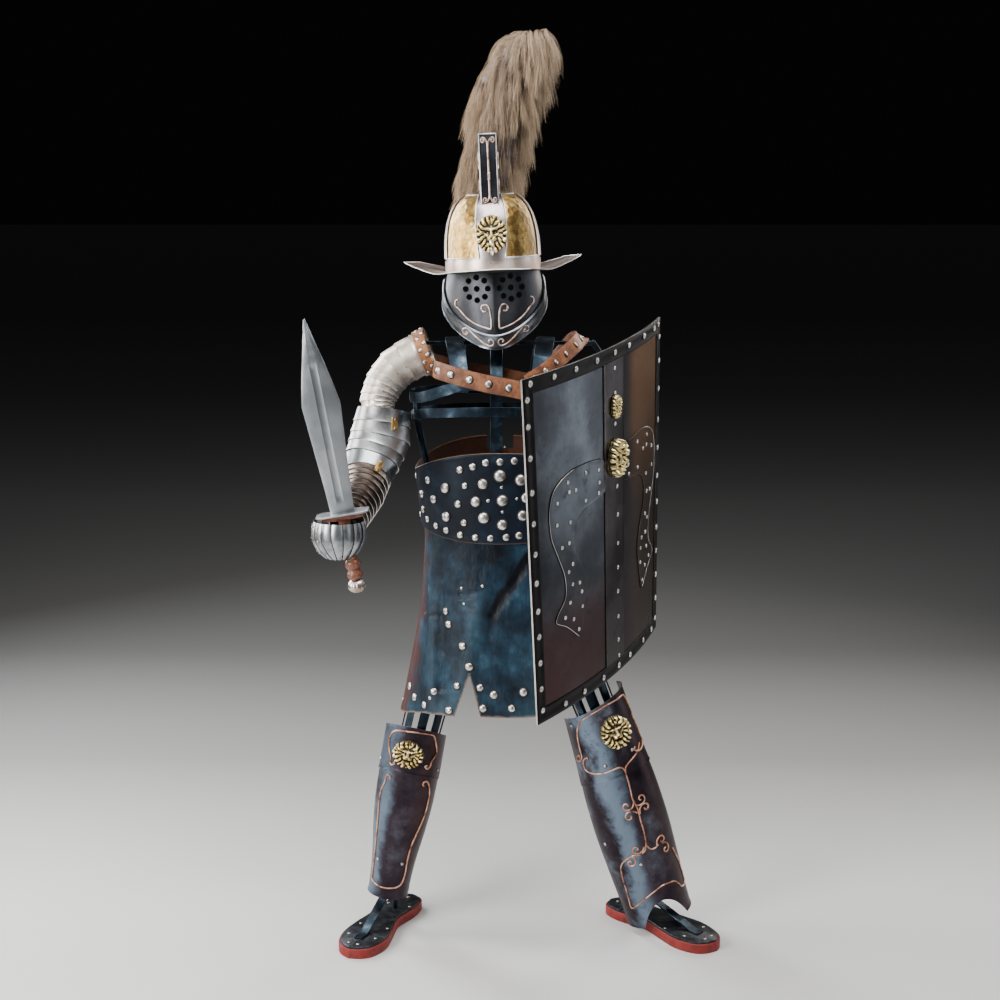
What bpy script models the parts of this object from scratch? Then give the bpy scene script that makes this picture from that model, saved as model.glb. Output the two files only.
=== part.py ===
"""Gladiator's armour worn by an open stand of iron straps, sword and shield in place.

Metres, +Z up, origin on the floor under the middle of the set. The set faces -Y; the wearer's
right side, with the sword, is at -X. Every piece is a separate closed solid.
"""
import math

import bmesh
import bpy
from mathutils import Matrix, Vector

for old in list(bpy.data.objects):
    bpy.data.objects.remove(old, do_unlink=True)

# Clearances and stock
GAP = 0.0003            # between pieces that touch
LAID = 0.0006           # under a piece laid on a panel of other facets
LEATHER = 0.0035        # harness and belt leather
SKIRT_LEATHER = 0.0025
STEEL = 0.0015          # armour plate
STRAP_IRON = 0.004      # the stand's flat iron
ORIGIN = Vector((-0.0533, 0.2509, 0.0))   # moves the figure so that its box is centred

# Torso: all hoops share this rounded oval
OVAL = 2.3
BELT_TOP = 1.150
BELT_LOW = 1.010
BELT_HALF = {"top": (0.199, 0.153), "low": (0.184, 0.150)}   # half width, half depth outside

# Helmet
HELMET_AT = Vector((-0.018, 0.0, 1.605))
CROWN_HALF = (0.107, 0.130)
CROWN_RISE = 0.178
FACE_DROP = 0.172
HOLE_RADIUS = 0.0066

# Shield
SHIELD_AT = Vector((0.209, -0.360, 1.101))
SHIELD_TURN = (math.radians(60.8), math.radians(2.1), math.radians(-7.4))
SHIELD_ARC = 0.650
SHIELD_TALL = 0.733
SHIELD_BEND = math.radians(24.4)
SHIELD_TAPER = 0.083
SPINE_AT = 0.012        # the spine's middle line
GRIP_OFF = 0.040
SHIELD_PLATE = 0.002
SHIELD_RIM = 0.030

# Sword
SWORD_GUARD = Vector((-0.340, -0.312, 1.093))
SWORD_TIP = Vector((-0.410, -0.362, 1.519))

# Legs: ankle and knee of each greave's axis, and its turn about that axis
RIGHT_ANKLE = Vector((-0.277, 0.000, 0.085))
RIGHT_KNEE = Vector((-0.203, -0.010, 0.500))
RIGHT_TURN = math.radians(-6)
LEFT_ANKLE = Vector((0.385, 0.000, 0.060))
LEFT_KNEE = Vector((0.232, -0.015, 0.550))
LEFT_TURN = math.radians(21)
SOLE_THICK = 0.024
PLATE = 0.003
SOLE_LONG = 0.335

# Arm: height, rings and radii along the guard's middle line
ARM_PATH = [
    # x, y, z, radius across, radius front to back
    (-0.160, 0.000, 1.418, 0.048, 0.066),
    (-0.200, 0.000, 1.404, 0.046, 0.062),
    (-0.240, -0.005, 1.380, 0.044, 0.056),
    (-0.268, -0.012, 1.345, 0.041, 0.050),
    (-0.284, -0.020, 1.305, 0.037, 0.045),
    (-0.279, -0.030, 1.268, 0.028, 0.0407),
]
FOREARM_PATH = [
    (-0.2690, -0.033, 1.284, 0.058, 0.056),
    (-0.2765, -0.049, 1.220, 0.066, 0.059),
    (-0.2950, -0.074, 1.170, 0.060, 0.055),
    (-0.3060, -0.110, 1.137, 0.053, 0.050),
    (-0.3120, -0.155, 1.108, 0.047, 0.046),
    (-0.3260, -0.203, 1.083, 0.042, 0.042),
    (-0.3380, -0.246, 1.063, 0.038, 0.039),
]
FIST_AT = Vector((-0.351, -0.292, 1.042))
FIST_HALF = (0.057, 0.053, 0.060)


def material(name, color, roughness, metallic):
    """Principled material in the colour of the piece."""
    made = bpy.data.materials.new(name)
    made.use_nodes = True
    shader = made.node_tree.nodes["Principled BSDF"]
    shader.inputs["Base Color"].default_value = (*color, 1.0)
    shader.inputs["Roughness"].default_value = roughness
    shader.inputs["Metallic"].default_value = metallic
    return made


BRIGHT_STEEL = material("bright_steel", (0.55, 0.55, 0.56), 0.30, 1.0)
LAME_STEEL = material("warm_lame_steel", (0.58, 0.52, 0.44), 0.32, 1.0)
DARK_STEEL = material("patinated_steel", (0.13, 0.11, 0.12), 0.42, 1.0)
BLUED_IRON = material("blued_iron", (0.04, 0.055, 0.08), 0.35, 0.9)
BRASS = material("hammered_brass", (0.60, 0.42, 0.14), 0.35, 1.0)
BLACK_LEATHER = material("blue_black_leather", (0.02, 0.025, 0.035), 0.45, 0.0)
BROWN_LEATHER = material("brown_leather", (0.22, 0.08, 0.04), 0.50, 0.0)
WOOD = material("red_brown_wood", (0.20, 0.06, 0.03), 0.45, 0.0)
FEATHER = material("cream_feather", (0.52, 0.44, 0.34), 0.85, 0.0)
RED_RUBBER = material("red_edge", (0.55, 0.05, 0.03), 0.50, 0.0)


def frame_at(name, location, rotation=None, parent=None):
    """Empty that carries a group of pieces."""
    empty = bpy.data.objects.new(name, None)
    bpy.context.scene.collection.objects.link(empty)
    empty.parent = parent
    empty.location = location
    if rotation is not None:
        empty.rotation_euler = rotation.to_euler()
    return empty


def piece(name, bm, finish, frame):
    """Turns a finished bmesh into a named object with its faces out."""
    bmesh.ops.recalc_face_normals(bm, faces=bm.faces)
    mesh = bpy.data.meshes.new(name)
    bm.to_mesh(mesh)
    bm.free()
    mesh.materials.append(finish)
    mesh.shade_smooth()
    mesh.set_sharp_from_angle(angle=math.radians(38))
    made = bpy.data.objects.new(name, mesh)
    bpy.context.scene.collection.objects.link(made)
    made.parent = frame
    return made


def grid_normals(grid, around):
    """Outward normals of a grid whose rows go up and whose columns run anticlockwise from above."""
    rows = len(grid)
    cols = len(grid[0])
    normals = []
    for i in range(rows):
        low = grid[max(i - 1, 0)]
        high = grid[min(i + 1, rows - 1)]
        line = []
        for j in range(cols):
            left = (j - 1) % cols if around else max(j - 1, 0)
            right = (j + 1) % cols if around else min(j + 1, cols - 1)
            across = grid[i][right] - grid[i][left]
            line.append(across.cross(high[j] - low[j]).normalized())
        normals.append(line)
    return normals


def moved_out(grid, distance, around=False):
    """The same grid, each point moved out along its normal."""
    normals = grid_normals(grid, around)
    return [[p + n * distance for p, n in zip(line, out)] for line, out in zip(grid, normals)]


def wall(name, outer, inner, finish, frame, around=False, keep=None, cap=False):
    """Closed wall between two grids of like size. keep(i, j) picks the cells that are there."""
    rows = len(outer)
    cols = len(outer[0])
    bm = bmesh.new()
    made = {}

    def corner(side, i, j):
        if (side, i, j) not in made:
            made[(side, i, j)] = bm.verts.new((outer if side else inner)[i][j])
        return made[(side, i, j)]

    edges = set()
    for i in range(rows - 1):
        for j in range(cols if around else cols - 1):
            if keep is not None and not keep(i, j):
                continue
            k = (j + 1) % cols
            ring = [(i, j), (i, k), (i + 1, k), (i + 1, j)]
            bm.faces.new([corner(True, *at) for at in ring])
            bm.faces.new([corner(False, *at) for at in reversed(ring)])
            edges.update(zip(ring, ring[1:] + ring[:1]))
    if cap:
        last = [(rows - 1, j) for j in range(cols)]
        bm.faces.new([corner(True, *at) for at in last])
        bm.faces.new([corner(False, *at) for at in reversed(last)])
        edges.update(zip(last, last[1:] + last[:1]))
    for start, end in edges:
        if (end, start) not in edges:
            rim = [(True, end), (True, start), (False, start), (False, end)]
            bm.faces.new([corner(side, *at) for side, at in rim])
    return piece(name, bm, finish, frame)


def sheet(name, outer, thickness, finish, frame, around=False, keep=None, cap=False):
    """Wall of even thickness under a grid of outer points."""
    return wall(name, outer, moved_out(outer, -thickness, around), finish, frame, around, keep, cap)


def strap(name, path, outs, width, thickness, finish, frame, around=False):
    """Flat strap. Its outer face runs through the path and looks along outs."""
    count = len(path)
    low = []
    high = []
    for j in range(count):
        after = path[(j + 1) % count] if around else path[min(j + 1, count - 1)]
        before = path[(j - 1) % count] if around else path[max(j - 1, 0)]
        side = outs[j].cross(after - before).normalized() * (width / 2)
        low.append(path[j] - side)
        high.append(path[j] + side)
    under = [out.normalized() * thickness for out in outs]
    inner = [[p - u for p, u in zip(low, under)], [p - u for p, u in zip(high, under)]]
    return wall(name, [low, high], inner, finish, frame, around)


def tube(name, path, radii, sides, finish, frame):
    """Closed round bar along a path."""
    bm = bmesh.new()
    rings = []
    side = None
    for i, point in enumerate(path):
        along = (path[min(i + 1, len(path) - 1)] - path[max(i - 1, 0)]).normalized()
        if side is None:
            side = along.orthogonal()
        side = (side - along * side.dot(along)).normalized()
        up = along.cross(side)
        turns = [math.tau * k / sides for k in range(sides)]
        spokes = [side * math.cos(t) + up * math.sin(t) for t in turns]
        rings.append([bm.verts.new(point + spoke * radii[i]) for spoke in spokes])
    for low, high in zip(rings, rings[1:]):
        for k in range(sides):
            bm.faces.new([low[k], low[(k + 1) % sides], high[(k + 1) % sides], high[k]])
    bm.faces.new(list(reversed(rings[0])))
    bm.faces.new(rings[-1])
    return piece(name, bm, finish, frame)


def stack(name, levels, finish, frame):
    """Solid through plan outlines of like count, each with its height."""
    bm = bmesh.new()
    rings = [[bm.verts.new((x, y, z)) for x, y in outline] for z, outline in levels]
    count = len(rings[0])
    for low, high in zip(rings, rings[1:]):
        for k in range(count):
            bm.faces.new([low[k], low[(k + 1) % count], high[(k + 1) % count], high[k]])
    bm.faces.new(rings[0])
    bm.faces.new(rings[-1])
    return piece(name, bm, finish, frame)


def cut(target, cutter):
    """Cuts one object out of another and hides the cutter."""
    cutter.hide_render = True
    cutter.display_type = "WIRE"
    boolean = target.modifiers.new("cut_" + cutter.name, "BOOLEAN")
    boolean.operation = "DIFFERENCE"
    boolean.solver = "EXACT"
    boolean.object = cutter


def oval(angle, half_width, half_depth, power=OVAL):
    """Point of a rounded oval. Angle 0 is the front, -Y, and grows towards +X."""
    across = math.sin(angle)
    forward = math.cos(angle)
    x = math.copysign(abs(across) ** (2 / power), across) * half_width
    y = -math.copysign(abs(forward) ** (2 / power), forward) * half_depth
    return x, y


def oval_at(x, half, inset, power=OVAL):
    """Distance back of an oval at a place across it, and the way it faces there."""
    wide = half[0] - inset
    deep = half[1] - inset
    y = deep * (1.0 - (x / wide) ** power) ** (1 / power)
    facing = Vector((x ** (power - 1) / wide ** power, y ** (power - 1) / deep ** power))
    return y, facing.normalized()


def mix(a, b, t):
    return a + (b - a) * t


def from_table(table, key, column):
    """Value of a column at a key, straight between the table's rows."""
    rows = sorted(table, key=lambda row: row[0])
    if key <= rows[0][0]:
        return rows[0][column]
    for low, high in zip(rows, rows[1:]):
        if key <= high[0]:
            return mix(low[column], high[column], (key - low[0]) / (high[0] - low[0]))
    return rows[-1][column]


def spread(start, end, count):
    return [mix(start, end, k / (count - 1)) for k in range(count)]


def boss(name, place, radius, tall, lobes, finish, frame, squash=1.0):
    """Cast animal mask: a lobed mane round a raised brow, muzzle and chin, its back on the carrier.

    place(across, up) gives the carrier's point and normal at that distance from the mask's middle.
    """
    spokes = 2 * lobes
    # share of the radius, height of the mane's crests, height of its valleys
    profile = [(1.0, 0.30, 0.16), (0.80, 0.72, 0.50), (0.48, 0.78, 0.66), (0.16, 1.0, 1.0)]
    outer = []
    inner = []
    for share, crest, valley in profile:
        top = []
        back = []
        for k in range(spokes):
            turn = math.tau * k / spokes
            reach = radius * share * (1.0 if k % 2 == 0 or share < 0.7 else 0.9)
            point, normal = place(reach * math.cos(turn) * squash, reach * math.sin(turn))
            height = tall * (crest if k % 2 == 0 else valley)
            back.append(point + normal * LAID)
            top.append(point + normal * (LAID + height))
        outer.append(top)
        inner.append(back)
    return wall(name, outer, inner, finish, frame, around=True, cap=True)


# Helmet

def crown_point(angle, rise, out=0.0):
    """Bowl: full at the brow, rounded over like an egg."""
    share = max(1.0 - rise ** 3.0, 0.0) ** 0.36
    x, y = oval(angle, CROWN_HALF[0] * share + out, CROWN_HALF[1] * share + out, 2.0)
    return Vector((x, y, CROWN_RISE * rise + out * rise ** 2))


FACE_SECTIONS = [
    # drop below the brow, half width, half depth in front
    (0.000, 0.1040, 0.1272),
    (0.040, 0.1150, 0.1360),
    (0.080, 0.1180, 0.1430),
    (0.120, 0.1080, 0.1480),
    (0.150, 0.0930, 0.1470),
    (0.175, 0.0800, 0.1440),
]
FACE_RIDGE = 0.004
CHEEK_OFF = 0.0016      # cheek guard over the visor


def face_point(angle, drop, out=0.0):
    """Front of the helmet below the brow, with its upright ridge."""
    half_width = from_table(FACE_SECTIONS, drop, 1) + out
    half_depth = from_table(FACE_SECTIONS, drop, 2) + out
    x, y = oval(angle, half_width, half_depth, 2.0)
    ridge = FACE_RIDGE * max(0.0, 1.0 - abs(angle) / math.radians(14)) * min(1.0, drop / 0.03)
    return Vector((x, y - ridge, -drop))


def brow_line(angle):
    """Drop of the cheek guard's upper edge, a U round the face."""
    return 0.138 - 0.124 * min(abs(angle) / math.radians(84), 1.0) ** 1.7


def cheek_line(angle):
    """Drop of the cheek guard's lower edge."""
    return FACE_DROP - 0.112 * min(abs(angle) / math.radians(96), 1.0) ** 1.9


def brim_outline(angle):
    """Outer edge of the brim: wide wings at the sides, clipped at the front and the back."""
    table = [
        # angle from the front in degrees, reach, drop below the brow
        (0, 0.172, 0.004),
        (35, 0.174, 0.008),
        (52, 0.190, 0.012),
        (72, 0.188, -0.001),
        (90, 0.203, -0.020),
        (108, 0.184, -0.006),
        (140, 0.186, 0.010),
        (180, 0.186, 0.024),
    ]
    degrees = abs(math.degrees(angle))
    return from_table(table, degrees, 1), from_table(table, degrees, 2)


BOWL_SIDES = 32
BOWL_RISES = [0.0, 0.28, 0.52, 0.72, 0.87, 0.965, 0.994]


def bowl_facet(angle, rise, out):
    """Point over the bowl's own flat facets, so that what is laid there follows them."""
    step = math.tau / BOWL_SIDES
    low_turn = math.floor(angle / step) * step
    t = (angle - low_turn) / step
    low = max(r for r in BOWL_RISES[:-1] if r <= rise)
    high = BOWL_RISES[BOWL_RISES.index(low) + 1]
    u = (rise - low) / (high - low)
    corner = [[crown_point(low_turn + i * step, r) for i in (0, 1)] for r in (low, high)]
    below = corner[0][0].lerp(corner[0][1], t)
    above = corner[1][0].lerp(corner[1][1], t)
    mid_turn = low_turn + step * t
    beside = crown_point(mid_turn + 0.05, rise) - crown_point(mid_turn - 0.05, rise)
    upward = crown_point(mid_turn, min(rise + 0.05, 0.99)) - crown_point(mid_turn, rise - 0.05)
    return below.lerp(above, u) + beside.cross(upward).normalized() * out


def helmet(figure):
    frame = frame_at("helmet_frame", HELMET_AT, parent=figure)
    around = [math.tau * k / BOWL_SIDES - math.pi for k in range(BOWL_SIDES)]
    bowl = [[crown_point(a, r) for a in around] for r in BOWL_RISES]
    sheet("helmet_crown", bowl, STEEL, BRIGHT_STEEL, frame, around=True, cap=True)

    for side, name in ((-1, "helmet_brass_panel_right"), (1, "helmet_brass_panel_left")):
        outer = []
        inner = []
        for r in (0.17, 0.28, 0.52, 0.72, 0.87):
            front = mix(16, 30, r)
            back = mix(162, 150, r)
            turns = [front, 22.5 if front < 22.5 else (front + 33.75) / 2]
            turns += [11.25 * k for k in range(3, 14)]
            turns += [157.5 if back > 157.5 else (back + 146.25) / 2, back]
            turns = turns if side > 0 else [-t for t in reversed(turns)]
            outer.append([bowl_facet(math.radians(t), r, 0.0018) for t in turns])
            inner.append([bowl_facet(math.radians(t), r, 0.0009) for t in turns])
        wall(name, outer, inner, BRASS, frame)

    rim = []
    for level, out in ((0.024, STEEL), (0.0, STEEL)):
        rise = level / CROWN_RISE
        rim.append([crown_point(a, rise, out + LAID) for a in around])
    inner_edge = rim[-1]
    flange = []
    for step in (0.5, 1.0):
        line = []
        for a, start in zip(around, inner_edge):
            reach, drop = brim_outline(a)
            reach_x, reach_y = oval(a, reach, min(reach, 0.172 if abs(a) < 1.2 else 0.19), 2.0)
            line.append(start.lerp(Vector((reach_x, reach_y, -drop)), step))
        flange.append(line)
    sheet("helmet_brim", flange[::-1] + rim[::-1], STEEL, BRIGHT_STEEL, frame, around=True)

    turns = spread(math.radians(-88), math.radians(88), 21)
    plate = []
    for share in (1.0, 0.76, 0.52, 0.26, 0.0):
        line = []
        for a in turns:
            low = min(brow_line(a) + 0.010, cheek_line(a) - 0.004)
            line.append(face_point(a, mix(0.0006, low, share)))
        plate.append(line)
    visor = sheet("helmet_visor", plate, STEEL, BRIGHT_STEEL, frame)
    bm = bmesh.new()
    for side in (-1, 1):
        middle = 0.040
        for k in range(9):
            ring_x = 0.0
            ring_z = 0.0
            if k:
                ring_x = 0.0225 * math.cos(math.tau * (k - 0.5) / 8)
                ring_z = 0.0225 * math.sin(math.tau * (k - 0.5) / 8)
            x = side * (middle + ring_x)
            spot = Matrix.Translation((x, -0.125, -0.036 + ring_z)) @ Matrix.Rotation(math.pi / 2, 4, "X")
            bmesh.ops.create_cone(bm, cap_ends=True, segments=8, radius1=HOLE_RADIUS, radius2=HOLE_RADIUS,
                                  depth=0.08, matrix=spot)
    cut(visor, piece("visor_hole_cutter", bm, BRIGHT_STEEL, frame))

    turns = spread(math.radians(-96), math.radians(96), 23)
    guard = []
    under = []
    for share, lift in ((1.0, 0.0), (0.5, 0.0), (0.14, 0.0), (0.07, 0.003), (0.0, 0.003)):
        drops = [mix(brow_line(a), cheek_line(a), share) for a in turns]
        outs = (STEEL + CHEEK_OFF + lift, CHEEK_OFF)
        for line, out in zip((guard, under), outs):
            line.append([face_point(a, drop, out) for a, drop in zip(turns, drops)])
    wall("helmet_cheek_guard", guard, under, BRIGHT_STEEL, frame)

    crest_box(frame)
    boss("helmet_lion_mask", lambda across, up: crown_place(across, up), 0.036, 0.015, 10, BRASS, frame)
    plume(frame)
    return frame


def crown_place(across, up):
    """Point and normal of the bowl's front, measured from the mask's middle above the brow."""
    level = 0.082 + up
    rise = level / CROWN_RISE
    share = (1.0 - rise ** 3.0) ** 0.36
    angle = math.asin(max(-1.0, min(1.0, across / (CROWN_HALF[0] * share))))
    point = crown_point(angle, rise)
    beside = crown_point(angle + 0.01, rise) - crown_point(angle - 0.01, rise)
    above = crown_point(angle, rise + 0.01) - crown_point(angle, rise - 0.01)
    return point, beside.cross(above).normalized()


CREST_HALF = 0.0205
CREST_FRONT = -0.092
CREST_BACK = -0.006
CREST_TOP = 0.303


def crown_top(y, x=0.0):
    """Height of the bowl over a point of its plan."""
    reach = math.hypot(x / CROWN_HALF[0], y / CROWN_HALF[1])
    return CROWN_RISE * max(1.0 - reach ** (1 / 0.36), 0.0) ** (1 / 3.0)


def crest_box(frame):
    """Upright fin that stands on the bowl from its front to its top."""
    side_line = [(y, crown_top(y) + 0.0012) for y in spread(CREST_FRONT, CREST_BACK, 6)]
    side_line += [(CREST_BACK, CREST_TOP - 0.004), (CREST_FRONT - 0.006, CREST_TOP)]
    bm = bmesh.new()
    near = [bm.verts.new((-CREST_HALF, y, z)) for y, z in side_line]
    face = bm.faces.new(near)
    lifted = bmesh.ops.extrude_face_region(bm, geom=[face])
    far = [part for part in lifted["geom"] if isinstance(part, bmesh.types.BMVert)]
    bmesh.ops.translate(bm, verts=far, vec=(2 * CREST_HALF, 0, 0))
    piece("helmet_crest_box", bm, BRIGHT_STEEL, frame)


PLUME_LIFT = 0.0034
PLUME_SECTIONS = [
    # height over the brow, left edge, right edge, front, back
    (0.200, -0.086, 0.068, 0.000, 0.105),
    (0.250, -0.091, 0.079, 0.000, 0.118),
    (0.300, -0.076, 0.086, -0.002, 0.124),
    (0.336, -0.062, 0.090, -0.014, 0.124),
    (0.372, -0.068, 0.100, -0.020, 0.120),
    (0.410, -0.058, 0.114, -0.030, 0.114),
    (0.448, -0.036, 0.132, -0.042, 0.104),
    (0.482, -0.010, 0.152, -0.056, 0.088),
    (0.510, 0.016, 0.156, -0.058, 0.064),
    (0.532, 0.052, 0.132, -0.044, 0.034),
]


def plume(frame):
    """Feather crest: a tall soft mass whose tip curls forward to the wearer's left."""
    sides = 16
    outline = []
    for share in (0.35, 0.7, 1.0):
        base = []
        for k in range(sides):
            turn = math.tau * k / sides
            x = -0.007 + 0.050 * share * math.sin(turn)
            y = 0.0455 - 0.0455 * share * math.cos(turn)
            base.append(Vector((x, y, crown_top(y, x) + PLUME_LIFT)))
        outline.append(base)
    for row, (height, left, right, front, back) in enumerate(PLUME_SECTIONS):
        line = []
        for k in range(sides):
            turn = math.tau * k / sides
            swell = 1.0 + 0.05 * math.sin(3 * turn + 1.7 * row)
            x = mix(left, right, 0.5 + 0.5 * swell * math.sin(turn))
            y = mix(front, back, 0.5 - 0.5 * swell * math.cos(turn))
            if height < CREST_TOP + 0.004:
                y = max(y, CREST_BACK + 0.0006)
            line.append(Vector((x, y, height)))
        outline.append(line)
    bm = bmesh.new()
    rings = [[bm.verts.new(p) for p in line] for line in outline]
    for low, high in zip(rings, rings[1:]):
        for k in range(sides):
            bm.faces.new([low[k], low[(k + 1) % sides], high[(k + 1) % sides], high[k]])
    for ring, lift in ((rings[0], 0.0), (rings[-1], 0.008)):
        middle = sum((v.co for v in ring), Vector()) / sides
        if lift:
            middle.z += lift
        else:
            middle.z = crown_top(middle.y, middle.x) + PLUME_LIFT
        tip = bm.verts.new(middle)
        for k in range(sides):
            bm.faces.new([ring[k], ring[(k + 1) % sides], tip])
    piece("helmet_plume", bm, FEATHER, frame)


# Arm guard and sword

def arm_point(path, at, turn, out=0.0):
    """Point of the arm guard at a place along its path, 0 at its first row. Turn 0 is its upper side."""
    rows = [(k, *row) for k, row in enumerate(path)]
    middle = Vector([from_table(rows, at, c) for c in (1, 2, 3)])
    ahead = Vector([from_table(rows, min(at + 0.6, len(path) - 1), c) for c in (1, 2, 3)])
    behind = Vector([from_table(rows, max(at - 0.6, 0), c) for c in (1, 2, 3)])
    along = (ahead - behind).normalized()
    side = (Vector((0, 1, 0)) - along * along.y).normalized()
    up = side.cross(along)
    wide = from_table(rows, at, 4) + out
    deep = from_table(rows, at, 5) + out
    return middle + up * math.cos(turn) * wide + side * math.sin(turn) * deep


def arm_ring(path, at, out=0.0, sides=20):
    return [arm_point(path, at, math.tau * k / sides, out) for k in range(sides)]


def lame_guard(name, path, start, end, lames, finish, frame, sides=20, step=0.0016):
    """Tube of overlapping lames: each one flares over the next, over a plain inside."""
    outer = []
    inner = []
    for k in range(lames):
        first = mix(start, end, k / lames)
        last = mix(start, end, (k + 1) / lames)
        outer.append(arm_ring(path, first + (0.02 if k else 0.0), STEEL, sides))
        outer.append(arm_ring(path, last, STEEL + step, sides))
        inner.append(arm_ring(path, first + (0.02 if k else 0.0), 0.0, sides))
        inner.append(arm_ring(path, last, 0.0, sides))
    return wall(name, outer, inner, finish, frame, around=True)


def arm_guard(figure):
    lame_guard("arm_upper_lames", ARM_PATH, 0.05, 4.8, 8, LAME_STEEL, figure, sides=16)
    lame_guard("arm_elbow_cannon", FOREARM_PATH, 0.0, 2.0, 4, LAME_STEEL, figure, sides=16)
    lame_guard("arm_forearm_plate", FOREARM_PATH, 2.018, 3.0, 1, LAME_STEEL, figure, sides=16)
    lame_guard("arm_wrist_lames", FOREARM_PATH, 3.016, 6.0, 7, LAME_STEEL, figure, sides=12, step=0.0014)
    gauntlet(figure)
    rod = [Vector((-0.2056, 0.0, 1.4375)), Vector((-0.2095, 0.0, 1.4375))]
    rod.append(arm_point(ARM_PATH, 2.0, 0.0, -0.0083))
    rod += [Vector(row[:3]) for row in ARM_PATH[3:5]]
    rod += [Vector(row[:3]) for row in FOREARM_PATH[1:]]
    down = (SWORD_GUARD - SWORD_TIP).normalized()
    rod.append(SWORD_GUARD + down * 0.060 + Vector((0.0, 0.0137 + LAID, 0.0)))
    tube("stand_arm_rod", rod, [0.006] * len(rod), 6, BLUED_IRON, figure)


def gauntlet(figure):
    """Knuckle shell of six lames over the fist, open behind, above and below."""
    lames = 6
    outer = []
    inner = []
    for share in spread(-0.792, 0.50, 6):
        full = (1.0 - abs(share) ** 2.6) ** (1 / 2.6)
        top = []
        back = []
        for k in range(2 * lames):
            lift = 0.0014 if k % 2 else 0.0
            turn = math.radians(mix(-128, 84 + 14 * share, (k // 2 + (0.94 if k % 2 else 0.0)) / lames))
            for line, out in ((top, lift), (back, -STEEL)):
                x, y = oval(turn, (FIST_HALF[0] + out) * full, (FIST_HALF[1] + out) * full, 2.0)
                line.append(FIST_AT + Vector((x, y, (FIST_HALF[2] + out) * share)))
        outer.append(top)
        inner.append(back)
    wall("arm_gauntlet", outer, inner, BRIGHT_STEEL, figure)


BLADE_OUTLINE = [
    # distance from the guard, half width
    (0.0045, 0.0262),
    (0.060, 0.0285),
    (0.150, 0.0352),
    (0.247, 0.0418),
    (0.295, 0.0330),
    (0.345, 0.0220),
    (0.395, 0.0105),
    (0.432, 0.0020),
]


def sword(figure):
    along = (SWORD_TIP - SWORD_GUARD).normalized()
    side = Vector((1, 0, 0)) - along * along.x
    side.normalize()
    turn = Matrix((side, along.cross(side), along)).transposed()
    frame = frame_at("sword_frame", SWORD_GUARD, turn, figure)
    bm = bmesh.new()
    rings = []
    for z, half in BLADE_OUTLINE:
        groove = 0.0012 if 0.01 < z < 0.33 else 0.0029
        flat = 0.30
        section = [
            (-half, 0.0), (-half * flat, -0.0030), (0.0, -groove), (half * flat, -0.0030),
            (half, 0.0), (half * flat, 0.0030), (0.0, groove), (-half * flat, 0.0030),
        ]
        rings.append([bm.verts.new((x, y, z)) for x, y in section])
    for low, high in zip(rings, rings[1:]):
        for k in range(8):
            bm.faces.new([low[k], low[(k + 1) % 8], high[(k + 1) % 8], high[k]])
    bm.faces.new(rings[0])
    bm.faces.new(rings[-1])
    piece("sword_blade", bm, BRIGHT_STEEL, frame)
    guard = [(x * 0.058, y * 0.020) for x, y in
             ((-1, -0.6), (-0.7, -1), (0.7, -1), (1, -0.6), (1, 0.6), (0.7, 1), (-0.7, 1), (-1, 0.6))]
    stack("sword_guard", [(-0.0005, guard), (0.0042, guard)], BRIGHT_STEEL, frame)
    turned = [
        # distance below the guard, half width, half depth
        (-0.0008, 0.0480, 0.0170), (-0.0100, 0.0460, 0.0160), (-0.0120, 0.0130, 0.0120),
        (-0.030, 0.0125, 0.0120), (-0.060, 0.0110, 0.0110), (-0.090, 0.0125, 0.0125),
        (-0.104, 0.0105, 0.0105), (-0.112, 0.0145, 0.0145), (-0.120, 0.0150, 0.0150),
        (-0.128, 0.0115, 0.0115), (-0.136, 0.0145, 0.0145), (-0.143, 0.0150, 0.0150),
        (-0.150, 0.0120, 0.0120),
    ]
    turns = [math.tau * k / 12 for k in range(12)]
    stack("sword_grip", [(z, [(a * math.cos(t), b * math.sin(t)) for t in turns]) for z, a, b in turned],
          WOOD, frame)
    ball = []
    for k in range(9):
        up = math.radians(mix(80, -80, k / 8))
        level = 0.0185 * math.sin(up) / math.sin(math.radians(80))
        ball.append((-0.1503 - 0.0185 + level, 0.0195 * math.cos(up)))
    middle = [Vector((0, 0, z)) for z, r in ball]
    tube("sword_pommel", middle, [r for z, r in ball], 12, BRIGHT_STEEL, frame)


# Belt and skirt

def belt_half(height):
    t = (height - BELT_LOW) / (BELT_TOP - BELT_LOW)
    low = BELT_HALF["low"]
    top = BELT_HALF["top"]
    return mix(low[0], top[0], t), mix(low[1], top[1], t)


def belt_point(angle, share, out=0.0):
    """Belt's outer face: share 0 at its low edge, 1 at its top edge, which rises front and back."""
    end = abs(math.cos(angle)) ** 1.5
    low = mix(1.016, 0.992, end)
    top = mix(1.146, 1.202, end)
    height = mix(low, top, share)
    half_width, half_depth = belt_half(height)
    x, y = oval(angle, half_width + out, half_depth + out)
    return Vector((x, y, height))


BELT_END = math.radians(173)


def belt(figure):
    turns = spread(-BELT_END, BELT_END, 41)
    rows = [[belt_point(a, s) for a in turns] for s in (0.0, 0.5, 1.0)]
    sheet("belt", rows, LEATHER, BLACK_LEATHER, figure)
    for share, name in ((0.24, "belt_tab_low"), (0.78, "belt_tab_high")):
        path = []
        outs = []
        for step in spread(-1, 1, 7):
            angle = math.pi + step * math.radians(15)
            path.append(belt_point(angle, share, LAID + 0.003))
            outs.append(Vector((math.sin(angle) * 0.6, -math.cos(angle), 0.0)))
        strap(name, path, outs, 0.024, 0.003, BROWN_LEATHER, figure)


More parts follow.
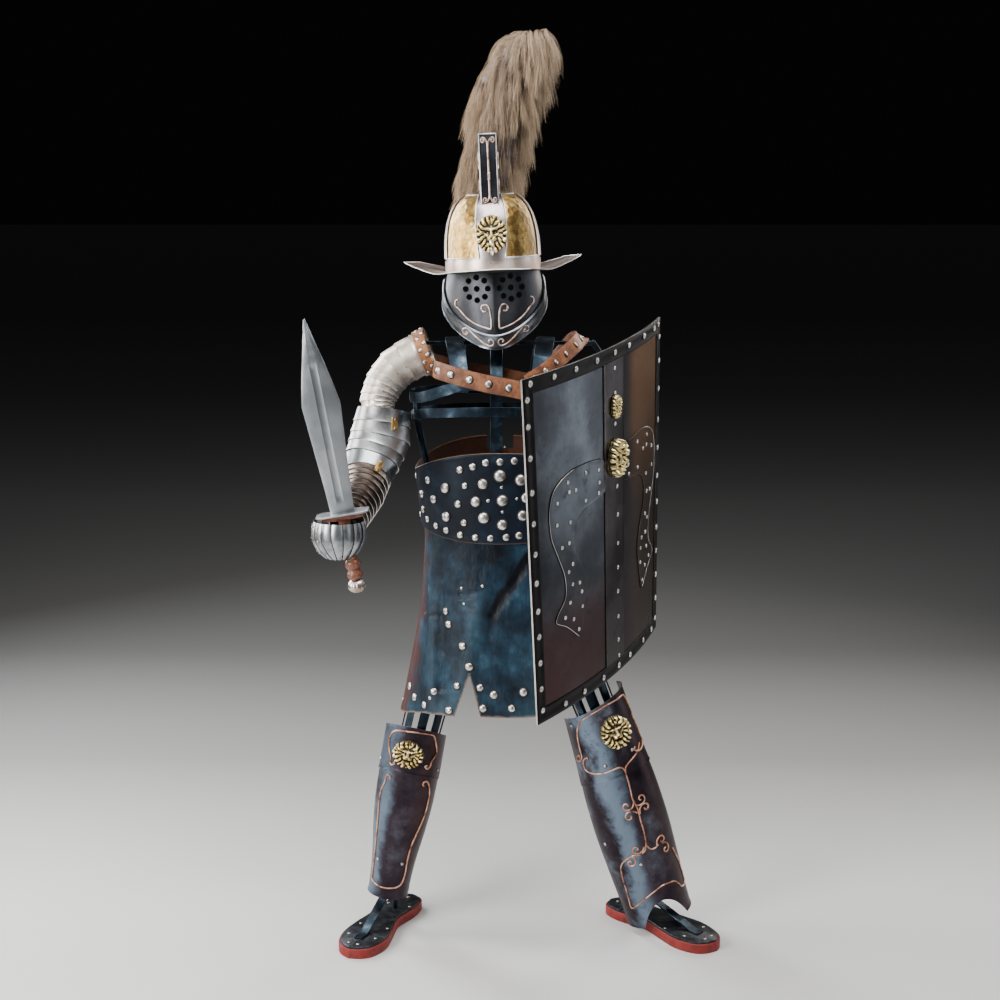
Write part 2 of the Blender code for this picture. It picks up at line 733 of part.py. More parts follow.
SKIRT_SECTIONS = [
    # height, middle x, half width, half depth
    (1.075, 0.000, 0.1840, 0.1455),
    (1.040, 0.000, 0.1825, 0.1440),
    (1.010, 0.000, 0.1780, 0.1430),
    (0.975, 0.001, 0.1785, 0.1445),
    (0.920, 0.003, 0.1830, 0.1490),
    (0.825, 0.010, 0.1960, 0.1560),
    (0.728, 0.018, 0.2190, 0.1620),
    (0.628, 0.026, 0.2470, 0.1700),
    (0.560, 0.030, 0.2660, 0.1760),
]
SKIRT_FOLDS = [
    # angle and height at the top, angle and height at the bottom, half width, depth (minus is a valley)
    (14, 0.930, -10, 0.780, 0.022, -0.011),
    (24, 0.900, 12, 0.640, 0.026, 0.009),
    (-12, 0.900, -22, 0.680, 0.028, 0.008),
    (-40, 0.960, -34, 0.700, 0.020, -0.007),
    (-64, 0.930, -58, 0.640, 0.022, 0.007),
    (-92, 0.840, -90, 0.640, 0.020, 0.003),
    (46, 0.950, 40, 0.620, 0.024, -0.009),
    (66, 0.900, 62, 0.600, 0.024, 0.009),
    (112, 0.930, 108, 0.620, 0.026, -0.009),
    (138, 0.900, 134, 0.600, 0.028, 0.010),
    (164, 0.950, 166, 0.620, 0.026, -0.010),
    (192, 0.900, 190, 0.600, 0.028, 0.010),
    (222, 0.950, 226, 0.640, 0.026, -0.009),
    (250, 0.900, 254, 0.620, 0.024, 0.008),
]


def fold_relief(angle, height):
    """How far the leather stands out or falls in at a place of the skirt."""
    total = 0.0
    degrees = math.degrees(angle)
    for top_turn, top, low_turn, low, half, depth in SKIRT_FOLDS:
        along = (top - height) / (top - low)
        if along < -0.15 or along > 1.6:
            continue
        middle = mix(top_turn, low_turn, along)
        away = (degrees - middle + 180) % 360 - 180
        across = math.radians(away) * 0.19 / half
        ends = min(1.0, max(0.0, (along + 0.15) / 0.4))
        total += depth * ends * math.exp(-across * across)
    return total


def skirt_point(angle, height, out=0.0):
    middle = from_table(SKIRT_SECTIONS, height, 1)
    half_width = from_table(SKIRT_SECTIONS, height, 2)
    half_depth = from_table(SKIRT_SECTIONS, height, 3)
    x, y = oval(angle, half_width + out, half_depth + out)
    free = min(1.0, max(0.0, (0.975 - height) / 0.06))
    outward = Vector((math.sin(angle), -math.cos(angle), 0.0))
    return Vector((x + middle, y, height)) + outward * fold_relief(angle, height) * free


def skirt_hem(angle):
    """Height of the hem: lowest at the wearer's right side, drawn up over the left thigh."""
    table = [
        (-180, 0.600), (-130, 0.576), (-90, 0.558), (-50, 0.584), (-20, 0.590), (0, 0.590),
        (22, 0.602), (45, 0.640), (65, 0.668), (110, 0.668), (150, 0.625), (180, 0.600),
    ]
    return from_table(table, (math.degrees(angle) + 180) % 360 - 180, 1)


def skirt_panel(name, start, end, cols, rows, figure):
    grid = []
    for share in spread(1.0, 0.0, rows):
        line = []
        for a in spread(start, end, cols):
            line.append(skirt_point(a, mix(1.072, skirt_hem(a), share)))
        grid.append(line)
    return sheet(name, grid, SKIRT_LEATHER, BLACK_LEATHER, figure)


def skirt(figure):
    seam = math.radians(97)
    slack = math.radians(0.35)
    front = skirt_panel("skirt_front", -seam, seam, 27, 12, figure)
    skirt_panel("skirt_back", seam + slack, math.tau - seam - slack, 17, 12, figure)
    slit = [Vector((-0.0715, 0.676)), Vector((-0.121, 0.560)), Vector((-0.044, 0.560))]
    bm = bmesh.new()
    near = [bm.verts.new((p.x, -0.25, p.y)) for p in slit]
    face = bm.faces.new(near)
    lifted = bmesh.ops.extrude_face_region(bm, geom=[face])
    far = [part for part in lifted["geom"] if isinstance(part, bmesh.types.BMVert)]
    bmesh.ops.translate(bm, verts=far, vec=(0, 0.17, 0))
    cut(front, piece("skirt_slit_cutter", bm, BLACK_LEATHER, figure))


# Harness of brown leather

HARNESS_WIDE = 0.040
TORSO_HALF = (0.2123, 0.1513)   # what the harness lies on


def torso_place(angle, height, out):
    """Point over the chest, drawn in above the collar bones."""
    draw = max(0.0, (height - 1.405) / 0.06)
    half_width = TORSO_HALF[0] - 0.020 * draw ** 2
    half_depth = TORSO_HALF[1] - 0.062 * draw ** 1.6
    x, y = oval(angle, half_width + out, half_depth + out)
    return Vector((x, y, height))


def torso_strap(name, stations, finish, figure, width=HARNESS_WIDE, thickness=LEATHER, steps=3):
    """Strap through stations given as angle in degrees, height and distance off the chest."""
    path = []
    outs = []
    rows = [(k, *row) for k, row in enumerate(stations)]
    count = (len(stations) - 1) * steps + 1
    for at in spread(0, len(stations) - 1, count):
        angle = math.radians(from_table(rows, at, 1))
        height = from_table(rows, at, 2)
        out = from_table(rows, at, 3)
        point = torso_place(angle, height, out + thickness)
        tilt = torso_place(angle, height + 0.004, out) - torso_place(angle, height - 0.004, out)
        beside = torso_place(angle + 0.02, height, out) - torso_place(angle - 0.02, height, out)
        path.append(point)
        outs.append(beside.cross(tilt))
    return strap(name, path, outs, width, thickness, finish, figure)


BODY_STATIONS = [
    # degrees from the front, height, distance off the chest
    (-54, 1.391, -0.037),
    (-44, 1.387, -0.012),
    (-33, 1.382, 0.0),
    (-12, 1.364, 0.0),
    (8, 1.345, 0.0),
    (32, 1.320, 0.0),
    (60, 1.290, 0.0),
    (92, 1.270, 0.0),
    (122, 1.290, 0.0),
    (150, 1.318, 0.0),
    (180, 1.345, 0.0),
    (208, 1.368, 0.0),
    (229, 1.386, 0.0),
]


def harness(figure):
    torso_strap("harness_body_strap", BODY_STATIONS, BROWN_LEATHER, figure)
    over = [
        Vector((0.062, -0.1600, 1.362)),
        Vector((0.102, -0.1500, 1.388)),
        Vector((0.140, -0.1220, 1.416)),
        Vector((0.172, -0.0780, 1.440)),
        Vector((0.186, -0.0300, 1.4493)),
        Vector((0.188, 0.0000, 1.4513)),
        Vector((0.186, 0.0300, 1.4493)),
        Vector((0.172, 0.0780, 1.438)),
        Vector((0.145, 0.1220, 1.402)),
        Vector((0.105, 0.1520, 1.360)),
        Vector((0.072, 0.1620, 1.335)),
    ]
    outs = []
    for point in over:
        lift = max(0.0, (point.z - 1.36) / 0.09)
        outs.append(Vector((point.x * 1.2, point.y * (1.25 - lift), 0.16 * lift)).normalized())
    outs[5] = Vector((0.15, 0.0, 1.0))
    strap("harness_left_shoulder_strap", over, outs, 0.036, LEATHER, BROWN_LEATHER, figure)
    outer = []
    inner = []
    over = spread(-160, 160, 19)
    for share in (1.0, 0.0, -1.0):
        top = []
        back = []
        for k, degrees in enumerate(over):
            from_end = min(k, len(over) - 1 - k)
            full = (0.45, 0.88, 1.0)[min(from_end, 2)]
            at = 0.26 + 0.36 * share * full
            turn = math.radians(degrees)
            top.append(arm_point(ARM_PATH, at, turn, STEEL * 2 + GAP * 4 + LEATHER))
            back.append(arm_point(ARM_PATH, at, turn, STEEL * 2 + GAP * 4))
        outer.append(top)
        inner.append(back)
    wall("harness_shoulder_collar", outer, inner, BROWN_LEATHER, figure)


# Shield

def shield_turn():
    yaw, lean, roll = SHIELD_TURN
    return (Matrix.Rotation(yaw, 3, "Z") @ Matrix.Rotation(lean, 3, "X") @ Matrix.Rotation(roll, 3, "Y"))


def shield_point(arc, down, out=0.0):
    """Point of the shield's face in its own frame: arc across it, down from its top edge."""
    radius = SHIELD_ARC / SHIELD_BEND
    angle = arc / radius
    share = 1.0 - SHIELD_TAPER * down / SHIELD_TALL
    x = (radius + out) * math.sin(angle) * share
    y = -((radius + out) * math.cos(angle) - radius * math.cos(SHIELD_BEND / 2)) * share
    return Vector((x, y, SHIELD_TALL / 2 - down))


def shield_grid(arcs, downs, out):
    """Rows go up, columns run from the wearer's right to left as seen from in front."""
    return [[shield_point(a, d, out) for a in arcs] for d in sorted(downs, reverse=True)]


def shield_place(middle_arc, middle_down):
    def place(across, up):
        arc = middle_arc + across
        down = middle_down - up
        point = shield_point(arc, down)
        return point, (shield_point(arc, down, 0.01) - point).normalized()
    return place


WING_OUTLINE = [
    # distance down, inner and outer edge of the riveted wing from the spine's middle
    (0.218, 0.120, 0.180),
    (0.226, 0.062, 0.214),
    (0.246, 0.050, 0.251),
    (0.277, 0.050, 0.266),
    (0.302, 0.050, 0.269),
    (0.314, 0.140, 0.268),
    (0.344, 0.178, 0.264),
    (0.390, 0.178, 0.243),
    (0.439, 0.148, 0.221),
    (0.485, 0.136, 0.221),
    (0.528, 0.145, 0.258),
    (0.548, 0.151, 0.222),
    (0.586, 0.163, 0.172),
]


def shield(figure):
    frame = frame_at("shield_frame", SHIELD_AT, shield_turn(), figure)
    half = SHIELD_ARC / 2
    arcs = spread(-half, half, 13)
    downs = spread(0.0, SHIELD_TALL, 5)
    sheet("shield_plate", shield_grid(arcs, downs, 0.0), SHIELD_PLATE, DARK_STEEL, frame)

    edge = half - SHIELD_RIM
    rim_arcs = [-half, -edge] + spread(-edge, edge, 11)[1:-1] + [edge, half]
    rim_downs = [0.0, SHIELD_RIM] + spread(SHIELD_RIM, SHIELD_TALL - SHIELD_RIM, 4)[1:-1]
    rim_downs += [SHIELD_TALL - SHIELD_RIM, SHIELD_TALL]
    rows = len(rim_downs) - 1
    cols = len(rim_arcs) - 1
    wall("shield_rim", shield_grid(rim_arcs, rim_downs, LAID + 0.0018),
         shield_grid(rim_arcs, rim_downs, LAID), DARK_STEEL, frame,
         keep=lambda i, j: i in (0, rows - 1) or j in (0, cols - 1))

    spine_downs = spread(SHIELD_RIM + 0.0005, SHIELD_TALL - SHIELD_RIM - 0.0005, 5)
    spine_arcs = spread(SPINE_AT - 0.048, SPINE_AT + 0.048, 4)
    wall("shield_spine", shield_grid(spine_arcs, spine_downs, LAID + 0.002),
         shield_grid(spine_arcs, spine_downs, LAID), DARK_STEEL, frame)

    for side, name in ((-1, "shield_wing_right"), (1, "shield_wing_left")):
        outer = []
        inner = []
        for down, near, far in reversed(WING_OUTLINE):
            across = [SPINE_AT + side * reach for reach in spread(near, far, 6)]
            across = across if side > 0 else across[::-1]
            outer.append([shield_point(a, down, LAID + 0.0023) for a in across])
            inner.append([shield_point(a, down, LAID + 0.0005) for a in across])
        wall(name, outer, inner, DARK_STEEL, frame)

    spine_face = 0.002 + LAID

    def on_spine(down):
        carrier = shield_place(SPINE_AT, down)

        def place(across, up):
            point, normal = carrier(across, up)
            return point + normal * spine_face, normal
        return place

    boss("shield_mask_small", on_spine(0.128), 0.026, 0.012, 8, BRASS, frame, squash=0.72)
    boss("shield_mask_large", on_spine(0.239), 0.043, 0.022, 10, BRASS, frame, squash=0.86)
    grip(frame)


def grip_depth(off):
    """How far behind the shield's frame a point lies that stands off the plate's back."""
    return shield_point(0.0, SHIELD_TALL * 0.5, -SHIELD_PLATE).y + LAID + off


def grip(frame):
    """Upright hand grip behind the shield's middle, standing off on two feet."""
    path = []
    for z, off in ((-0.080, 0.0035), (-0.062, 0.0035), (-0.050, 0.032), (-0.038, GRIP_OFF),
                   (0.038, GRIP_OFF), (0.050, 0.032), (0.062, 0.0035), (0.080, 0.0035)):
        path.append(Vector((0.0, grip_depth(off), z)))
    outs = []
    for k, point in enumerate(path):
        along = path[min(k + 1, len(path) - 1)] - path[max(k - 1, 0)]
        outs.append(Vector((1, 0, 0)).cross(along).normalized() * -1)
    strap("shield_grip", path, outs, 0.026, 0.003, BLUED_IRON, frame)


# Greaves

def leg_matrix(ankle, knee, turn):
    up = (knee - ankle).normalized()
    front = Vector((0, -1, 0))
    side = (-front).cross(up).normalized() * 1.0
    back = up.cross(side)
    basis = Matrix((side, back, up)).transposed()
    return Matrix.Translation(ankle) @ (basis @ Matrix.Rotation(turn, 3, "Z")).to_4x4()


RIGHT_SHIN = [
    # height over the ankle, half width, depth in front
    (0.000, 0.049, 0.058),
    (0.050, 0.050, 0.058),
    (0.110, 0.055, 0.064),
    (0.190, 0.065, 0.074),
    (0.270, 0.071, 0.080),
    (0.440, 0.071, 0.082),
]
LEFT_SHIN = [
    (-0.055, 0.082, 0.078),
    (0.020, 0.083, 0.080),
    (0.120, 0.088, 0.087),
    (0.220, 0.092, 0.093),
    (0.320, 0.090, 0.094),
    (0.420, 0.082, 0.090),
    (0.580, 0.074, 0.086),
]


def greave_point(table, angle, height, out=0.0):
    half_width = from_table(table, height, 1) + out
    depth = from_table(table, height, 2) + out
    x, y = oval(angle, half_width, depth, 2.0)
    if y > 0:
        y *= 0.7
    return Vector((x, y, height))


def greave_plate(name, table, wrap, low, high, rows, cols, frame, out=0.0):
    """Plate round the front of the leg: low and high give its edges by angle."""
    grid = []
    turns = spread(-wrap, wrap, cols)
    for share in spread(0.0, 1.0, rows):
        grid.append([greave_point(table, a, mix(low(a), high(a), share), out) for a in turns])
    return sheet(name, grid, STEEL, DARK_STEEL, frame)


def greave_boss(name, table, height, radius, tall, frame, out, squash=1.0):
    def place(across, up):
        half_width = from_table(table, height + up, 1) + out
        angle = math.asin(max(-1.0, min(1.0, across / half_width)))
        point = greave_point(table, angle, height + up, out)
        return point, (greave_point(table, angle, height + up, out + 0.01) - point).normalized()
    boss(name, place, radius, tall, 10, BRASS, frame, squash)


def greaves(figure, right, left):
    lap = STEEL + LAID
    wrap = math.radians(100)
    side = 2 / math.pi

    greave_plate("greave_right_shin", RIGHT_SHIN, wrap,
                 lambda a: 0.006 + 0.006 * math.cos(a),
                 lambda a: 0.372 - 0.030 * (abs(a) * side) ** 2, 6, 15, right)
    greave_plate("greave_right_knee", RIGHT_SHIN, wrap,
                 lambda a: 0.318 + 0.030 * math.cos(a),
                 lambda a: 0.430 + 0.033 * math.cos(a), 4, 15, right, lap)
    greave_boss("greave_right_mask", RIGHT_SHIN, 0.396, 0.035, 0.018, right, lap)

    def left_bottom(a):
        arch = math.cos(min(abs(a + 0.14) * 2.14, math.pi / 2))
        return mix(-0.022, 0.041, arch ** 0.8)

    greave_plate("greave_left_shin", LEFT_SHIN, wrap, left_bottom,
                 lambda a: 0.420 - 0.030 * (abs(a) * side) ** 2, 7, 17, left)
    greave_plate("greave_left_knee", LEFT_SHIN, wrap,
                 lambda a: 0.360 + 0.020 * math.cos(a),
                 lambda a: 0.550 + 0.017 * math.sin(a) + 0.014 * math.cos(a), 4, 17, left, lap)
    greave_boss("greave_left_mask", LEFT_SHIN, 0.486, 0.042, 0.020, left, lap, 0.86)


# Stand of iron straps

def hoop(name, half_width, half_depth, height, width, figure, centre=(0.0, 0.0), count=32):
    """Closed strap ring. height(angle) gives its middle line."""
    path = []
    outs = []
    for k in range(count):
        angle = math.tau * k / count
        x, y = oval(angle, half_width, half_depth)
        path.append(Vector((x + centre[0], y + centre[1], height(angle))))
        ahead = Vector(oval(angle + 0.05, half_width, half_depth))
        behind = Vector(oval(angle - 0.05, half_width, half_depth))
        run = ahead - behind
        outs.append(Vector((run.y, -run.x, 0.0)))
    return strap(name, path, outs, width, STRAP_IRON, BLUED_IRON, figure, around=True)


RING_UPPER = (0.2110, 0.1500)
RING_LOWER = (0.2070, 0.1500)
RING_WAIST = (0.1782, 0.1395)


SIDE_BAR = [
    # distance out, height
    (0.1970, 1.334), (0.1930, 1.290), (0.1930, 1.255), (0.1700, 1.150), (0.1636, 1.080), (0.1636, 1.035),
    (0.1500, 0.985), (0.1500, 0.934),
]


def upper_ring_height(angle):
    """Arched over each side of the chest, dipping at the breast bone."""
    front = max(0.0, math.cos(angle))
    return 1.316 + 0.050 * front ** 4 - 0.024 * front ** 60


def lower_ring_height(angle):
    return 1.270 + 0.024 * max(0.0, math.cos(angle))


def torso_frame(figure):
    hoop("stand_ring_upper", *RING_UPPER, upper_ring_height, 0.025, figure)
    hoop("stand_ring_lower", *RING_LOWER, lower_ring_height, 0.022, figure)
    hoop("stand_ring_waist", *RING_WAIST, lambda a: 1.055, 0.022, figure)

    inside = STRAP_IRON + 0.0015
    x = -0.008
    front = [
        Vector((x, -RING_WAIST[1] + inside, 1.042)),
        Vector((x, -RING_WAIST[1] + inside, 1.080)),
        Vector((x, -RING_LOWER[1] + inside, 1.200)),
        Vector((x, -RING_LOWER[1] + inside, 1.294)),
        Vector((x, -RING_UPPER[1] + inside, 1.350)),
        Vector((x, -0.118, 1.400)),
        Vector((x, -0.070, 1.432)),
        Vector((x, -0.0075, 1.4464)),
    ]
    outs = [Vector((0, -1, 0))] * 5 + [Vector((0, -1, 0.45)), Vector((0, -0.45, 1)), Vector((0, 0, 1))]
    strap("stand_front_post", front, outs, 0.028, STRAP_IRON, BLUED_IRON, figure)

    back = [Vector((x, RING_WAIST[1] - inside, z)) for z in (1.042, 1.080)]
    back += [Vector((x, RING_LOWER[1] - inside, z)) for z in (1.200, 1.294, 1.330)]
    back += [Vector((x, 0.118, 1.400)), Vector((x, 0.070, 1.440)), Vector((x, 0.050, 1.500))]
    back += [Vector((x, 0.046, 1.690)), Vector((x, 0.034, 1.742)), Vector((x, 0.000, 1.7798))]
    outs = [Vector((0, 1, 0))] * 5
    outs += [Vector((0, 1, 0.5)), Vector((0, 1, 0.9)), Vector((0, 1, 0.12)), Vector((0, 1, 0.05))]
    outs += [Vector((0, 1, 0.8)), Vector((0, 0.3, 1))]
    strap("stand_back_post", back, outs, 0.024, STRAP_IRON, BLUED_IRON, figure)

    for side, name in ((-1, "right"), (1, "left")):
        bar = [Vector((side * out, 0.0, z)) for out, z in SIDE_BAR]
        tube("stand_side_bar_" + name, bar, [0.009] * len(bar), 8, BLUED_IRON, figure)
        y, turned = oval_at(0.090, RING_UPPER, STRAP_IRON + 0.0028)
        over = [
            Vector((side * 0.090, -y, 1.336)),
            Vector((side * 0.090, -y, 1.374)),
            Vector((side * 0.096, -0.1080, 1.416)),
            Vector((side * 0.103, -0.0600, 1.4420)),
            Vector((side * 0.106, -0.0200, 1.4505)),
            Vector((side * 0.106, 0.0200, 1.4505)),
            Vector((side * 0.103, 0.0600, 1.4400)),
            Vector((side * 0.096, 0.1060, 1.398)),
            Vector((side * 0.090, y, 1.336)),
            Vector((side * 0.090, y, 1.309)),
        ]
        lean = [(turned.x, -turned.y, 0.0), (turned.x, -turned.y, 0.25)]
        lean += [(0.2, -0.85, 0.7), (0.1, -0.35, 1.0), (0.05, -0.08, 1.0)]
        lean += [(0.05, 0.08, 1.0), (0.1, 0.35, 1.0), (0.2, 0.9, 0.6)]
        lean += [(turned.x, turned.y, 0.2), (turned.x, turned.y, 0.0)]
        outs = [Vector((side * x, y_out, z)) for x, y_out, z in lean]
        strap("stand_shoulder_strap_" + name, over, outs, 0.040, 0.003, BLUED_IRON, figure)
    bar = [(-0.205, -0.009), (0.196, -0.009), (0.196, 0.009), (-0.205, 0.009)]
    stack("stand_shoulder_bar", [(1.4335, bar), (1.4415, bar)], BLUED_IRON, figure)


def leg_cage(name, hip, knee_middle, knee_radius, figure):
    """Thigh frame: eight straps between a ring at the hip and a ring at the knee."""
    count = 16

    def there(i, j):
        return i in (0, 3) or j % 2 == 0

    outer = []
    for share in (0.0, 0.06, 0.50, 0.95, 1.0):
        middle = knee_middle.lerp(hip[0], share)
        radius = mix(knee_radius, hip[1], min(1.0, share * 1.1))
        line = []
        for k in range(count):
            x, y = oval(math.tau * (k - 0.5) / count, radius, radius, 2.0)
            line.append(middle + Vector((x, y, 0.0)))
        outer.append(line)
    sheet(name, outer, 0.003, BLUED_IRON, figure, around=True, keep=there)


def leg_stand(side, matrix, hip, heel, toe, knee_height, ring_shift, ring_front, ring_radius, bar_start,
              figure):
    """Cage, shin post, foot sole with its coloured edge, and the bar over the foot."""
    ring_middle = matrix @ Vector((ring_shift, -(ring_front - ring_radius), knee_height))
    leg_cage("stand_thigh_cage_" + side, hip, ring_middle, ring_radius, figure)
    along = (toe - heel).normalized()
    across = Vector((-along.y, along.x))
    sole("foot_sole_" + side, heel, along, across, 1 if side == "right" else -1, figure)

    to_back = ring_radius * math.cos(math.pi / 16) - 0.003 - LAID - 0.0060
    ring_back = ring_middle + Vector((0.0, to_back, 0.0))
    foot = heel + along * 0.095
    post = [
        Vector((foot.x, foot.y, SOLE_THICK + PLATE + GAP)),
        Vector((foot.x, foot.y, 0.125)),
        Vector((mix(foot.x, ring_back.x, 0.45), mix(foot.y, ring_back.y, 0.45), 0.25)),
        Vector((ring_back.x, ring_back.y, ring_back.z - 0.030)),
        Vector((ring_back.x, ring_back.y, ring_back.z + 0.040)),
    ]
    tube("stand_shin_post_" + side, post, [0.006] * len(post), 8, BLUED_IRON, figure)

    start = foot + along * 0.0086
    end = heel + along * (SOLE_LONG * 0.86)
    low = SOLE_THICK + PLATE
    ramp = [
        Vector((start.x, start.y, bar_start)),
        Vector((mix(start.x, end.x, 0.25), mix(start.y, end.y, 0.25), bar_start * 0.82)),
        Vector((mix(start.x, end.x, 0.72), mix(start.y, end.y, 0.72), low + 0.016)),
        Vector((mix(start.x, end.x, 0.86), mix(start.y, end.y, 0.86), low + STRAP_IRON + GAP)),
        Vector((end.x, end.y, low + STRAP_IRON + GAP)),
    ]
    rise = Vector((along.x * 0.4, along.y * 0.4, 1.0))
    outs = [rise, rise, Vector((along.x * 0.3, along.y * 0.3, 1.0)), Vector((0, 0, 1)), Vector((0, 0, 1))]
    strap("stand_toe_bar_" + side, ramp, outs, 0.022, STRAP_IRON, BLUED_IRON, figure)


def sole_outline(heel, along, across, inner_side, spread_out):
    """Foot shape: round heel, waist hollowed on the inner side, wide ball and round toe."""
    table = [
        # share of the length, half width on the inner side, half width on the outer side
        (0.0, 0.0, 0.0), (0.03, 0.023, 0.023), (0.10, 0.036, 0.037), (0.22, 0.038, 0.041),
        (0.42, 0.029, 0.045), (0.60, 0.044, 0.052), (0.76, 0.056, 0.054), (0.90, 0.048, 0.040),
        (0.97, 0.028, 0.020), (1.0, 0.0, 0.0),
    ]
    right = []
    left = []
    for share, inner, outer in table:
        stretch = mix(-spread_out, SOLE_LONG + spread_out, share)
        middle = heel + along * stretch
        halves = (inner, outer) if inner_side < 0 else (outer, inner)
        wider = spread_out if inner else 0.0
        right.append(middle - across * (halves[0] + wider))
        if inner:
            left.append(middle + across * (halves[1] + wider))
    return [(p.x, p.y) for p in right + left[::-1]]


def sole(name, heel, along, across, inner_side, figure):
    """Foot plate on its thicker red-edged sole."""
    wide = sole_outline(heel, along, across, inner_side, 0.004)
    narrow = sole_outline(heel, along, across, inner_side, 0.0)
    stack(name, [(0.0, wide), (SOLE_THICK, wide), (SOLE_THICK, narrow), (SOLE_THICK + PLATE, narrow)],
          RED_RUBBER, figure)


def stand(figure, right, left):
    torso_frame(figure)
    leg_stand("right", right, (Vector((-0.080, 0.0, 0.9385)), 0.060), Vector((-0.223, 0.130)),
              Vector((-0.357, -0.177)), 0.385, 0.010, 0.0773, 0.048, 0.105, figure)
    leg_stand("left", left, (Vector((0.080, 0.0, 0.9385)), 0.060), Vector((0.280, 0.100)),
              Vector((0.511, -0.135)), 0.440, -0.004, 0.0889, 0.052, 0.085, figure)
    back = (shield_turn() @ Vector((0, 1, 0))).normalized()
    hold = SHIELD_AT + back * (grip_depth(GRIP_OFF) + LAID)
    rod = [
        Vector((0.1966, 0.0, 1.4375)),
        Vector((0.2150, 0.0, 1.4375)),
        Vector((0.238, 0.012, 1.405)),
        Vector((0.262, 0.030, 1.300)),
        Vector((0.270, 0.030, 1.215)),
        Vector((0.262, -0.030, 1.170)),
        Vector((0.238, -0.170, 1.130)),
        hold + back * 0.060,
        hold,
    ]
    tube("stand_shield_rod", rod, [0.0068] * len(rod), 8, BLUED_IRON, figure)


def main():
    figure = frame_at("figure", ORIGIN)
    right = leg_matrix(RIGHT_ANKLE, RIGHT_KNEE, RIGHT_TURN)
    left = leg_matrix(LEFT_ANKLE, LEFT_KNEE, LEFT_TURN)
    helmet(figure)
    arm_guard(figure)
    sword(figure)
    belt(figure)
    skirt(figure)
    harness(figure)
    shield(figure)
    right_frame = frame_at("right_greave_frame", right.translation, right.to_3x3(), figure)
    left_frame = frame_at("left_greave_frame", left.translation, left.to_3x3(), figure)
    greaves(figure, right_frame, left_frame)
    stand(figure, right, left)


main()
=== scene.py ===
"""Gladiator's armour on its iron-strap stand: worked detail, finishes, plume, light and camera.

Metres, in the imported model's own frame. The set faces -Y; the wearer's right side is at -X.
Every finer piece follows the same named sizes as the solid that it stands for.
"""

import bisect
import math
import random
from math import asin, atan2, copysign, cos, exp, hypot, pi, radians, sin, tau

import bmesh
import bpy
from mathutils import Matrix, Vector, noise


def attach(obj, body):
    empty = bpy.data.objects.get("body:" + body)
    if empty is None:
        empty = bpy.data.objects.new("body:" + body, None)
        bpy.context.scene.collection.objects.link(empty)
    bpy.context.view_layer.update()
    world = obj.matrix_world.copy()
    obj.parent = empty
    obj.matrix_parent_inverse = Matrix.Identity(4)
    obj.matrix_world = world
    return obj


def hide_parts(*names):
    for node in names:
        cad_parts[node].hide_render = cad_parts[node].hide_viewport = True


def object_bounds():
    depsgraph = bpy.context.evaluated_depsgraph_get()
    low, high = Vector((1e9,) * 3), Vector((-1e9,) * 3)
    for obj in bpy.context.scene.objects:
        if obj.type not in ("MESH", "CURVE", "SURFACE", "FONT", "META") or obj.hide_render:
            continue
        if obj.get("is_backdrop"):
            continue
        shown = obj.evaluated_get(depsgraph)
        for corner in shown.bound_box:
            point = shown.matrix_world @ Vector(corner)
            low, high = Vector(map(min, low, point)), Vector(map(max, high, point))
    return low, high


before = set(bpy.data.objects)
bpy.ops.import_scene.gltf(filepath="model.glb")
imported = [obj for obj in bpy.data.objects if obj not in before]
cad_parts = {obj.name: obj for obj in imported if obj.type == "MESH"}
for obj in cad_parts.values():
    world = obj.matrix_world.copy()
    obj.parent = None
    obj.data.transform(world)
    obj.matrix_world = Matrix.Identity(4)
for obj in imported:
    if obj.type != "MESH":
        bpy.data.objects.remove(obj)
CAD_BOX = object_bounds()

ORIGIN = Vector((-0.0533, 0.2509, 0.0))     # the figure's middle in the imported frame
STEEL = 0.0015
LAID = 0.0006
OVAL = 2.3
SHARP = 38      # degrees between faces that meet in a crisp edge

# Camera of the photograph, on a picture 1000 pixels wide
CAMERA_AT = Vector((0.0, -3.8, 1.75)) + ORIGIN
CAMERA_DOWN = radians(10.18)
FOCAL_PIXELS = 1640.0
SENSOR = 36.0

# Slit in the skirt's hem: its top, and the way its two edges run down from there
SLIT_APEX = Vector((-0.0703, 0.0, 0.6885))
SLIT_RUNS = [Vector((-0.0319, 0.0, -0.0915)), Vector((0.0232, 0.0, -0.0915))]


def new_object(name, data):
    made = bpy.data.objects.new(name, data)
    bpy.context.scene.collection.objects.link(made)
    return made


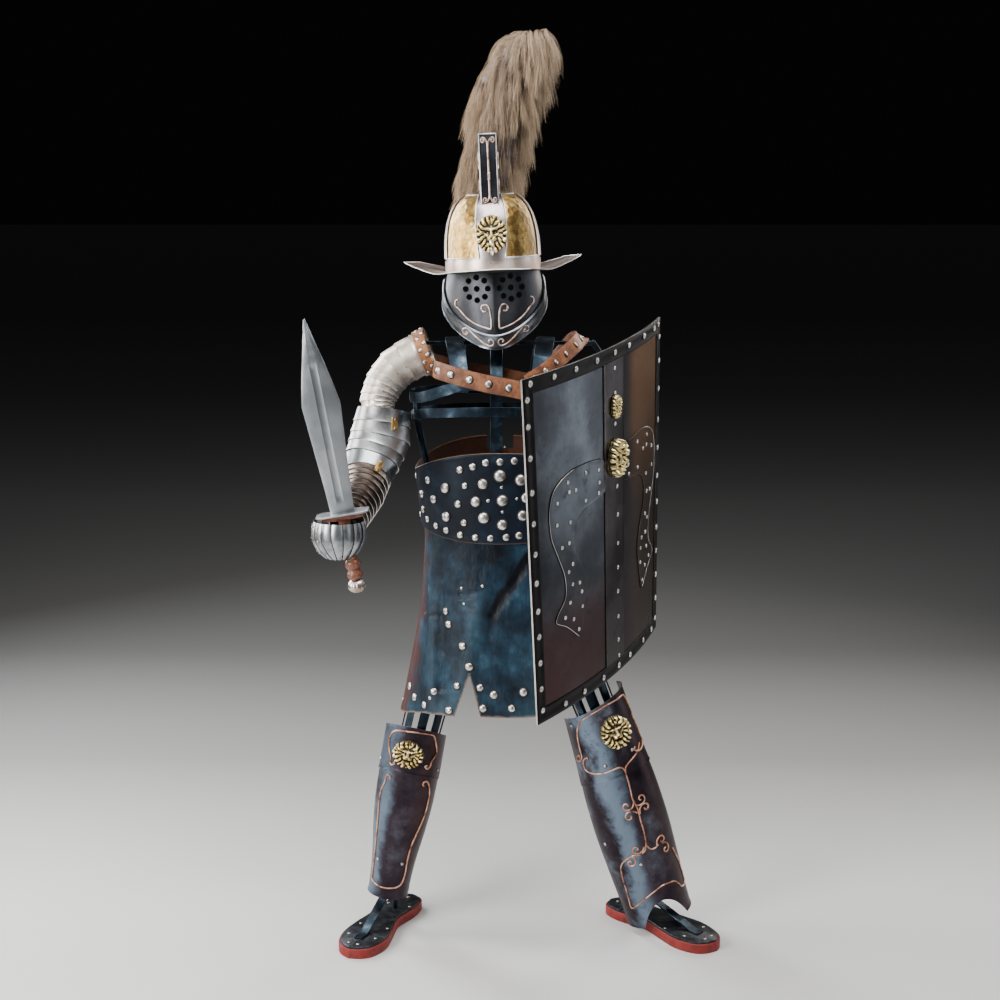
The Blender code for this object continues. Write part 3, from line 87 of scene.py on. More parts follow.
def camera_and_light():
    """Camera at the photograph's angle, a pale floor with painted shade behind the set, and soft lamps."""
    lens = bpy.data.cameras.new("photo_camera")
    lens.sensor_width = SENSOR
    lens.lens = FOCAL_PIXELS / 1000.0 * SENSOR
    lens.clip_end = 200.0
    camera = new_object("photo_camera", lens)
    camera.location = CAMERA_AT
    camera.rotation_euler = (pi / 2 - CAMERA_DOWN, 0.0, 0.0)
    bpy.context.scene.camera = camera

    middle = ORIGIN + Vector((0.0, 0.0, 1.1))
    lamps = [
        # name, place from the figure's middle, width, height, watts, colour
        ("key_left", (-2.4, -2.2, 0.8), 1.2, 2.0, 125, (1.0, 0.98, 0.95)),
        ("side_left", (-2.7, 0.3, 0.9), 0.9, 2.0, 70, (1.0, 0.96, 0.90)),
        ("fill_right", (2.3, -2.5, 0.6), 1.0, 2.2, 16, (0.93, 0.96, 1.0)),
        ("top", (0.1, -0.7, 2.5), 2.2, 1.8, 125, (1.0, 0.99, 0.97)),
        ("side_right", (2.7, 0.6, 0.4), 0.9, 2.2, 18, (0.90, 0.95, 1.0)),
        ("back_left", (-1.9, 2.0, 1.2), 0.9, 2.2, 90, (0.97, 0.98, 1.0)),
        ("back_right", (1.7, 2.1, 1.3), 0.7, 2.0, 34, (1.0, 0.94, 0.86)),
    ]
    for name, offset, wide, tall, watts, tint in lamps:
        light = bpy.data.lights.new(name, "AREA")
        light.shape = "RECTANGLE"
        light.size = wide
        light.size_y = tall
        light.energy = watts
        light.color = tint
        lamp = new_object(name, light)
        lamp.location = middle + Vector(offset)
        lamp.rotation_euler = (-Vector(offset)).to_track_quat("-Z", "Y").to_euler()
        lamp.visible_camera = False

    world = bpy.data.worlds.new("studio")
    bpy.context.scene.world = world
    world.use_nodes = True
    sky = Graph(world.node_tree)
    up = sky.add("ShaderNodeSeparateXYZ", None, {0: sky.add("ShaderNodeTexCoord", output="Generated")}, "Z")
    tone = sky.add("ShaderNodeValToRGB", {"stops": [
        (0.0, (0.002, 0.002, 0.002)), (0.14, (0.002, 0.002, 0.002)),
        (0.45, (0.030, 0.030, 0.032)), (1.0, (0.060, 0.060, 0.060)),
    ]}, {0: up})
    backdrop = world.node_tree.nodes["Background"]
    sky.put(backdrop.inputs["Color"], tone)

    half = 150.0
    mesh = bpy.data.meshes.new("pale_floor")
    corners = [(-half, -half, 0.0), (half, -half, 0.0), (half, half, 0.0), (-half, half, 0.0)]
    mesh.from_pydata(corners, [], [(0, 1, 2, 3)])
    mesh.materials.append(floor_with_painted_falloff())
    new_object("pale_floor", mesh)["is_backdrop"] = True


class Graph:
    """A node tree and the short way to add to it."""

    def __init__(self, tree):
        self.tree = tree

    def put(self, socket, value):
        if isinstance(value, Value):
            self.tree.links.new(value.socket, socket)
        elif socket.type == "RGBA":
            socket.default_value = (*value[:3], 1.0)
        else:
            socket.default_value = value

    def add(self, kind, settings=None, values=None, output=0):
        """Adds a node: its settings first, ramp stops among them, then what its sockets get."""
        node = self.tree.nodes.new(kind)
        for key, value in (settings or {}).items():
            if key == "stops":
                self.set_stops(node.color_ramp.elements, value)
            else:
                setattr(node, key, value)
        for key, value in (values or {}).items():
            self.put(node.inputs[key], value)
        return Value(self, node.outputs[output])

    def set_stops(self, elements, stops):
        while len(elements) < len(stops):
            elements.new(1.0)
        for element, (place, tone) in zip(elements, stops):
            element.position = place
            element.color = (*tone, 1.0) if hasattr(tone, "__len__") else (tone, tone, tone, 1.0)


class Value:
    """One socket, so that sums over it read as sums."""

    def __init__(self, graph, socket):
        self.graph = graph
        self.socket = socket

    def sum(self, operation, first, second=0.0):
        return self.graph.add("ShaderNodeMath", {"operation": operation}, {0: first, 1: second})

    def __add__(self, other):
        return self.sum("ADD", self, other)

    def __radd__(self, other):
        return self.sum("ADD", other, self)

    def __sub__(self, other):
        return self.sum("SUBTRACT", self, other)

    def __rsub__(self, other):
        return self.sum("SUBTRACT", other, self)

    def __mul__(self, other):
        return self.sum("MULTIPLY", self, other)

    def __truediv__(self, other):
        return self.sum("DIVIDE", self, other)

    def __abs__(self):
        return self.sum("ABSOLUTE", self)

    def above(self, low, high):
        """0 below low, 1 over high, smooth between. With low over high it falls instead."""
        return self.graph.add("ShaderNodeMapRange", {"interpolation_type": "SMOOTHSTEP"},
                              {0: self, 1: low, 2: high})


class Finish(Graph):
    """One procedural material in object coordinates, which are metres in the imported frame."""

    def __init__(self, name, roughness=0.5, metallic=0.0, **fixed):
        self.material = bpy.data.materials.new(name)
        self.material.use_nodes = True
        super().__init__(self.material.node_tree)
        self.shader = self.tree.nodes["Principled BSDF"]
        self.show(Roughness=roughness, Metallic=metallic, **fixed)
        self.place = self.add("ShaderNodeTexCoord", output="Object")

    def show(self, **values):
        for key, value in values.items():
            self.put(self.shader.inputs[key.replace("_", " ")], value)

    def axis(self, name, place=None):
        return self.add("ShaderNodeSeparateXYZ", None, {0: place or self.place}, name)

    def uv(self, name):
        """A share or length of the piece's own map."""
        return self.axis(name, self.add("ShaderNodeTexCoord", output="UV"))

    def mark(self, name):
        """What the mesh itself carries under a name."""
        return self.add("ShaderNodeAttribute", {"attribute_name": name}, None, "Fac")

    def along(self, direction, start):
        """Distance along a direction from a point."""
        from_start = self.add("ShaderNodeVectorMath", {"operation": "SUBTRACT"}, {0: self.place, 1: start})
        return self.add("ShaderNodeVectorMath", {"operation": "DOT_PRODUCT"},
                        {0: from_start, 1: direction}, "Value")

    def stretched(self, stretch, where=None):
        return self.add("ShaderNodeVectorMath", {"operation": "MULTIPLY"},
                        {0: where or self.place, 1: stretch})

    def clouds(self, scale, detail=4.0, rough=0.55, stretch=None, where=None):
        at = self.stretched(stretch, where) if stretch else (where or self.place)
        return self.add("ShaderNodeTexNoise", None,
                        {"Vector": at, "Scale": scale, "Detail": detail, "Roughness": rough})

    def cells(self, scale, stretch=None, kind="F1", smooth=None):
        at = self.stretched(stretch) if stretch else self.place
        values = {"Vector": at, "Scale": scale}
        if smooth is not None:
            values["Smoothness"] = smooth
        return self.add("ShaderNodeTexVoronoi", {"feature": kind}, values, "Distance")

    def tones(self, factor, *stops):
        return self.add("ShaderNodeValToRGB", {"stops": list(stops)}, {0: factor})

    def blend(self, factor, first, second):
        return self.add("ShaderNodeMix", {"data_type": "RGBA"}, {0: factor, 6: first, 7: second}, 2)

    def relief(self, height, distance, strength=1.0, over=None):
        values = {"Height": height, "Distance": distance, "Strength": strength}
        if over is not None:
            values["Normal"] = over
        return self.add("ShaderNodeBump", None, values)


# Finishes

def floor_with_painted_falloff():
    """Pale under the set, with painted shade that darkens it with the distance behind it."""
    finish = Finish("pale_studio_paper", roughness=0.62)
    mottle = finish.clouds(3.0, 3.0)
    # painted shade: the floor's colour darkens with distance behind the set, standing in for the lamps'
    # falloff
    away = finish.axis("Y") / 25 + 0.12
    tone = finish.tones(away + (mottle - 0.5) * 0.004, (0.135, 0.64), (0.180, 0.28), (0.232, 0.14),
                        (0.368, 0.20), (0.60, 0.08), (1.0, 0.02))
    finish.show(Base_Color=tone, Normal=finish.relief(finish.clouds(240.0, 2.0), 0.0004, 0.2))
    return finish.material


def worked_steel(name, dark, light, roughness=0.32, brush=(40, 40, 500), brushed=0.25, specks=0.0,
                 speck_tone=(0.06, 0.03, 0.02), dents=0.0, clouds=7.0, polish=0.16, satin=0.0):
    """Hand-worked plate: slow clouds of tone, brushed grain, smudges, dark specks and shallow dents."""
    finish = Finish(name, metallic=1.0 - satin)
    drift = finish.clouds(clouds, 5.0, 0.6)
    smudge = finish.clouds(clouds * 5.5, 4.0, 0.6)
    tone = finish.blend(drift.above(0.36, 0.64), dark, light)
    tone = finish.blend(smudge.above(0.52, 0.75) * 0.45, tone, dark)
    rough = roughness - polish / 2 + drift * polish + smudge.above(0.45, 0.8) * 0.12
    if specks:
        spots = finish.clouds(170.0, 3.0, 0.7).above(0.70 - specks * 0.08, 0.74 - specks * 0.06)
        spots = spots * smudge.above(0.42, 0.60)
        tone = finish.blend(spots, tone, speck_tone)
        rough = rough + spots * 0.3
        finish.show(Metallic=(1.0 - spots * 0.7) * (1.0 - satin))
    grain = finish.clouds(1.0, 3.0, 0.7, stretch=brush)
    surface = finish.relief(grain, 0.0002, brushed)
    if dents:
        hollows = finish.cells(46.0, kind="SMOOTH_F1", smooth=0.6)
        surface = finish.relief(hollows, 0.004, dents, surface)
    finish.show(Base_Color=tone, Roughness=rough, Normal=surface)
    return finish.material


def hammered_brass():
    """Crackled gold brass with shallow round hammer marks, and painted shade that makes it browner to the
    wearer's left.
    """
    finish = Finish("hammered_brass", metallic=1.0)
    drift = finish.clouds(30.0, 5.0, 0.7)
    tone = finish.tones(drift, (0.32, (0.26, 0.15, 0.04)), (0.50, (0.54, 0.34, 0.10)),
                        (0.68, (0.86, 0.62, 0.24)))
    # painted shade: browner and darker towards the wearer's left, the side away from the light
    side = finish.along((1.0, 0.0, 0.0), (ORIGIN.x, 0.0, 0.0)).above(-0.04, 0.10)
    tone = finish.blend(side * 0.65, tone, (0.17, 0.105, 0.045))
    crackle = finish.cells(170.0, kind="DISTANCE_TO_EDGE").above(0.09, 0.0)
    tone = finish.blend(crackle * 0.6, tone, (0.16, 0.09, 0.03))
    marks = finish.relief(finish.cells(80.0, kind="SMOOTH_F1", smooth=0.5), 0.0030, 0.5)
    marks = finish.relief(finish.clouds(210.0, 3.0), 0.0006, 0.5, marks)
    finish.show(Base_Color=tone, Roughness=0.30 + drift * 0.16, Normal=marks)
    return finish.material


def cast_gold():
    """Cast brass masks: bright on the crests, dark green-brown in the recesses from patina and painted shade.
    """
    finish = Finish("cast_gold", metallic=1.0)
    recess = finish.mark("recess")
    grime = finish.clouds(160.0, 4.0, 0.6)
    # recess darkening: patina in the hollows and painted shade
    deep = (recess + (grime - 0.5) * 0.25).above(0.28, 0.56)
    tone = finish.blend(grime.above(0.35, 0.7), (0.95, 0.80, 0.42), (0.72, 0.54, 0.20))
    finish.show(Base_Color=finish.blend(deep, tone, (0.030, 0.022, 0.012)),
                Metallic=1.0 - deep * 0.7, Roughness=0.30 + deep * 0.35,
                Normal=finish.relief(grime, 0.0004, 0.3))
    return finish.material


def copper_bead(name, dark, warm, light):
    """Round copper wire, dulled to brown in places."""
    finish = Finish(name, metallic=1.0)
    drift = finish.clouds(60.0, 4.0, 0.65)
    tone = finish.tones(drift, (0.32, dark), (0.48, warm), (0.68, light))
    finish.show(Base_Color=tone, Roughness=0.30 + drift * 0.2,
                Normal=finish.relief(finish.clouds(420.0, 2.0), 0.0006, 0.5))
    return finish.material


def stud_silver(name, light, dark):
    """Domed white metal, rubbed unevenly."""
    finish = Finish(name, metallic=1.0)
    drift = finish.clouds(110.0, 3.0, 0.6)
    finish.show(Base_Color=finish.blend(drift.above(0.40, 0.66), light, dark), Roughness=0.22 + drift * 0.25,
                Normal=finish.relief(drift, 0.0006, 0.4))
    return finish.material


def stud_shadow():
    """Grime and burnt leather that ring each stud, darkened further as a painted shadow round its dome."""
    finish = Finish("stud_grime", roughness=0.7)
    drift = finish.clouds(240.0, 3.0, 0.6)
    finish.show(Base_Color=finish.blend(drift, (0.008, 0.007, 0.007), (0.045, 0.025, 0.018)),
                Normal=finish.relief(drift, 0.0006, 0.5))
    return finish.material


def black_leather(name, slit=False):
    """Oiled blue-black hide: mottled, with painted teal highlights on the fold ridges and painted shade in
    the fold valleys, worn pale brown at its edges.
    """
    finish = Finish(name, Specular_IOR_Level=0.20, Coat_Roughness=0.30)
    turn, height = finish.uv("X"), finish.uv("Y")
    mottle = finish.clouds(13.0, 6.0, 0.62)
    grime = finish.clouds(46.0, 5.0, 0.65)
    tone = finish.tones(mottle, (0.32, (0.0025, 0.0050, 0.0095)), (0.48, (0.0070, 0.019, 0.034)),
                        (0.60, (0.014, 0.042, 0.070)), (0.76, (0.048, 0.105, 0.145)))
    tone = finish.blend(grime.above(0.50, 0.74) * 0.5, tone, (0.008, 0.008, 0.013))
    fold = finish.mark("fold")
    # painted highlight on the fold ridges and painted shade in the fold valleys
    tone = finish.blend(fold.above(0.15, 1.0) * 0.35, tone, (0.060, 0.125, 0.165))
    tone = finish.blend(fold.above(-0.12, -0.85) * 0.92, tone, (0.0012, 0.0016, 0.0030))
    ragged = (grime - 0.5) * 0.012
    worn = (height + ragged).above(0.006, 0.0005)
    if slit:
        drifted = turn + (mottle - 0.5) * 0.10
        reddish = drifted.above(-0.17, -0.23) * drifted.above(-0.275, -0.235)
        tone = finish.blend(reddish * 0.75, tone, (0.085, 0.030, 0.022))
        apex = ORIGIN + SLIT_APEX
        low = finish.axis("Z").above(SLIT_APEX.z + 0.006, SLIT_APEX.z)
        for run in SLIT_RUNS:
            across = Vector((run[2], 0.0, -run[0])).normalized()
            side = (abs(finish.along(across, apex)) + ragged).above(0.005, 0.001)
            worn = worn.sum("MAXIMUM", worn, side * low)
    tone = finish.blend(worn * (0.35 + grime * 0.5), tone, (0.26, 0.18, 0.13))
    pores = finish.cells(620.0)
    surface = finish.relief(pores, 0.0005, 0.30)
    surface = finish.relief(finish.clouds(75.0, 5.0, 0.6), 0.0022, 0.55, surface)
    surface = finish.relief(finish.clouds(9.0, 4.0, 0.6, stretch=(2.0, 2.0, 0.7)), 0.014, 0.45, surface)
    finish.show(Base_Color=tone, Roughness=0.34 + grime * 0.22 + worn * 0.25, Normal=surface,
                Coat_Weight=0.06 - worn * 0.06)
    return finish.material


def suede():
    """Red-brown flesh side of the belt's hide."""
    finish = Finish("belt_suede", roughness=0.85, Sheen_Weight=0.2)
    drift = finish.clouds(40.0, 5.0, 0.65)
    finish.show(Base_Color=finish.blend(drift, (0.045, 0.016, 0.010), (0.20, 0.085, 0.050)),
                Normal=finish.relief(finish.clouds(420.0, 3.0), 0.0006, 0.5))
    return finish.material


def dark_inside():
    """Near-black, rough inner side of the helmet's plates."""
    finish = Finish("dark_inside", roughness=0.75)
    drift = finish.clouds(40.0, 3.0)
    finish.show(Base_Color=finish.blend(drift, (0.004, 0.004, 0.005), (0.012, 0.010, 0.010)),
                Normal=finish.relief(drift, 0.0006, 0.3))
    return finish.material


def belt_leather():
    """The belt's thicker navy hide with its tan-brown rolled edges."""
    finish = Finish("belt_leather", Specular_IOR_Level=0.2, Coat_Roughness=0.35)
    share = finish.uv("Y")
    mottle = finish.clouds(24.0, 5.0, 0.6)
    grime = finish.clouds(80.0, 4.0, 0.65)
    tone = finish.tones(mottle, (0.34, (0.002, 0.0040, 0.009)), (0.60, (0.005, 0.011, 0.022)),
                        (0.80, (0.018, 0.034, 0.054)))
    edge = (abs(share - 0.5) + (grime - 0.5) * 0.03).above(0.455, 0.482)
    tone = finish.blend(edge * 0.9, tone, finish.blend(mottle, (0.10, 0.045, 0.022), (0.34, 0.19, 0.10)))
    surface = finish.relief(finish.cells(560.0), 0.0005, 0.3)
    surface = finish.relief(finish.clouds(60.0, 4.0), 0.002, 0.35, surface)
    finish.show(Base_Color=tone, Roughness=0.34 + grime * 0.25 + edge * 0.15, Normal=surface,
                Coat_Weight=0.05 - edge * 0.05)
    return finish.material


def harness_leather(name, dark, light):
    """Vegetable-tanned strap: orange brown in the middle, darker and polished at the edges."""
    finish = Finish(name, Specular_IOR_Level=0.5)
    share = finish.uv("Y")
    drift = finish.clouds(34.0, 5.0, 0.62)
    fine = finish.clouds(160.0, 4.0, 0.6)
    tone = finish.blend((drift * 0.7 + fine * 0.3).above(0.38, 0.62), dark, light)
    edge = (abs(share - 0.5) + (fine - 0.5) * 0.05).above(0.40, 0.49)
    tone = finish.blend(edge * 0.8, tone, (dark[0] * 0.35, dark[1] * 0.3, dark[2] * 0.3))
    crease = finish.clouds(1.0, 4.0, 0.6, stretch=(120, 120, 30))
    surface = finish.relief(finish.cells(700.0), 0.0004, 0.3)
    surface = finish.relief(crease, 0.001, 0.4, surface)
    finish.show(Base_Color=tone, Roughness=0.40 + fine * 0.2, Normal=surface)
    return finish.material


def stand_iron():
    """Blued strap iron: dark steel blue, rubbed bright in patches, brown where it has rusted."""
    finish = Finish("blued_strap_iron")
    drift = finish.clouds(17.0, 5.0, 0.62)
    fine = finish.clouds(90.0, 4.0, 0.65)
    tone = finish.tones(drift, (0.34, (0.006, 0.009, 0.014)), (0.52, (0.016, 0.028, 0.042)),
                        (0.64, (0.06, 0.090, 0.120)), (0.78, (0.32, 0.38, 0.43)))
    rust = fine.above(0.62, 0.76) * drift.above(0.55, 0.40)
    tone = finish.blend(rust * 0.6, tone, (0.055, 0.022, 0.012))
    finish.show(Base_Color=tone, Metallic=0.9 - rust * 0.7, Roughness=0.30 + fine * 0.2 + rust * 0.3,
                Normal=finish.relief(fine, 0.0008, 0.4))
    return finish.material


def grip_wood():
    """Red-brown turned hardwood with a dull wax shine and grain along the grip."""
    finish = Finish("grip_wood", Coat_Weight=0.3, Coat_Roughness=0.25)
    grain = finish.clouds(1.0, 5.0, 0.65, stretch=(420, 420, 36))
    drift = finish.clouds(55.0, 3.0)
    tone = finish.tones(grain * 0.6 + drift * 0.4, (0.36, (0.050, 0.014, 0.008)),
                        (0.50, (0.17, 0.050, 0.026)), (0.66, (0.34, 0.13, 0.07)))
    finish.show(Base_Color=tone, Roughness=0.34 + grain * 0.2, Normal=finish.relief(grain, 0.0006, 0.35))
    return finish.material


def sole_layers():
    """Red rubber edge below, dark rubbed foot plate on top."""
    finish = Finish("sole_layers")
    height = finish.axis("Z")
    plate = height.above(0.0236, 0.0242)
    scuff = finish.clouds(60.0, 5.0, 0.65)
    red = finish.blend(scuff.above(0.45, 0.72), (0.23, 0.014, 0.010), (0.12, 0.010, 0.008))
    iron = finish.tones(scuff, (0.35, (0.010, 0.011, 0.014)), (0.60, (0.045, 0.050, 0.058)),
                        (0.80, (0.16, 0.15, 0.15)))
    finish.show(Base_Color=finish.blend(plate, red, iron), Metallic=plate * 0.8,
                Roughness=0.55 - plate * 0.2 + scuff * 0.15, Normal=finish.relief(scuff, 0.0012, 0.4))
    return finish.material


def plume_feather():
    """Undyed ostrich: cream tips, brown roots, each barb a little off its neighbour."""
    finish = Finish("plume_barbs", roughness=0.62, Specular_IOR_Level=0.3, Sheen_Weight=0.1,
                    Sheen_Roughness=0.4)
    shade = finish.mark("shade")
    reach = finish.mark("reach")
    drift = finish.clouds(26.0, 3.0)
    tip = finish.blend(shade, (0.19, 0.125, 0.080), (0.64, 0.48, 0.32))
    root = finish.blend(shade, (0.036, 0.020, 0.013), (0.17, 0.115, 0.078))
    tone = finish.blend(reach.above(0.0, 0.5), root, tip)
    finish.show(Base_Color=finish.blend(drift.above(0.55, 0.72) * 0.55, tone, (0.20, 0.13, 0.09)))
    return finish.material


def plume_down():
    """The plume's close inner feather, grey-mauve on its smooth side, with painted shade in the grooves
    between its ribs.
    """
    finish = Finish("plume_down", roughness=0.8, Sheen_Weight=0.15)
    ribs = finish.clouds(1.0, 4.0, 0.6, stretch=(260, 260, 20))
    drift = finish.clouds(14.0, 4.0)
    tone = finish.blend(drift.above(0.35, 0.65), (0.16, 0.12, 0.105), (0.30, 0.24, 0.20))
    # painted shade: darker in the grooves between the ribs
    groove = finish.blend(drift, (0.045, 0.030, 0.025), (0.11, 0.08, 0.066))
    tone = finish.blend(ribs.above(0.42, 0.60), groove, tone)
    finish.show(Base_Color=tone, Normal=finish.relief(ribs, 0.003, 0.7))
    return finish.material


def shield_steel():
    """Patinated plate: blue-grey to the left, red-brown low down, bronze by the far edge, brightened there as
    a painted highlight.
    """
    finish = Finish("shield_patina", metallic=1.0)
    arc, down = finish.uv("X"), finish.uv("Y")
    drift = finish.clouds(6.0, 6.0, 0.6)
    smudge = finish.clouds(28.0, 5.0, 0.65)
    wander = (drift - 0.5) * 0.9
    tone = finish.tones(drift, (0.32, (0.022, 0.024, 0.029)), (0.50, (0.050, 0.054, 0.063)),
                        (0.68, (0.125, 0.138, 0.158)))
    middle = (arc + wander * 0.04).above(-0.06, 0.04)
    tone = finish.blend(middle * 0.7, tone, (0.036, 0.026, 0.025))
    low = (down + wander * 0.25).above(0.44, 0.60) * (arc - wander * 0.2).above(0.20, -0.06)
    tone = finish.blend(low * 0.85, tone, (0.050, 0.017, 0.017))
    # bronze patina by the far edge, brightened near its top as a painted highlight strip
    far = (arc + wander * 0.05).above(0.07, 0.15)
    tone = finish.blend(far * 0.6, tone, (0.13, 0.092, 0.072))
    bronze_and_painted_highlight = far * (down + wander * 0.25).above(0.42, 0.10)
    tone = finish.blend(bronze_and_painted_highlight * 0.85, tone, (0.34, 0.18, 0.095))
    stain = smudge.above(0.56, 0.74)
    tone = finish.blend(stain * 0.5, tone, (0.014, 0.011, 0.011))
    grain = finish.clouds(1.0, 4.0, 0.7, stretch=(170, 170, 9))
    surface = finish.relief(grain, 0.0004, 0.35)
    surface = finish.relief(finish.clouds(5.0, 3.0), 0.010, 0.25, surface)
    finish.show(Base_Color=tone, Roughness=0.27 + drift * 0.16 + stain * 0.12 + (grain - 0.5) * 0.12,
                Normal=surface)
    return finish.material


def greave_patina(name, leg):
    """Brown, purple and black heat patina, with a painted blue-silver sheen on the side towards the light and
    painted shade on the other.
    """
    finish = Finish(name, metallic=1.0)
    drift = finish.clouds(11.0, 6.0, 0.62)
    smudge = finish.clouds(48.0, 5.0, 0.65)
    tone = finish.tones(drift, (0.34, (0.020, 0.014, 0.018)), (0.52, (0.040, 0.030, 0.040)),
                        (0.64, (0.075, 0.072, 0.092)), (0.80, (0.26, 0.30, 0.38)))
    across = finish.along(leg.to_3x3() @ Vector((1, 0, 0)), leg.translation) + (drift - 0.5) * 0.10
    # painted sheen: blue-silver band on the side that faces the light
    painted_sheen_band = across.above(-0.015, -0.050) * across.above(-0.085, -0.060)
    tone = finish.blend(painted_sheen_band * 0.75, tone, (0.20, 0.27, 0.36))
    # painted shade: darker brown on the side away from the light
    tone = finish.blend(across.above(0.020, 0.055) * 0.6, tone, (0.050, 0.022, 0.020))
    tone = finish.blend(smudge.above(0.54, 0.76) * 0.6, tone, (0.018, 0.011, 0.013))
    grain = finish.clouds(1.0, 3.0, 0.7, stretch=(230, 230, 26))
    surface = finish.relief(grain, 0.0003, 0.3)
    surface = finish.relief(finish.clouds(34.0, 3.0), 0.003, 0.3, surface)
    finish.show(Base_Color=tone, Roughness=0.28 + drift * 0.2 + smudge * 0.08, Normal=surface)
    return finish.material


class Finishes:
    """All finishes, made once."""

    def __init__(self):
        self.visor = worked_steel("visor_steel", (0.038, 0.039, 0.045), (0.086, 0.090, 0.102), 0.42,
                                  (500, 500, 40), 0.2, 0.25)
        self.guard = worked_steel("cheek_guard_steel", (0.13, 0.145, 0.165), (0.33, 0.37, 0.42), 0.30,
                                  (500, 500, 40), 0.2)
        self.crown = worked_steel("crown_band_steel", (0.38, 0.33, 0.33), (0.64, 0.58, 0.58), 0.34,
                                  (60, 60, 500), 0.25, 0.9, (0.13, 0.050, 0.028), dents=0.15)
        self.brim = worked_steel("brim_steel", (0.44, 0.35, 0.31), (0.72, 0.62, 0.56), 0.36,
                                 (60, 500, 60), 0.3, 0.6)
        self.lame = worked_steel("lame_steel", (0.70, 0.62, 0.54), (0.96, 0.89, 0.81), 0.36,
                                 (500, 60, 60), 0.25, 0.35, polish=0.12, satin=0.35)
        self.elbow = worked_steel("elbow_steel", (0.22, 0.22, 0.225), (0.52, 0.53, 0.55), 0.33,
                                  (500, 60, 60), 0.25, 0.3)
        self.forearm = worked_steel("forearm_steel", (0.18, 0.195, 0.21), (0.37, 0.40, 0.43), 0.30,
                                    (500, 60, 60), 0.15, 0.2)
        self.wrist = worked_steel("wrist_steel", (0.065, 0.046, 0.038), (0.20, 0.155, 0.13), 0.32,
                                  (500, 60, 60), 0.2)
        self.edge = worked_steel("filed_edge", (0.55, 0.53, 0.51), (0.86, 0.83, 0.80), 0.32)
        self.fist = worked_steel("gauntlet_steel", (0.22, 0.235, 0.25), (0.46, 0.48, 0.50), 0.34,
                                 (60, 60, 500), 0.25, 0.3, clouds=20.0)
        self.blade = worked_steel("blade_steel", (0.33, 0.36, 0.385), (0.47, 0.50, 0.53), 0.36,
                                  (900, 900, 30), 0.35, 0.15)
        self.pommel = worked_steel("pommel_steel", (0.34, 0.20, 0.13), (0.72, 0.69, 0.66), 0.30,
                                   clouds=34.0)
        self.crest = worked_steel("crest_box_steel", (0.050, 0.056, 0.068), (0.13, 0.14, 0.165), 0.38,
                                  (60, 60, 400), 0.3)
        self.trim = worked_steel("shield_trim_steel", (0.007, 0.0055, 0.006), (0.018, 0.015, 0.015), 0.46,
                                 (170, 170, 12), 0.35)
        self.spine = worked_steel("shield_spine_steel", (0.026, 0.021, 0.021), (0.066, 0.056, 0.058), 0.32,
                                  (170, 170, 12), 0.35)
        # painted shadow: dark steel for the thin wires that stand for the shade in the gaps between plates
        self.seam = worked_steel("plate_seam_shadow", (0.010, 0.008, 0.008), (0.030, 0.024, 0.022), 0.6)
        self.inside = dark_inside()
        self.suede = suede()
        self.brass = hammered_brass()
        self.gold = cast_gold()
        self.copper = copper_bead("copper_bead", (0.15, 0.055, 0.035), (0.58, 0.28, 0.18),
                                  (0.88, 0.58, 0.44))
        self.face_copper = copper_bead("pale_copper_scroll", (0.28, 0.17, 0.14), (0.62, 0.45, 0.37),
                                       (0.88, 0.74, 0.65))
        self.silver = stud_silver("stud_silver", (0.80, 0.79, 0.76), (0.42, 0.40, 0.37))
        self.rivet = stud_silver("rivet_steel", (0.60, 0.57, 0.53), (0.26, 0.23, 0.21))
        # grime and painted shadow ring round each stud
        self.grime = stud_shadow()
        self.skirt = black_leather("skirt_leather", slit=True)
        self.skirt_back = black_leather("skirt_back_leather")
        self.belt = belt_leather()
        self.harness = harness_leather("chest_strap_leather", (0.13, 0.045, 0.022), (0.30, 0.12, 0.055))
        self.collar = harness_leather("collar_leather", (0.20, 0.070, 0.026), (0.42, 0.17, 0.065))
        self.iron = stand_iron()
        self.wood = grip_wood()
        self.sole = sole_layers()
        self.barbs = plume_feather()
        self.down = plume_down()
        self.shield = shield_steel()
        self.greave_right = greave_patina("greave_patina_right", RIGHT_LEG)
        self.greave_left = greave_patina("greave_patina_left", LEFT_LEG)


# Shapes

def mix(a, b, t):
    return a + (b - a) * t


def spread(start, end, count):
    return [mix(start, end, k / (count - 1)) for k in range(count)]


def full_turn(count):
    return [tau * k / count for k in range(count)]


def held(value, low=0.0):
    """The value, kept between low and 1."""
    return max(low, min(1.0, value))


def from_table(table, key, column):
    """Value of a column at a key, straight between the table's rows."""
    if key <= table[0][0]:
        return table[0][column]
    for low, high in zip(table, table[1:]):
        if key <= high[0]:
            return mix(low[column], high[column], (key - low[0]) / (high[0] - low[0]))
    return table[-1][column]


def smooth_table(table, key, column):
    """Value of a column at a key, on a smooth curve through the table's rows, which rise by key."""
    keys = [row[0] for row in table]
    if key <= keys[0]:
        return table[0][column]
    if key >= keys[-1]:
        return table[-1][column]
    k = bisect.bisect_right(keys, key) - 1
    low, high = table[k], table[k + 1]
    span = high[0] - low[0]
    t = (key - low[0]) / span
    before = table[max(k - 1, 0)]
    after = table[min(k + 2, len(table) - 1)]
    start = (high[column] - before[column]) / (high[0] - before[0]) * span
    end = (after[column] - low[column]) / (after[0] - low[0]) * span
    return ((2 * t ** 3 - 3 * t ** 2 + 1) * low[column] + (t ** 3 - 2 * t ** 2 + t) * start
            + (3 * t ** 2 - 2 * t ** 3) * high[column] + (t ** 3 - t ** 2) * end)


def curve_through(points, steps):
    """Points on a smooth curve through a short list of points or tuples."""
    rows = [(k, *point) for k, point in enumerate(points)]
    last = len(points) - 1
    columns = range(1, len(rows[0]))
    return [tuple(smooth_table(rows, at, c) for c in columns) for at in spread(0, last, last * steps + 1)]


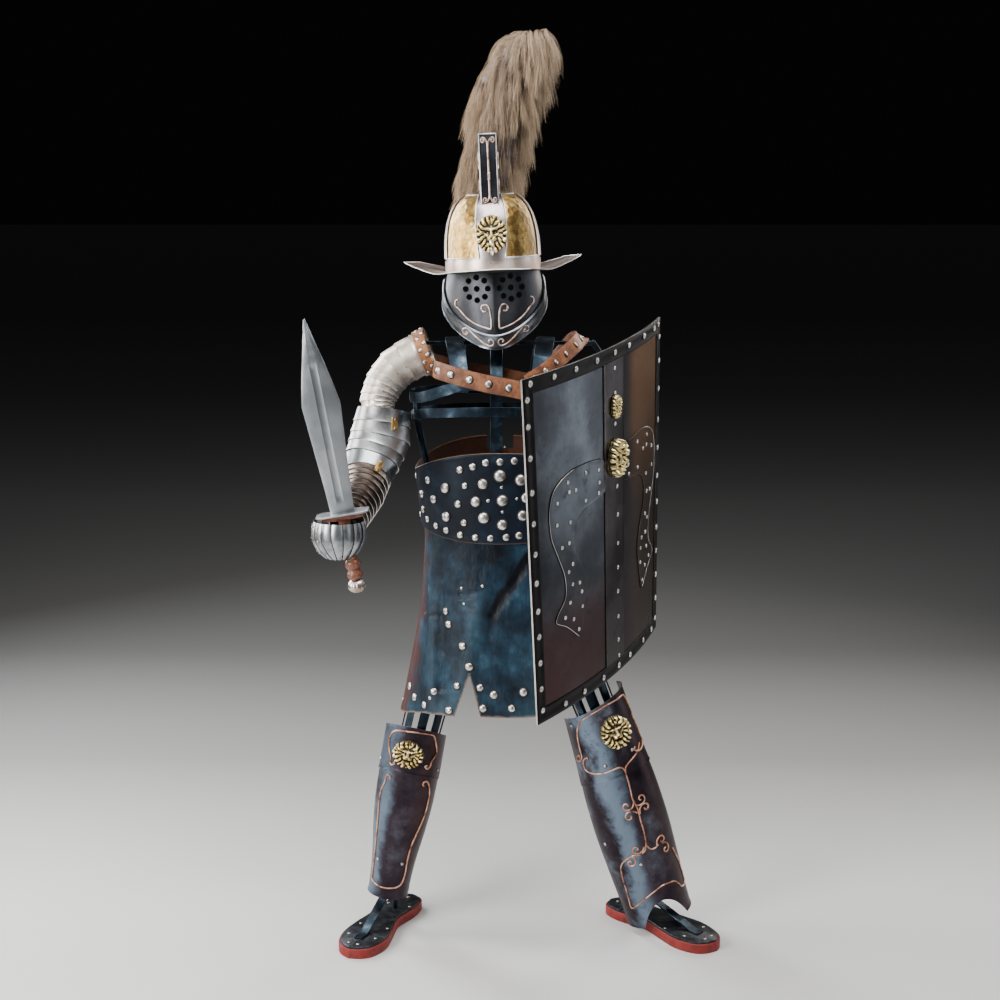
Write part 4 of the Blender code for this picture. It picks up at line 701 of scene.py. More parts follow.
def oval(angle, half_width, half_depth, power=OVAL):
    """Point of a rounded oval. Angle 0 is the front, -Y, and grows towards +X."""
    across = sin(angle)
    forward = cos(angle)
    x = copysign(abs(across) ** (2 / power), across) * half_width
    y = -copysign(abs(forward) ** (2 / power), forward) * half_depth
    return x, y


def bell(value, middle, half):
    """Smooth hump of height 1."""
    away = (value - middle) / half
    return exp(-away * away)


def add_piece(name, mesh, finishes, stands_for=(), soften=None):
    """Links a finished mesh as a piece of the set, riding on its one body."""
    for finish in finishes:
        mesh.materials.append(finish)
    made = new_object(name, mesh)
    if soften:
        bevel = made.modifiers.new("softened_edges", "BEVEL")
        bevel.width = soften
        bevel.segments = 2
        bevel.limit_method = "ANGLE"
        bevel.angle_limit = radians(40)
    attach(made, "root")
    if stands_for:
        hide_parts(*stands_for)
    return made


def smooth_mesh(name, bm, sharp=SHARP):
    """Mesh of a bmesh, crisp only where its faces turn by more than the sharp angle."""
    mesh = bpy.data.meshes.new(name)
    bm.to_mesh(mesh)
    bm.free()
    mesh.shade_smooth()
    mesh.set_sharp_from_angle(angle=radians(sharp))
    return mesh


def finish_mesh(name, bm, sharp=SHARP):
    bmesh.ops.recalc_face_normals(bm, faces=bm.faces)
    return smooth_mesh(name, bm, sharp)


def join_rings(bm, rings):
    """Faces between rings of vertices that follow one another."""
    count = len(rings[0])
    for low, high in zip(rings, rings[1:]):
        for k in range(count):
            after = (k + 1) % count
            bm.faces.new([low[k], low[after], high[after], high[k]])


def grid_normals(grid, around=False):
    """Outward normals of a grid whose rows go up and whose columns run anticlockwise from above."""
    rows = len(grid)
    cols = len(grid[0])
    normals = []
    for i in range(rows):
        low = grid[max(i - 1, 0)]
        high = grid[min(i + 1, rows - 1)]
        line = []
        for j in range(cols):
            left = (j - 1) % cols if around else max(j - 1, 0)
            right = (j + 1) % cols if around else min(j + 1, cols - 1)
            across = grid[i][right] - grid[i][left]
            line.append(across.cross(high[j] - low[j]).normalized())
        normals.append(line)
    return normals


def moved_out(grid, distance, around=False):
    normals = grid_normals(grid, around)
    return [[p + n * distance for p, n in zip(line, out)] for line, out in zip(grid, normals)]


def wall_mesh(name, outer, inner, around=False, keep=None, cap=False, flat=None, edge_slot=0, inner_slot=0):
    """Closed wall between two grids, with a UV map from flat(i, j), or shares of rows and columns.

    Its edges and its inner side may have material slots of their own.
    """
    rows = len(outer)
    cols = len(outer[0])
    last_col = cols if around else cols - 1
    bm = bmesh.new()
    uv = bm.loops.layers.uv.new("UVMap")
    made = {}
    flat = flat or (lambda i, j: (j / last_col, i / (rows - 1)))

    def corner(side, i, j):
        key = (side, i, j % cols)
        if key not in made:
            made[key] = bm.verts.new((outer if side else inner)[i][j % cols])
        return made[key]

    def face(corners):
        new = bm.faces.new([corner(*at) for at in corners])
        for loop, (side, i, j) in zip(new.loops, corners):
            loop[uv].uv = flat(i, j)
        return new

    edges = set()
    for i in range(rows - 1):
        for j in range(last_col):
            if keep is not None and not keep(i, j):
                continue
            ring = [(i, j), (i, j + 1), (i + 1, j + 1), (i + 1, j)]
            face([(True, *at) for at in ring])
            face([(False, *at) for at in reversed(ring)]).material_index = inner_slot
            edges.update(zip(ring, ring[1:] + ring[:1]))
    if cap:
        last = [(rows - 1, j) for j in range(cols)]
        face([(True, *at) for at in last])
        face([(False, *at) for at in reversed(last)]).material_index = inner_slot
        edges.update(((rows - 1, j + 1), (rows - 1, j)) for j in range(cols))
    present = {((a[0], a[1] % cols), (b[0], b[1] % cols)) for a, b in edges}
    for start, end in edges:
        back = ((end[0], end[1] % cols), (start[0], start[1] % cols))
        if back in present:
            continue
        if cap and start[0] == rows - 1 and end[0] == rows - 1:
            continue
        face([(True, *end), (True, *start), (False, *start), (False, *end)]).material_index = edge_slot
    return finish_mesh(name, bm)


def sheet_mesh(name, outer, thickness, around=False, **options):
    return wall_mesh(name, outer, moved_out(outer, -thickness, around), around, **options)


def strap_mesh(name, path, outs, width, thickness, across=7, crown=0.0006):
    """Flat strap with softly rounded edges. Its outer face runs through the path and looks along outs."""
    shares = [sin(t) for t in spread(-pi / 2, pi / 2, across)]
    outer = [[] for _ in shares]
    inner = [[] for _ in shares]
    for j, (point, out) in enumerate(zip(path, outs)):
        ahead = path[min(j + 1, len(path) - 1)] - path[max(j - 1, 0)]
        up = out.normalized()
        side = up.cross(ahead).normalized() * (width / 2)
        for k, share in enumerate(shares):
            drop = crown * share * share + (0.0009 if abs(share) > 0.99 else 0.0)
            outer[k].append(point + side * share - up * drop)
            inner[k].append(point + side * share - up * (thickness - (0.0007 if abs(share) > 0.99 else 0.0)))
    return wall_mesh(name, outer, inner)


def smooth_path(points, outs, steps):
    """A finer path and the ways it looks, smooth through the given ones."""
    fine = [Vector(p) for p in curve_through(points, steps)]
    looks = [Vector(p).normalized() for p in curve_through([out.normalized() for out in outs], steps)]
    return fine, looks


def copy_of(node, name, finishes, soften=0.0006):
    """A merged, bevelled copy of a solid whose shape is already right."""
    bm = bmesh.new()
    bm.from_mesh(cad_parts[node].data)
    bmesh.ops.remove_doubles(bm, verts=bm.verts, dist=1e-6)
    bmesh.ops.dissolve_limit(bm, angle_limit=radians(0.5), verts=bm.verts, edges=bm.edges)
    mesh = finish_mesh(name, bm)
    mesh.materials.clear()
    return add_piece(name, mesh, finishes, (node,), soften)


# Geometry Nodes makers

class Maker(Graph):
    """A Geometry Nodes tree with named inputs."""

    def __init__(self, name, inputs):
        tree = bpy.data.node_groups.new(name, "GeometryNodeTree")
        tree.is_modifier = True
        super().__init__(tree)
        tree.interface.new_socket("Geometry", in_out="INPUT", socket_type="NodeSocketGeometry")
        for label, kind in inputs.items():
            tree.interface.new_socket(label, in_out="INPUT", socket_type="NodeSocket" + kind)
        tree.interface.new_socket("Geometry", in_out="OUTPUT", socket_type="NodeSocketGeometry")
        self.entry = tree.nodes.new("NodeGroupInput")
        self.exit = tree.nodes.new("NodeGroupOutput")

    def given(self, label):
        return Value(self, self.entry.outputs[label])

    def attribute(self, label, kind="FLOAT"):
        return self.add("GeometryNodeInputNamedAttribute", {"data_type": kind}, {"Name": label})

    def give(self, shape):
        self.put(self.exit.inputs[0], shape)

    def grow(self, name, mesh, **inputs):
        """Plain mesh that the tree makes of a seed mesh."""
        seed = new_object(name + "_seed", mesh)
        growth = seed.modifiers.new("growth", "NODES")
        growth.node_group = self.tree
        for item in self.tree.interface.items_tree:
            if item.in_out == "INPUT" and item.name in inputs:
                growth[item.identifier] = inputs[item.name]
        graph = bpy.context.evaluated_depsgraph_get()
        made = bpy.data.meshes.new_from_object(seed.evaluated_get(graph), depsgraph=graph)
        seed.modifiers.remove(growth)
        bpy.data.objects.remove(seed)
        made.name = name
        return made


def stud_maker():
    """Domed studs on points: attribute facing is the way each looks, radius its size."""
    maker = Maker("domed_studs", {"Dome": "Float", "Sides": "Int", "Rings": "Int", "Collar": "Float",
                                  "Uneven": "Float", "Seed": "Int", "Metal": "Material", "Grime": "Material"})
    ball = maker.add("GeometryNodeMeshUVSphere", None,
                     {0: maker.given("Sides"), 1: maker.given("Rings"), 2: 1.0})
    place = maker.add("GeometryNodeInputPosition")
    parts = [maker.add("ShaderNodeSeparateXYZ", None, {0: place}, axis) for axis in ("X", "Y", "Z")]
    over = parts[2].sum("GREATER_THAN", parts[2], 0.0)
    height = parts[2] * (over * maker.given("Dome") + (1.0 - over) * 0.15)
    squashed = maker.add("ShaderNodeCombineXYZ", None, {0: parts[0], 1: parts[1], 2: height})
    dome = maker.add("GeometryNodeSetPosition", None, {"Geometry": ball, "Position": squashed})
    # painted shadow and grime: a flat dark collar under each dome
    plate = maker.add("GeometryNodeMeshCylinder", None,
                      {"Vertices": maker.given("Sides"), "Radius": maker.given("Collar"), "Depth": 0.11})
    marked = maker.add("GeometryNodeStoreNamedAttribute", {"data_type": "BOOLEAN", "domain": "FACE"},
                       {"Geometry": plate, "Name": "grimy", "Value": True})
    stud = maker.add("GeometryNodeJoinGeometry", None, {0: dome})
    maker.tree.links.new(marked.socket, stud.socket.node.inputs[0])
    turned = maker.add("FunctionNodeAlignRotationToVector", {"axis": "Z"},
                       {"Vector": maker.attribute("facing", "FLOAT_VECTOR")})
    uneven = maker.given("Uneven")
    wobble = maker.add("FunctionNodeRandomValue", {"data_type": "FLOAT"},
                       {2: 1.0 - uneven, 3: 1.0 + uneven, "Seed": maker.given("Seed")}, 1)
    size = maker.attribute("radius") * wobble
    copies = maker.add("GeometryNodeInstanceOnPoints", None,
                       {"Points": maker.given("Geometry"), "Instance": stud, "Rotation": turned,
                        "Scale": size})
    real = maker.add("GeometryNodeRealizeInstances", None, {0: copies})
    real = maker.add("GeometryNodeSetShadeSmooth", None, {0: real})
    metal = maker.add("GeometryNodeSetMaterial", None, {"Geometry": real, "Material": maker.given("Metal")})
    maker.give(maker.add("GeometryNodeSetMaterial", None, {
        "Geometry": metal, "Selection": maker.attribute("grimy", "BOOLEAN"),
        "Material": maker.given("Grime")}))
    return maker


def wire_maker():
    """Round wire along polylines, closed at its ends."""
    maker = Maker("bead_wire", {"Radius": "Float", "Sides": "Int", "Metal": "Material"})
    lines = maker.add("GeometryNodeMeshToCurve", None, {0: maker.given("Geometry")})
    ring = maker.add("GeometryNodeCurvePrimitiveCircle", None,
                     {"Resolution": maker.given("Sides"), "Radius": maker.given("Radius")})
    wire = maker.add("GeometryNodeCurveToMesh", None,
                     {"Curve": lines, "Profile Curve": ring, "Fill Caps": True})
    wire = maker.add("GeometryNodeSetShadeSmooth", None, {0: wire})
    real = maker.add("GeometryNodeRealizeInstances", None, {0: wire})
    maker.give(maker.add("GeometryNodeSetMaterial", None,
                         {"Geometry": real, "Material": maker.given("Metal")}))
    return maker


def barb_maker():
    """Feather barbs: each guide line becomes a lock of tapering strands that part towards their tips."""
    maker = Maker("plume_locks", {"Strands": "Int", "Parting": "Float", "Root": "Float", "Seed": "Int",
                                  "Finish": "Material"})
    lines = maker.add("GeometryNodeMeshToCurve", None, {0: maker.given("Geometry")})
    many = maker.add("GeometryNodeDuplicateElements", {"domain": "SPLINE"},
                     {"Geometry": lines, "Amount": maker.given("Strands")})
    index = maker.add("GeometryNodeInputIndex")
    apart = maker.add("FunctionNodeRandomValue", {"data_type": "FLOAT_VECTOR"},
                      {0: (-1.0, -1.0, -1.0), 1: (1.0, 1.0, 1.0), "ID": index, "Seed": maker.given("Seed")})
    apart = maker.add("GeometryNodeFieldOnDomain", {"data_type": "FLOAT_VECTOR", "domain": "CURVE"},
                      {0: apart})
    along = maker.add("GeometryNodeSplineParameter")
    push = maker.add("ShaderNodeVectorMath", {"operation": "SCALE"},
                     {0: apart, "Scale": (0.25 + along * 0.9) * maker.given("Parting")})
    shade = maker.add("FunctionNodeRandomValue", {"data_type": "FLOAT"},
                      {"ID": index, "Seed": maker.given("Seed") + 7.0}, 1)
    shade = maker.add("GeometryNodeFieldOnDomain", {"data_type": "FLOAT", "domain": "CURVE"}, {0: shade})
    marked = maker.add("GeometryNodeStoreNamedAttribute", {"data_type": "FLOAT", "domain": "POINT"},
                       {"Geometry": many, "Name": "shade", "Value": shade})
    marked = maker.add("GeometryNodeStoreNamedAttribute", {"data_type": "FLOAT", "domain": "POINT"},
                       {"Geometry": marked, "Name": "reach", "Value": along})
    moved = maker.add("GeometryNodeSetPosition", None, {"Geometry": marked, "Offset": push})
    thin = maker.add("GeometryNodeSetCurveRadius", None,
                     {"Curve": moved, "Radius": maker.given("Root") * (1.0 - along * 0.85)})
    ring = maker.add("GeometryNodeCurvePrimitiveCircle", None, {"Resolution": 3, "Radius": 1.0})
    size = maker.add("GeometryNodeInputRadius")
    solid = maker.tree.nodes.new("GeometryNodeCurveToMesh")
    maker.put(solid.inputs["Curve"], thin)
    maker.put(solid.inputs["Profile Curve"], ring)
    if "Scale" in solid.inputs:
        maker.put(solid.inputs["Scale"], size)
    solid = Value(maker, solid.outputs[0])
    solid = maker.add("GeometryNodeSetShadeSmooth", None, {0: solid})
    real = maker.add("GeometryNodeRealizeInstances", None, {0: solid})
    maker.give(maker.add("GeometryNodeSetMaterial", None,
                         {"Geometry": real, "Material": maker.given("Finish")}))
    return maker


def stud_seed(name, studs):
    """Points for the stud maker from a list of place, facing and radius."""
    mesh = bpy.data.meshes.new(name)
    mesh.from_pydata([place for place, facing, radius in studs], [], [])
    mesh.attributes.new("facing", "FLOAT_VECTOR", "POINT")
    mesh.attributes.new("radius", "FLOAT", "POINT")
    looks = [c for place, facing, radius in studs for c in facing]
    mesh.attributes["facing"].data.foreach_set("vector", looks)
    mesh.attributes["radius"].data.foreach_set("value", [radius for place, facing, radius in studs])
    return mesh


def line_seed(name, lines):
    """Polylines for the wire and barb makers."""
    points = []
    edges = []
    for line in lines:
        start = len(points)
        points += [tuple(p) for p in line]
        edges += [(start + k, start + k + 1) for k in range(len(line) - 1)]
    mesh = bpy.data.meshes.new(name)
    mesh.from_pydata(points, edges, [])
    return mesh


class Bench:
    """The finishes and makers that every piece draws on."""

    def __init__(self):
        self.finish = Finishes()
        self.stud_tree = stud_maker()
        self.wire_tree = wire_maker()
        self.barb_tree = barb_maker()

    def studs(self, name, studs, metal, slot, dome=0.5, collar=1.2, sides=12, rings=6):
        mesh = self.stud_tree.grow(name, stud_seed(name, studs), Dome=dome, Sides=sides, Rings=rings,
                                   Collar=collar, Uneven=0.05, Seed=3, Metal=metal, Grime=self.finish.grime)
        return add_piece(name, mesh, ())

    def wires(self, name, lines, radius, metal, slot, sides=10):
        mesh = self.wire_tree.grow(name, line_seed(name, lines), Radius=radius, Sides=sides, Metal=metal)
        return add_piece(name, mesh, ())


# Lion masks

def lion_relief(x, y):
    """Height of a lion's face, 0 to 1, at a place of the unit disc: mane, brow, eyes, muzzle and chin."""
    radius = hypot(x, y)
    turn = atan2(x, y)
    height = 0.34 * max(0.0, 1.0 - radius * radius) ** 0.5 + 0.08
    swirl = 2.4 * radius * (1 if x > 0 else -1)
    outer = abs(sin(9.5 * turn + swirl + 0.5 * sin(5 * turn)))
    inner = abs(sin(7.5 * turn - 0.8 * swirl + 1.1))
    height += 0.62 * outer ** 1.4 * bell(radius, 0.86, 0.15)
    height += 0.46 * inner ** 1.3 * bell(radius, 0.62, 0.11)
    for side in (-1, 1):
        height += 0.30 * bell(x, side * 0.46, 0.12) * bell(y, 0.50, 0.11)
        lift = y - 0.22 - 0.16 * abs(x)
        height += 0.36 * bell(x, side * 0.24, 0.17) * bell(lift, 0.0, 0.065)
        height -= 0.42 * bell(x, side * 0.24, 0.125) * bell(y, 0.085, 0.070)
        height += 0.34 * bell(x, side * 0.24, 0.060) * bell(y, 0.080, 0.045)
        height += 0.36 * bell(x, side * 0.150, 0.115) * bell(y, -0.255, 0.110)
        height -= 0.20 * bell(x, side * 0.34, 0.045) * bell(y, -0.24, 0.14)
    height += 0.34 * bell(x, 0.0, 0.095) * bell(y, 0.05, 0.22)
    height += 0.30 * bell(x, 0.0, 0.140) * bell(y, -0.115, 0.060)
    height -= 0.50 * bell(x, 0.0, 0.230) * bell(y, -0.425 + 0.5 * x * x, 0.048)
    height += 0.26 * bell(x, 0.0, 0.140) * bell(y, -0.560, 0.070)
    return height


def lion_mask(bench, name, place, radius, tall, squash, node):
    """Cast mask with its back on the carrier. place(across, up) gives a point and normal there."""
    rings = 34
    spokes = 104
    scallops = 13
    bm = bmesh.new()
    recess = bm.verts.layers.float.new("recess")
    tops = []
    backs = []
    for i in range(rings + 1):
        share = 1.0 - i / rings * 0.985
        top_line = []
        for turn in full_turn(spokes):
            edge = 1.0 - 0.045 * (1.0 - abs(cos(0.5 * scallops * turn + 0.25 * sin(3 * turn))))
            x = share * sin(turn)
            y = share * cos(turn)
            point, normal = place(-x * radius * squash * edge, y * radius * edge)
            relief = lion_relief(x, y)
            around = [lion_relief(x + a, y + b) for a, b in ((0.09, 0), (-0.09, 0), (0, 0.09), (0, -0.09))]
            fall = min(1.0, (1.0 - share) / 0.05)
            vert = bm.verts.new(point + normal * (LAID + tall * relief * (0.35 + 0.65 * fall)))
            # patina and painted shade: darker where the relief is lower than around it, and at the mask's rim
            # where it meets the carrier
            vert[recess] = 0.40 + 4.0 * (sum(around) / 4 - relief) + 0.3 * (1.0 - fall)
            top_line.append(vert)
            backs.append(point + normal * LAID)
        tops.append(top_line)
    join_rings(bm, tops)
    bm.faces.new(tops[-1])
    foot = [bm.verts.new(p) for p in backs[:spokes]]
    join_rings(bm, [foot, tops[0]])
    bm.faces.new(foot)
    return add_piece(name, finish_mesh(name, bm, 60), (bench.finish.gold,), (node,))


# Helmet

HELMET_AT = Vector((-0.018, 0.0, 1.605)) + ORIGIN
HELMET_ROLL = Matrix.Rotation(radians(-2.5), 4, "Y")   # it sits a little askew on the stand
HELMET_PIVOT = Matrix.Translation((0.0, 0.0, 0.060))
HELMET_SET = Matrix.Translation(HELMET_AT) @ HELMET_PIVOT @ HELMET_ROLL @ HELMET_PIVOT.inverted()
CROWN_HALF = (0.107, 0.130)
CROWN_RISE = 0.178
FACE_DROP = 0.172
HOLE_RADIUS = 0.0066
HOLE_RING = 0.0248
FACE_RIDGE = 0.004
CHEEK_OFF = 0.0016
FACE_SECTIONS = [
    # drop below the brow, half width, half depth in front
    (0.000, 0.1040, 0.1272), (0.040, 0.1150, 0.1360), (0.080, 0.1180, 0.1430),
    (0.120, 0.1080, 0.1480), (0.150, 0.0930, 0.1470), (0.175, 0.0800, 0.1440),
]
BRIM_OUTLINE = [
    # angle from the front in degrees, reach, drop below the brow
    (0, 0.172, -0.006), (30, 0.176, -0.003), (43, 0.185, 0.001), (67, 0.179, -0.010),
    (90, 0.203, -0.025), (113, 0.184, -0.021), (140, 0.186, -0.006), (180, 0.186, 0.016),
]
CROWN_MASK_UP = 0.082      # middle of the mask over the brow
CREST_HALF = 0.0205
CREST_FRONT = -0.092
CREST_TOP = 0.303


def crown_point(angle, rise, out=0.0):
    """Bowl: full at the brow, rounded over like an egg."""
    share = max(1.0 - rise ** 3.0, 0.0) ** 0.36
    x, y = oval(angle, CROWN_HALF[0] * share + out, CROWN_HALF[1] * share + out, 2.0)
    return HELMET_SET @ Vector((x, y, CROWN_RISE * rise + out * rise ** 2))


def crown_normal(angle, rise):
    beside = crown_point(angle + 0.01, rise) - crown_point(angle - 0.01, rise)
    above = crown_point(angle, min(rise + 0.01, 0.99)) - crown_point(angle, rise - 0.01)
    return beside.cross(above).normalized()


def face_point(angle, drop, out=0.0):
    """Front of the helmet below the brow, with its upright ridge."""
    half_width = smooth_table(FACE_SECTIONS, drop, 1) + out
    half_depth = smooth_table(FACE_SECTIONS, drop, 2) + out
    x, y = oval(angle, half_width, half_depth, 2.0)
    ridge = FACE_RIDGE * max(0.0, 1.0 - abs(angle) / radians(14)) ** 1.3
    ridge *= held(min(drop / 0.03, (0.138 - drop) / 0.018))
    return HELMET_SET @ Vector((x, y - ridge, -drop))


def brow_line(angle):
    return 0.138 - 0.124 * min(abs(angle) / radians(84), 1.0) ** 1.9


def cheek_line(angle):
    return FACE_DROP - 0.112 * min(abs(angle) / radians(96), 1.0) ** 1.9


def helmet(bench):
    fin = bench.finish
    around = spread(-pi, pi, 97)[:-1]
    rises = [1.0 - (1.0 - t) ** 1.6 for t in spread(0.0, 1.0, 27)][:-1]
    rises[-1] = 0.9935
    bowl = [[crown_point(a, r) for a in around] for r in rises]
    add_piece("crown_bowl", sheet_mesh("crown_bowl", bowl, STEEL, True, cap=True, inner_slot=1),
              (fin.crown, fin.inside), ("helmet_crown",))

    for side, label in ((-1, "right"), (1, "left")):
        panel = []
        for r in spread(0.17, 0.945, 24):
            beside_crest = (CREST_HALF + 0.003) / (CROWN_HALF[0] * (1.0 - r ** 3.0) ** 0.36)
            front, back = max(mix(14, 24, r), math.degrees(asin(beside_crest))), mix(162, 150, r)
            turns = spread(front, back, 44) if side > 0 else spread(-back, -front, 44)
            panel.append([crown_point(radians(t), r) + crown_normal(radians(t), r) * 0.0016 for t in turns])
        name = "brass_panel_" + label
        add_piece(name, sheet_mesh(name, panel, 0.0012), (fin.brass,),
                  ("helmet_brass_panel_" + label,))
        border = list(panel[0]) + [line[-1] for line in panel[1:]]
        border += list(panel[-1])[::-1][1:] + [line[0] for line in panel[::-1]][1:]
        bench.wires("brass_panel_rim_" + label, [border], 0.0017, fin.edge, "bright_steel", 8)
        strip = []
        for r in spread(0.165, 0.94, 22):
            turns = spread(side * mix(68, 74, r), side * mix(106, 100, r), 9)[::side]
            strip.append([crown_point(radians(t), r, 0.0042) for t in turns])
        name = "crown_side_band_" + label
        add_piece(name, sheet_mesh(name, strip, 0.0014), (fin.crown,))

    off = STEEL + LAID + 0.0006
    band = [[crown_point(a, up / CROWN_RISE, off) for a in around] for up in (0.024, 0.012, 0.0)]
    flange = []
    for step in (0.02, 0.06, 0.16, 0.3, 0.45, 0.6, 0.75, 0.88, 0.96, 1.0):
        line = []
        for a, start in zip(around, band[-1]):
            degrees = abs(math.degrees(a))
            reach = from_table(BRIM_OUTLINE, degrees, 1)
            drop = from_table(BRIM_OUTLINE, degrees, 2)
            deep = min(reach, mix(0.172, 0.19, held((degrees - 55) / 25)))
            x, y = oval(a, reach, deep, 2.0)
            edge = HELMET_SET @ Vector((x, y, -drop))
            line.append(start.lerp(edge, step) + Vector((0, 0, 0.0016 * bell(step, 0.95, 0.06))))
        flange.append(line)
    add_piece("brim_plate", sheet_mesh("brim_plate", flange[::-1] + band[::-1], STEEL, True, inner_slot=1),
              (fin.brim, fin.inside), ("helmet_brim",))
    bench.wires("brim_edge_wire", [flange[-1] + flange[-1][:1]], 0.0014, fin.edge, "bright_steel", 8)

    turns = spread(radians(-88), radians(88), 89)
    plate = []
    for share in spread(1.0, 0.0, 30):
        lows = [min(brow_line(a) + 0.010, cheek_line(a) - 0.004) for a in turns]
        plate.append([face_point(a, mix(0.0006, low, share)) for a, low in zip(turns, lows)])
    visor = add_piece("visor_plate", sheet_mesh("visor_plate", plate, STEEL, inner_slot=1),
                      (fin.visor, fin.inside), ("helmet_visor",))
    drill_visor(visor)

    turns = spread(radians(-96), radians(96), 97)
    guard = []
    under = []
    rows = [(1.0, 0.0006), (0.97, 0.0), (0.8, 0.0), (0.6, 0.0), (0.42, 0.0), (0.28, 0.0004), (0.20, 0.0016),
            (0.14, 0.0030), (0.08, 0.0030), (0.03, 0.0014), (0.0, 0.0004)]
    for share, lift in rows:
        places = [(a, mix(brow_line(a), cheek_line(a), share)) for a in turns]
        guard.append([face_point(a, drop, STEEL + CHEEK_OFF + lift) for a, drop in places])
        under.append([face_point(a, drop, CHEEK_OFF + 0.6 * lift) for a, drop in places])
    add_piece("cheek_guard_plate", wall_mesh("cheek_guard_plate", guard, under, edge_slot=1, inner_slot=2),
              (fin.guard, fin.edge, fin.inside), ("helmet_cheek_guard",))
    visor_scrolls(bench)
    crest(bench)
    lion_mask(bench, "crown_lion", crown_place, 0.042, 0.016, 0.80, "helmet_lion_mask")
    tongue = []
    for up in spread(-0.046, -0.013, 12):
        narrow = held((up + 0.0464) / 0.006) ** 0.5
        line = []
        for across in spread(-0.0044, 0.0044, 7):
            point, normal = crown_place(across * narrow, up)
            lift = 0.0030 + 0.0065 * min(1.0, (up + 0.046) / 0.012) - 90 * across * across
            line.append(point + normal * lift)
        tongue.append(line)
    add_piece("crown_lion_tongue", sheet_mesh("crown_lion_tongue", tongue, 0.0025), (fin.silver,))


def drill_visor(visor):
    """Cuts the two rosettes of round sight holes."""
    bm = bmesh.new()
    for side in (-1, 1):
        for k in range(9):
            turn = tau * k / 8
            away = HOLE_RING if k else 0.0
            x = side * (0.038 + away * cos(turn))
            spot = HELMET_SET @ Matrix.Translation((x, -0.125, -0.036 + away * sin(turn)))
            spot = spot @ Matrix.Rotation(pi / 2, 4, "X")
            bmesh.ops.create_cone(bm, cap_ends=True, segments=28, radius1=HOLE_RADIUS, radius2=HOLE_RADIUS,
                                  depth=0.08, matrix=spot)
    cut_with(visor, bm)


def cut_with(target, bm):
    """Takes a cutter's shape out of a piece for good."""
    mesh = bpy.data.meshes.new("cutter")
    bm.to_mesh(mesh)
    bm.free()
    cutter = new_object("cutter", mesh)
    cutting = target.modifiers.new("cut", "BOOLEAN")
    cutting.object = cutter
    cutting.solver = "EXACT"
    graph = bpy.context.evaluated_depsgraph_get()
    cut_mesh = bpy.data.meshes.new_from_object(target.evaluated_get(graph), depsgraph=graph)
    target.modifiers.remove(cutting)
    target.data = cut_mesh
    cut_mesh.set_sharp_from_angle(angle=radians(SHARP))
    bpy.data.objects.remove(cutter)


# Copper scrolls on the face: angle from the front in degrees, drop below the brow in millimetres
VISOR_SCROLL = [
    (45.5, 61), (43.5, 59), (46.5, 62), (48.0, 68), (46.5, 74), (42.5, 79), (38.5, 88), (34.0, 98),
    (27.5, 108),
    (20.0, 116), (13.0, 121), (6.4, 124.5), (4.8, 121), (4.6, 112), (4.5, 100), (5.2, 86), (6.6, 76),
    (9.6, 71), (13.2, 73), (14.2, 79), (12.4, 86), (8.8, 85),
]
BIB_SCROLL = [
    (38.0, 131), (36.4, 134), (39.5, 136.5), (43.0, 134.5), (43.4, 129), (39.5, 123.5), (34.4, 122),
    (31.8, 127),
    (28.8, 135), (25.0, 143), (20.5, 151), (16.0, 157.5), (11.5, 161.5), (7.0, 162), (3.6, 158.5),
    (3.4, 152),
    (6.6, 148), (9.8, 150.5), (9.0, 155),
]


def visor_scrolls(bench):
    lines = []
    for side in (-1, 1):
        for table, out in ((VISOR_SCROLL, 0.0008), (BIB_SCROLL, STEEL + CHEEK_OFF + 0.0008)):
            points = curve_through(table, 4)
            lines.append([face_point(side * radians(a), drop / 1000.0, out) for a, drop in points])
    bench.wires("face_copper_scrolls", lines, 0.0019, bench.finish.face_copper, "hammered_brass")


def crown_place(across, up):
    """Point and normal of the bowl's front, measured from the mask's middle above the brow."""
    rise = (CROWN_MASK_UP + up) / CROWN_RISE
    share = (1.0 - rise ** 3.0) ** 0.36
    angle = asin(held(across / (CROWN_HALF[0] * share), -1.0))
    return crown_point(angle, rise) + crown_normal(angle, rise) * 0.0006, crown_normal(angle, rise)


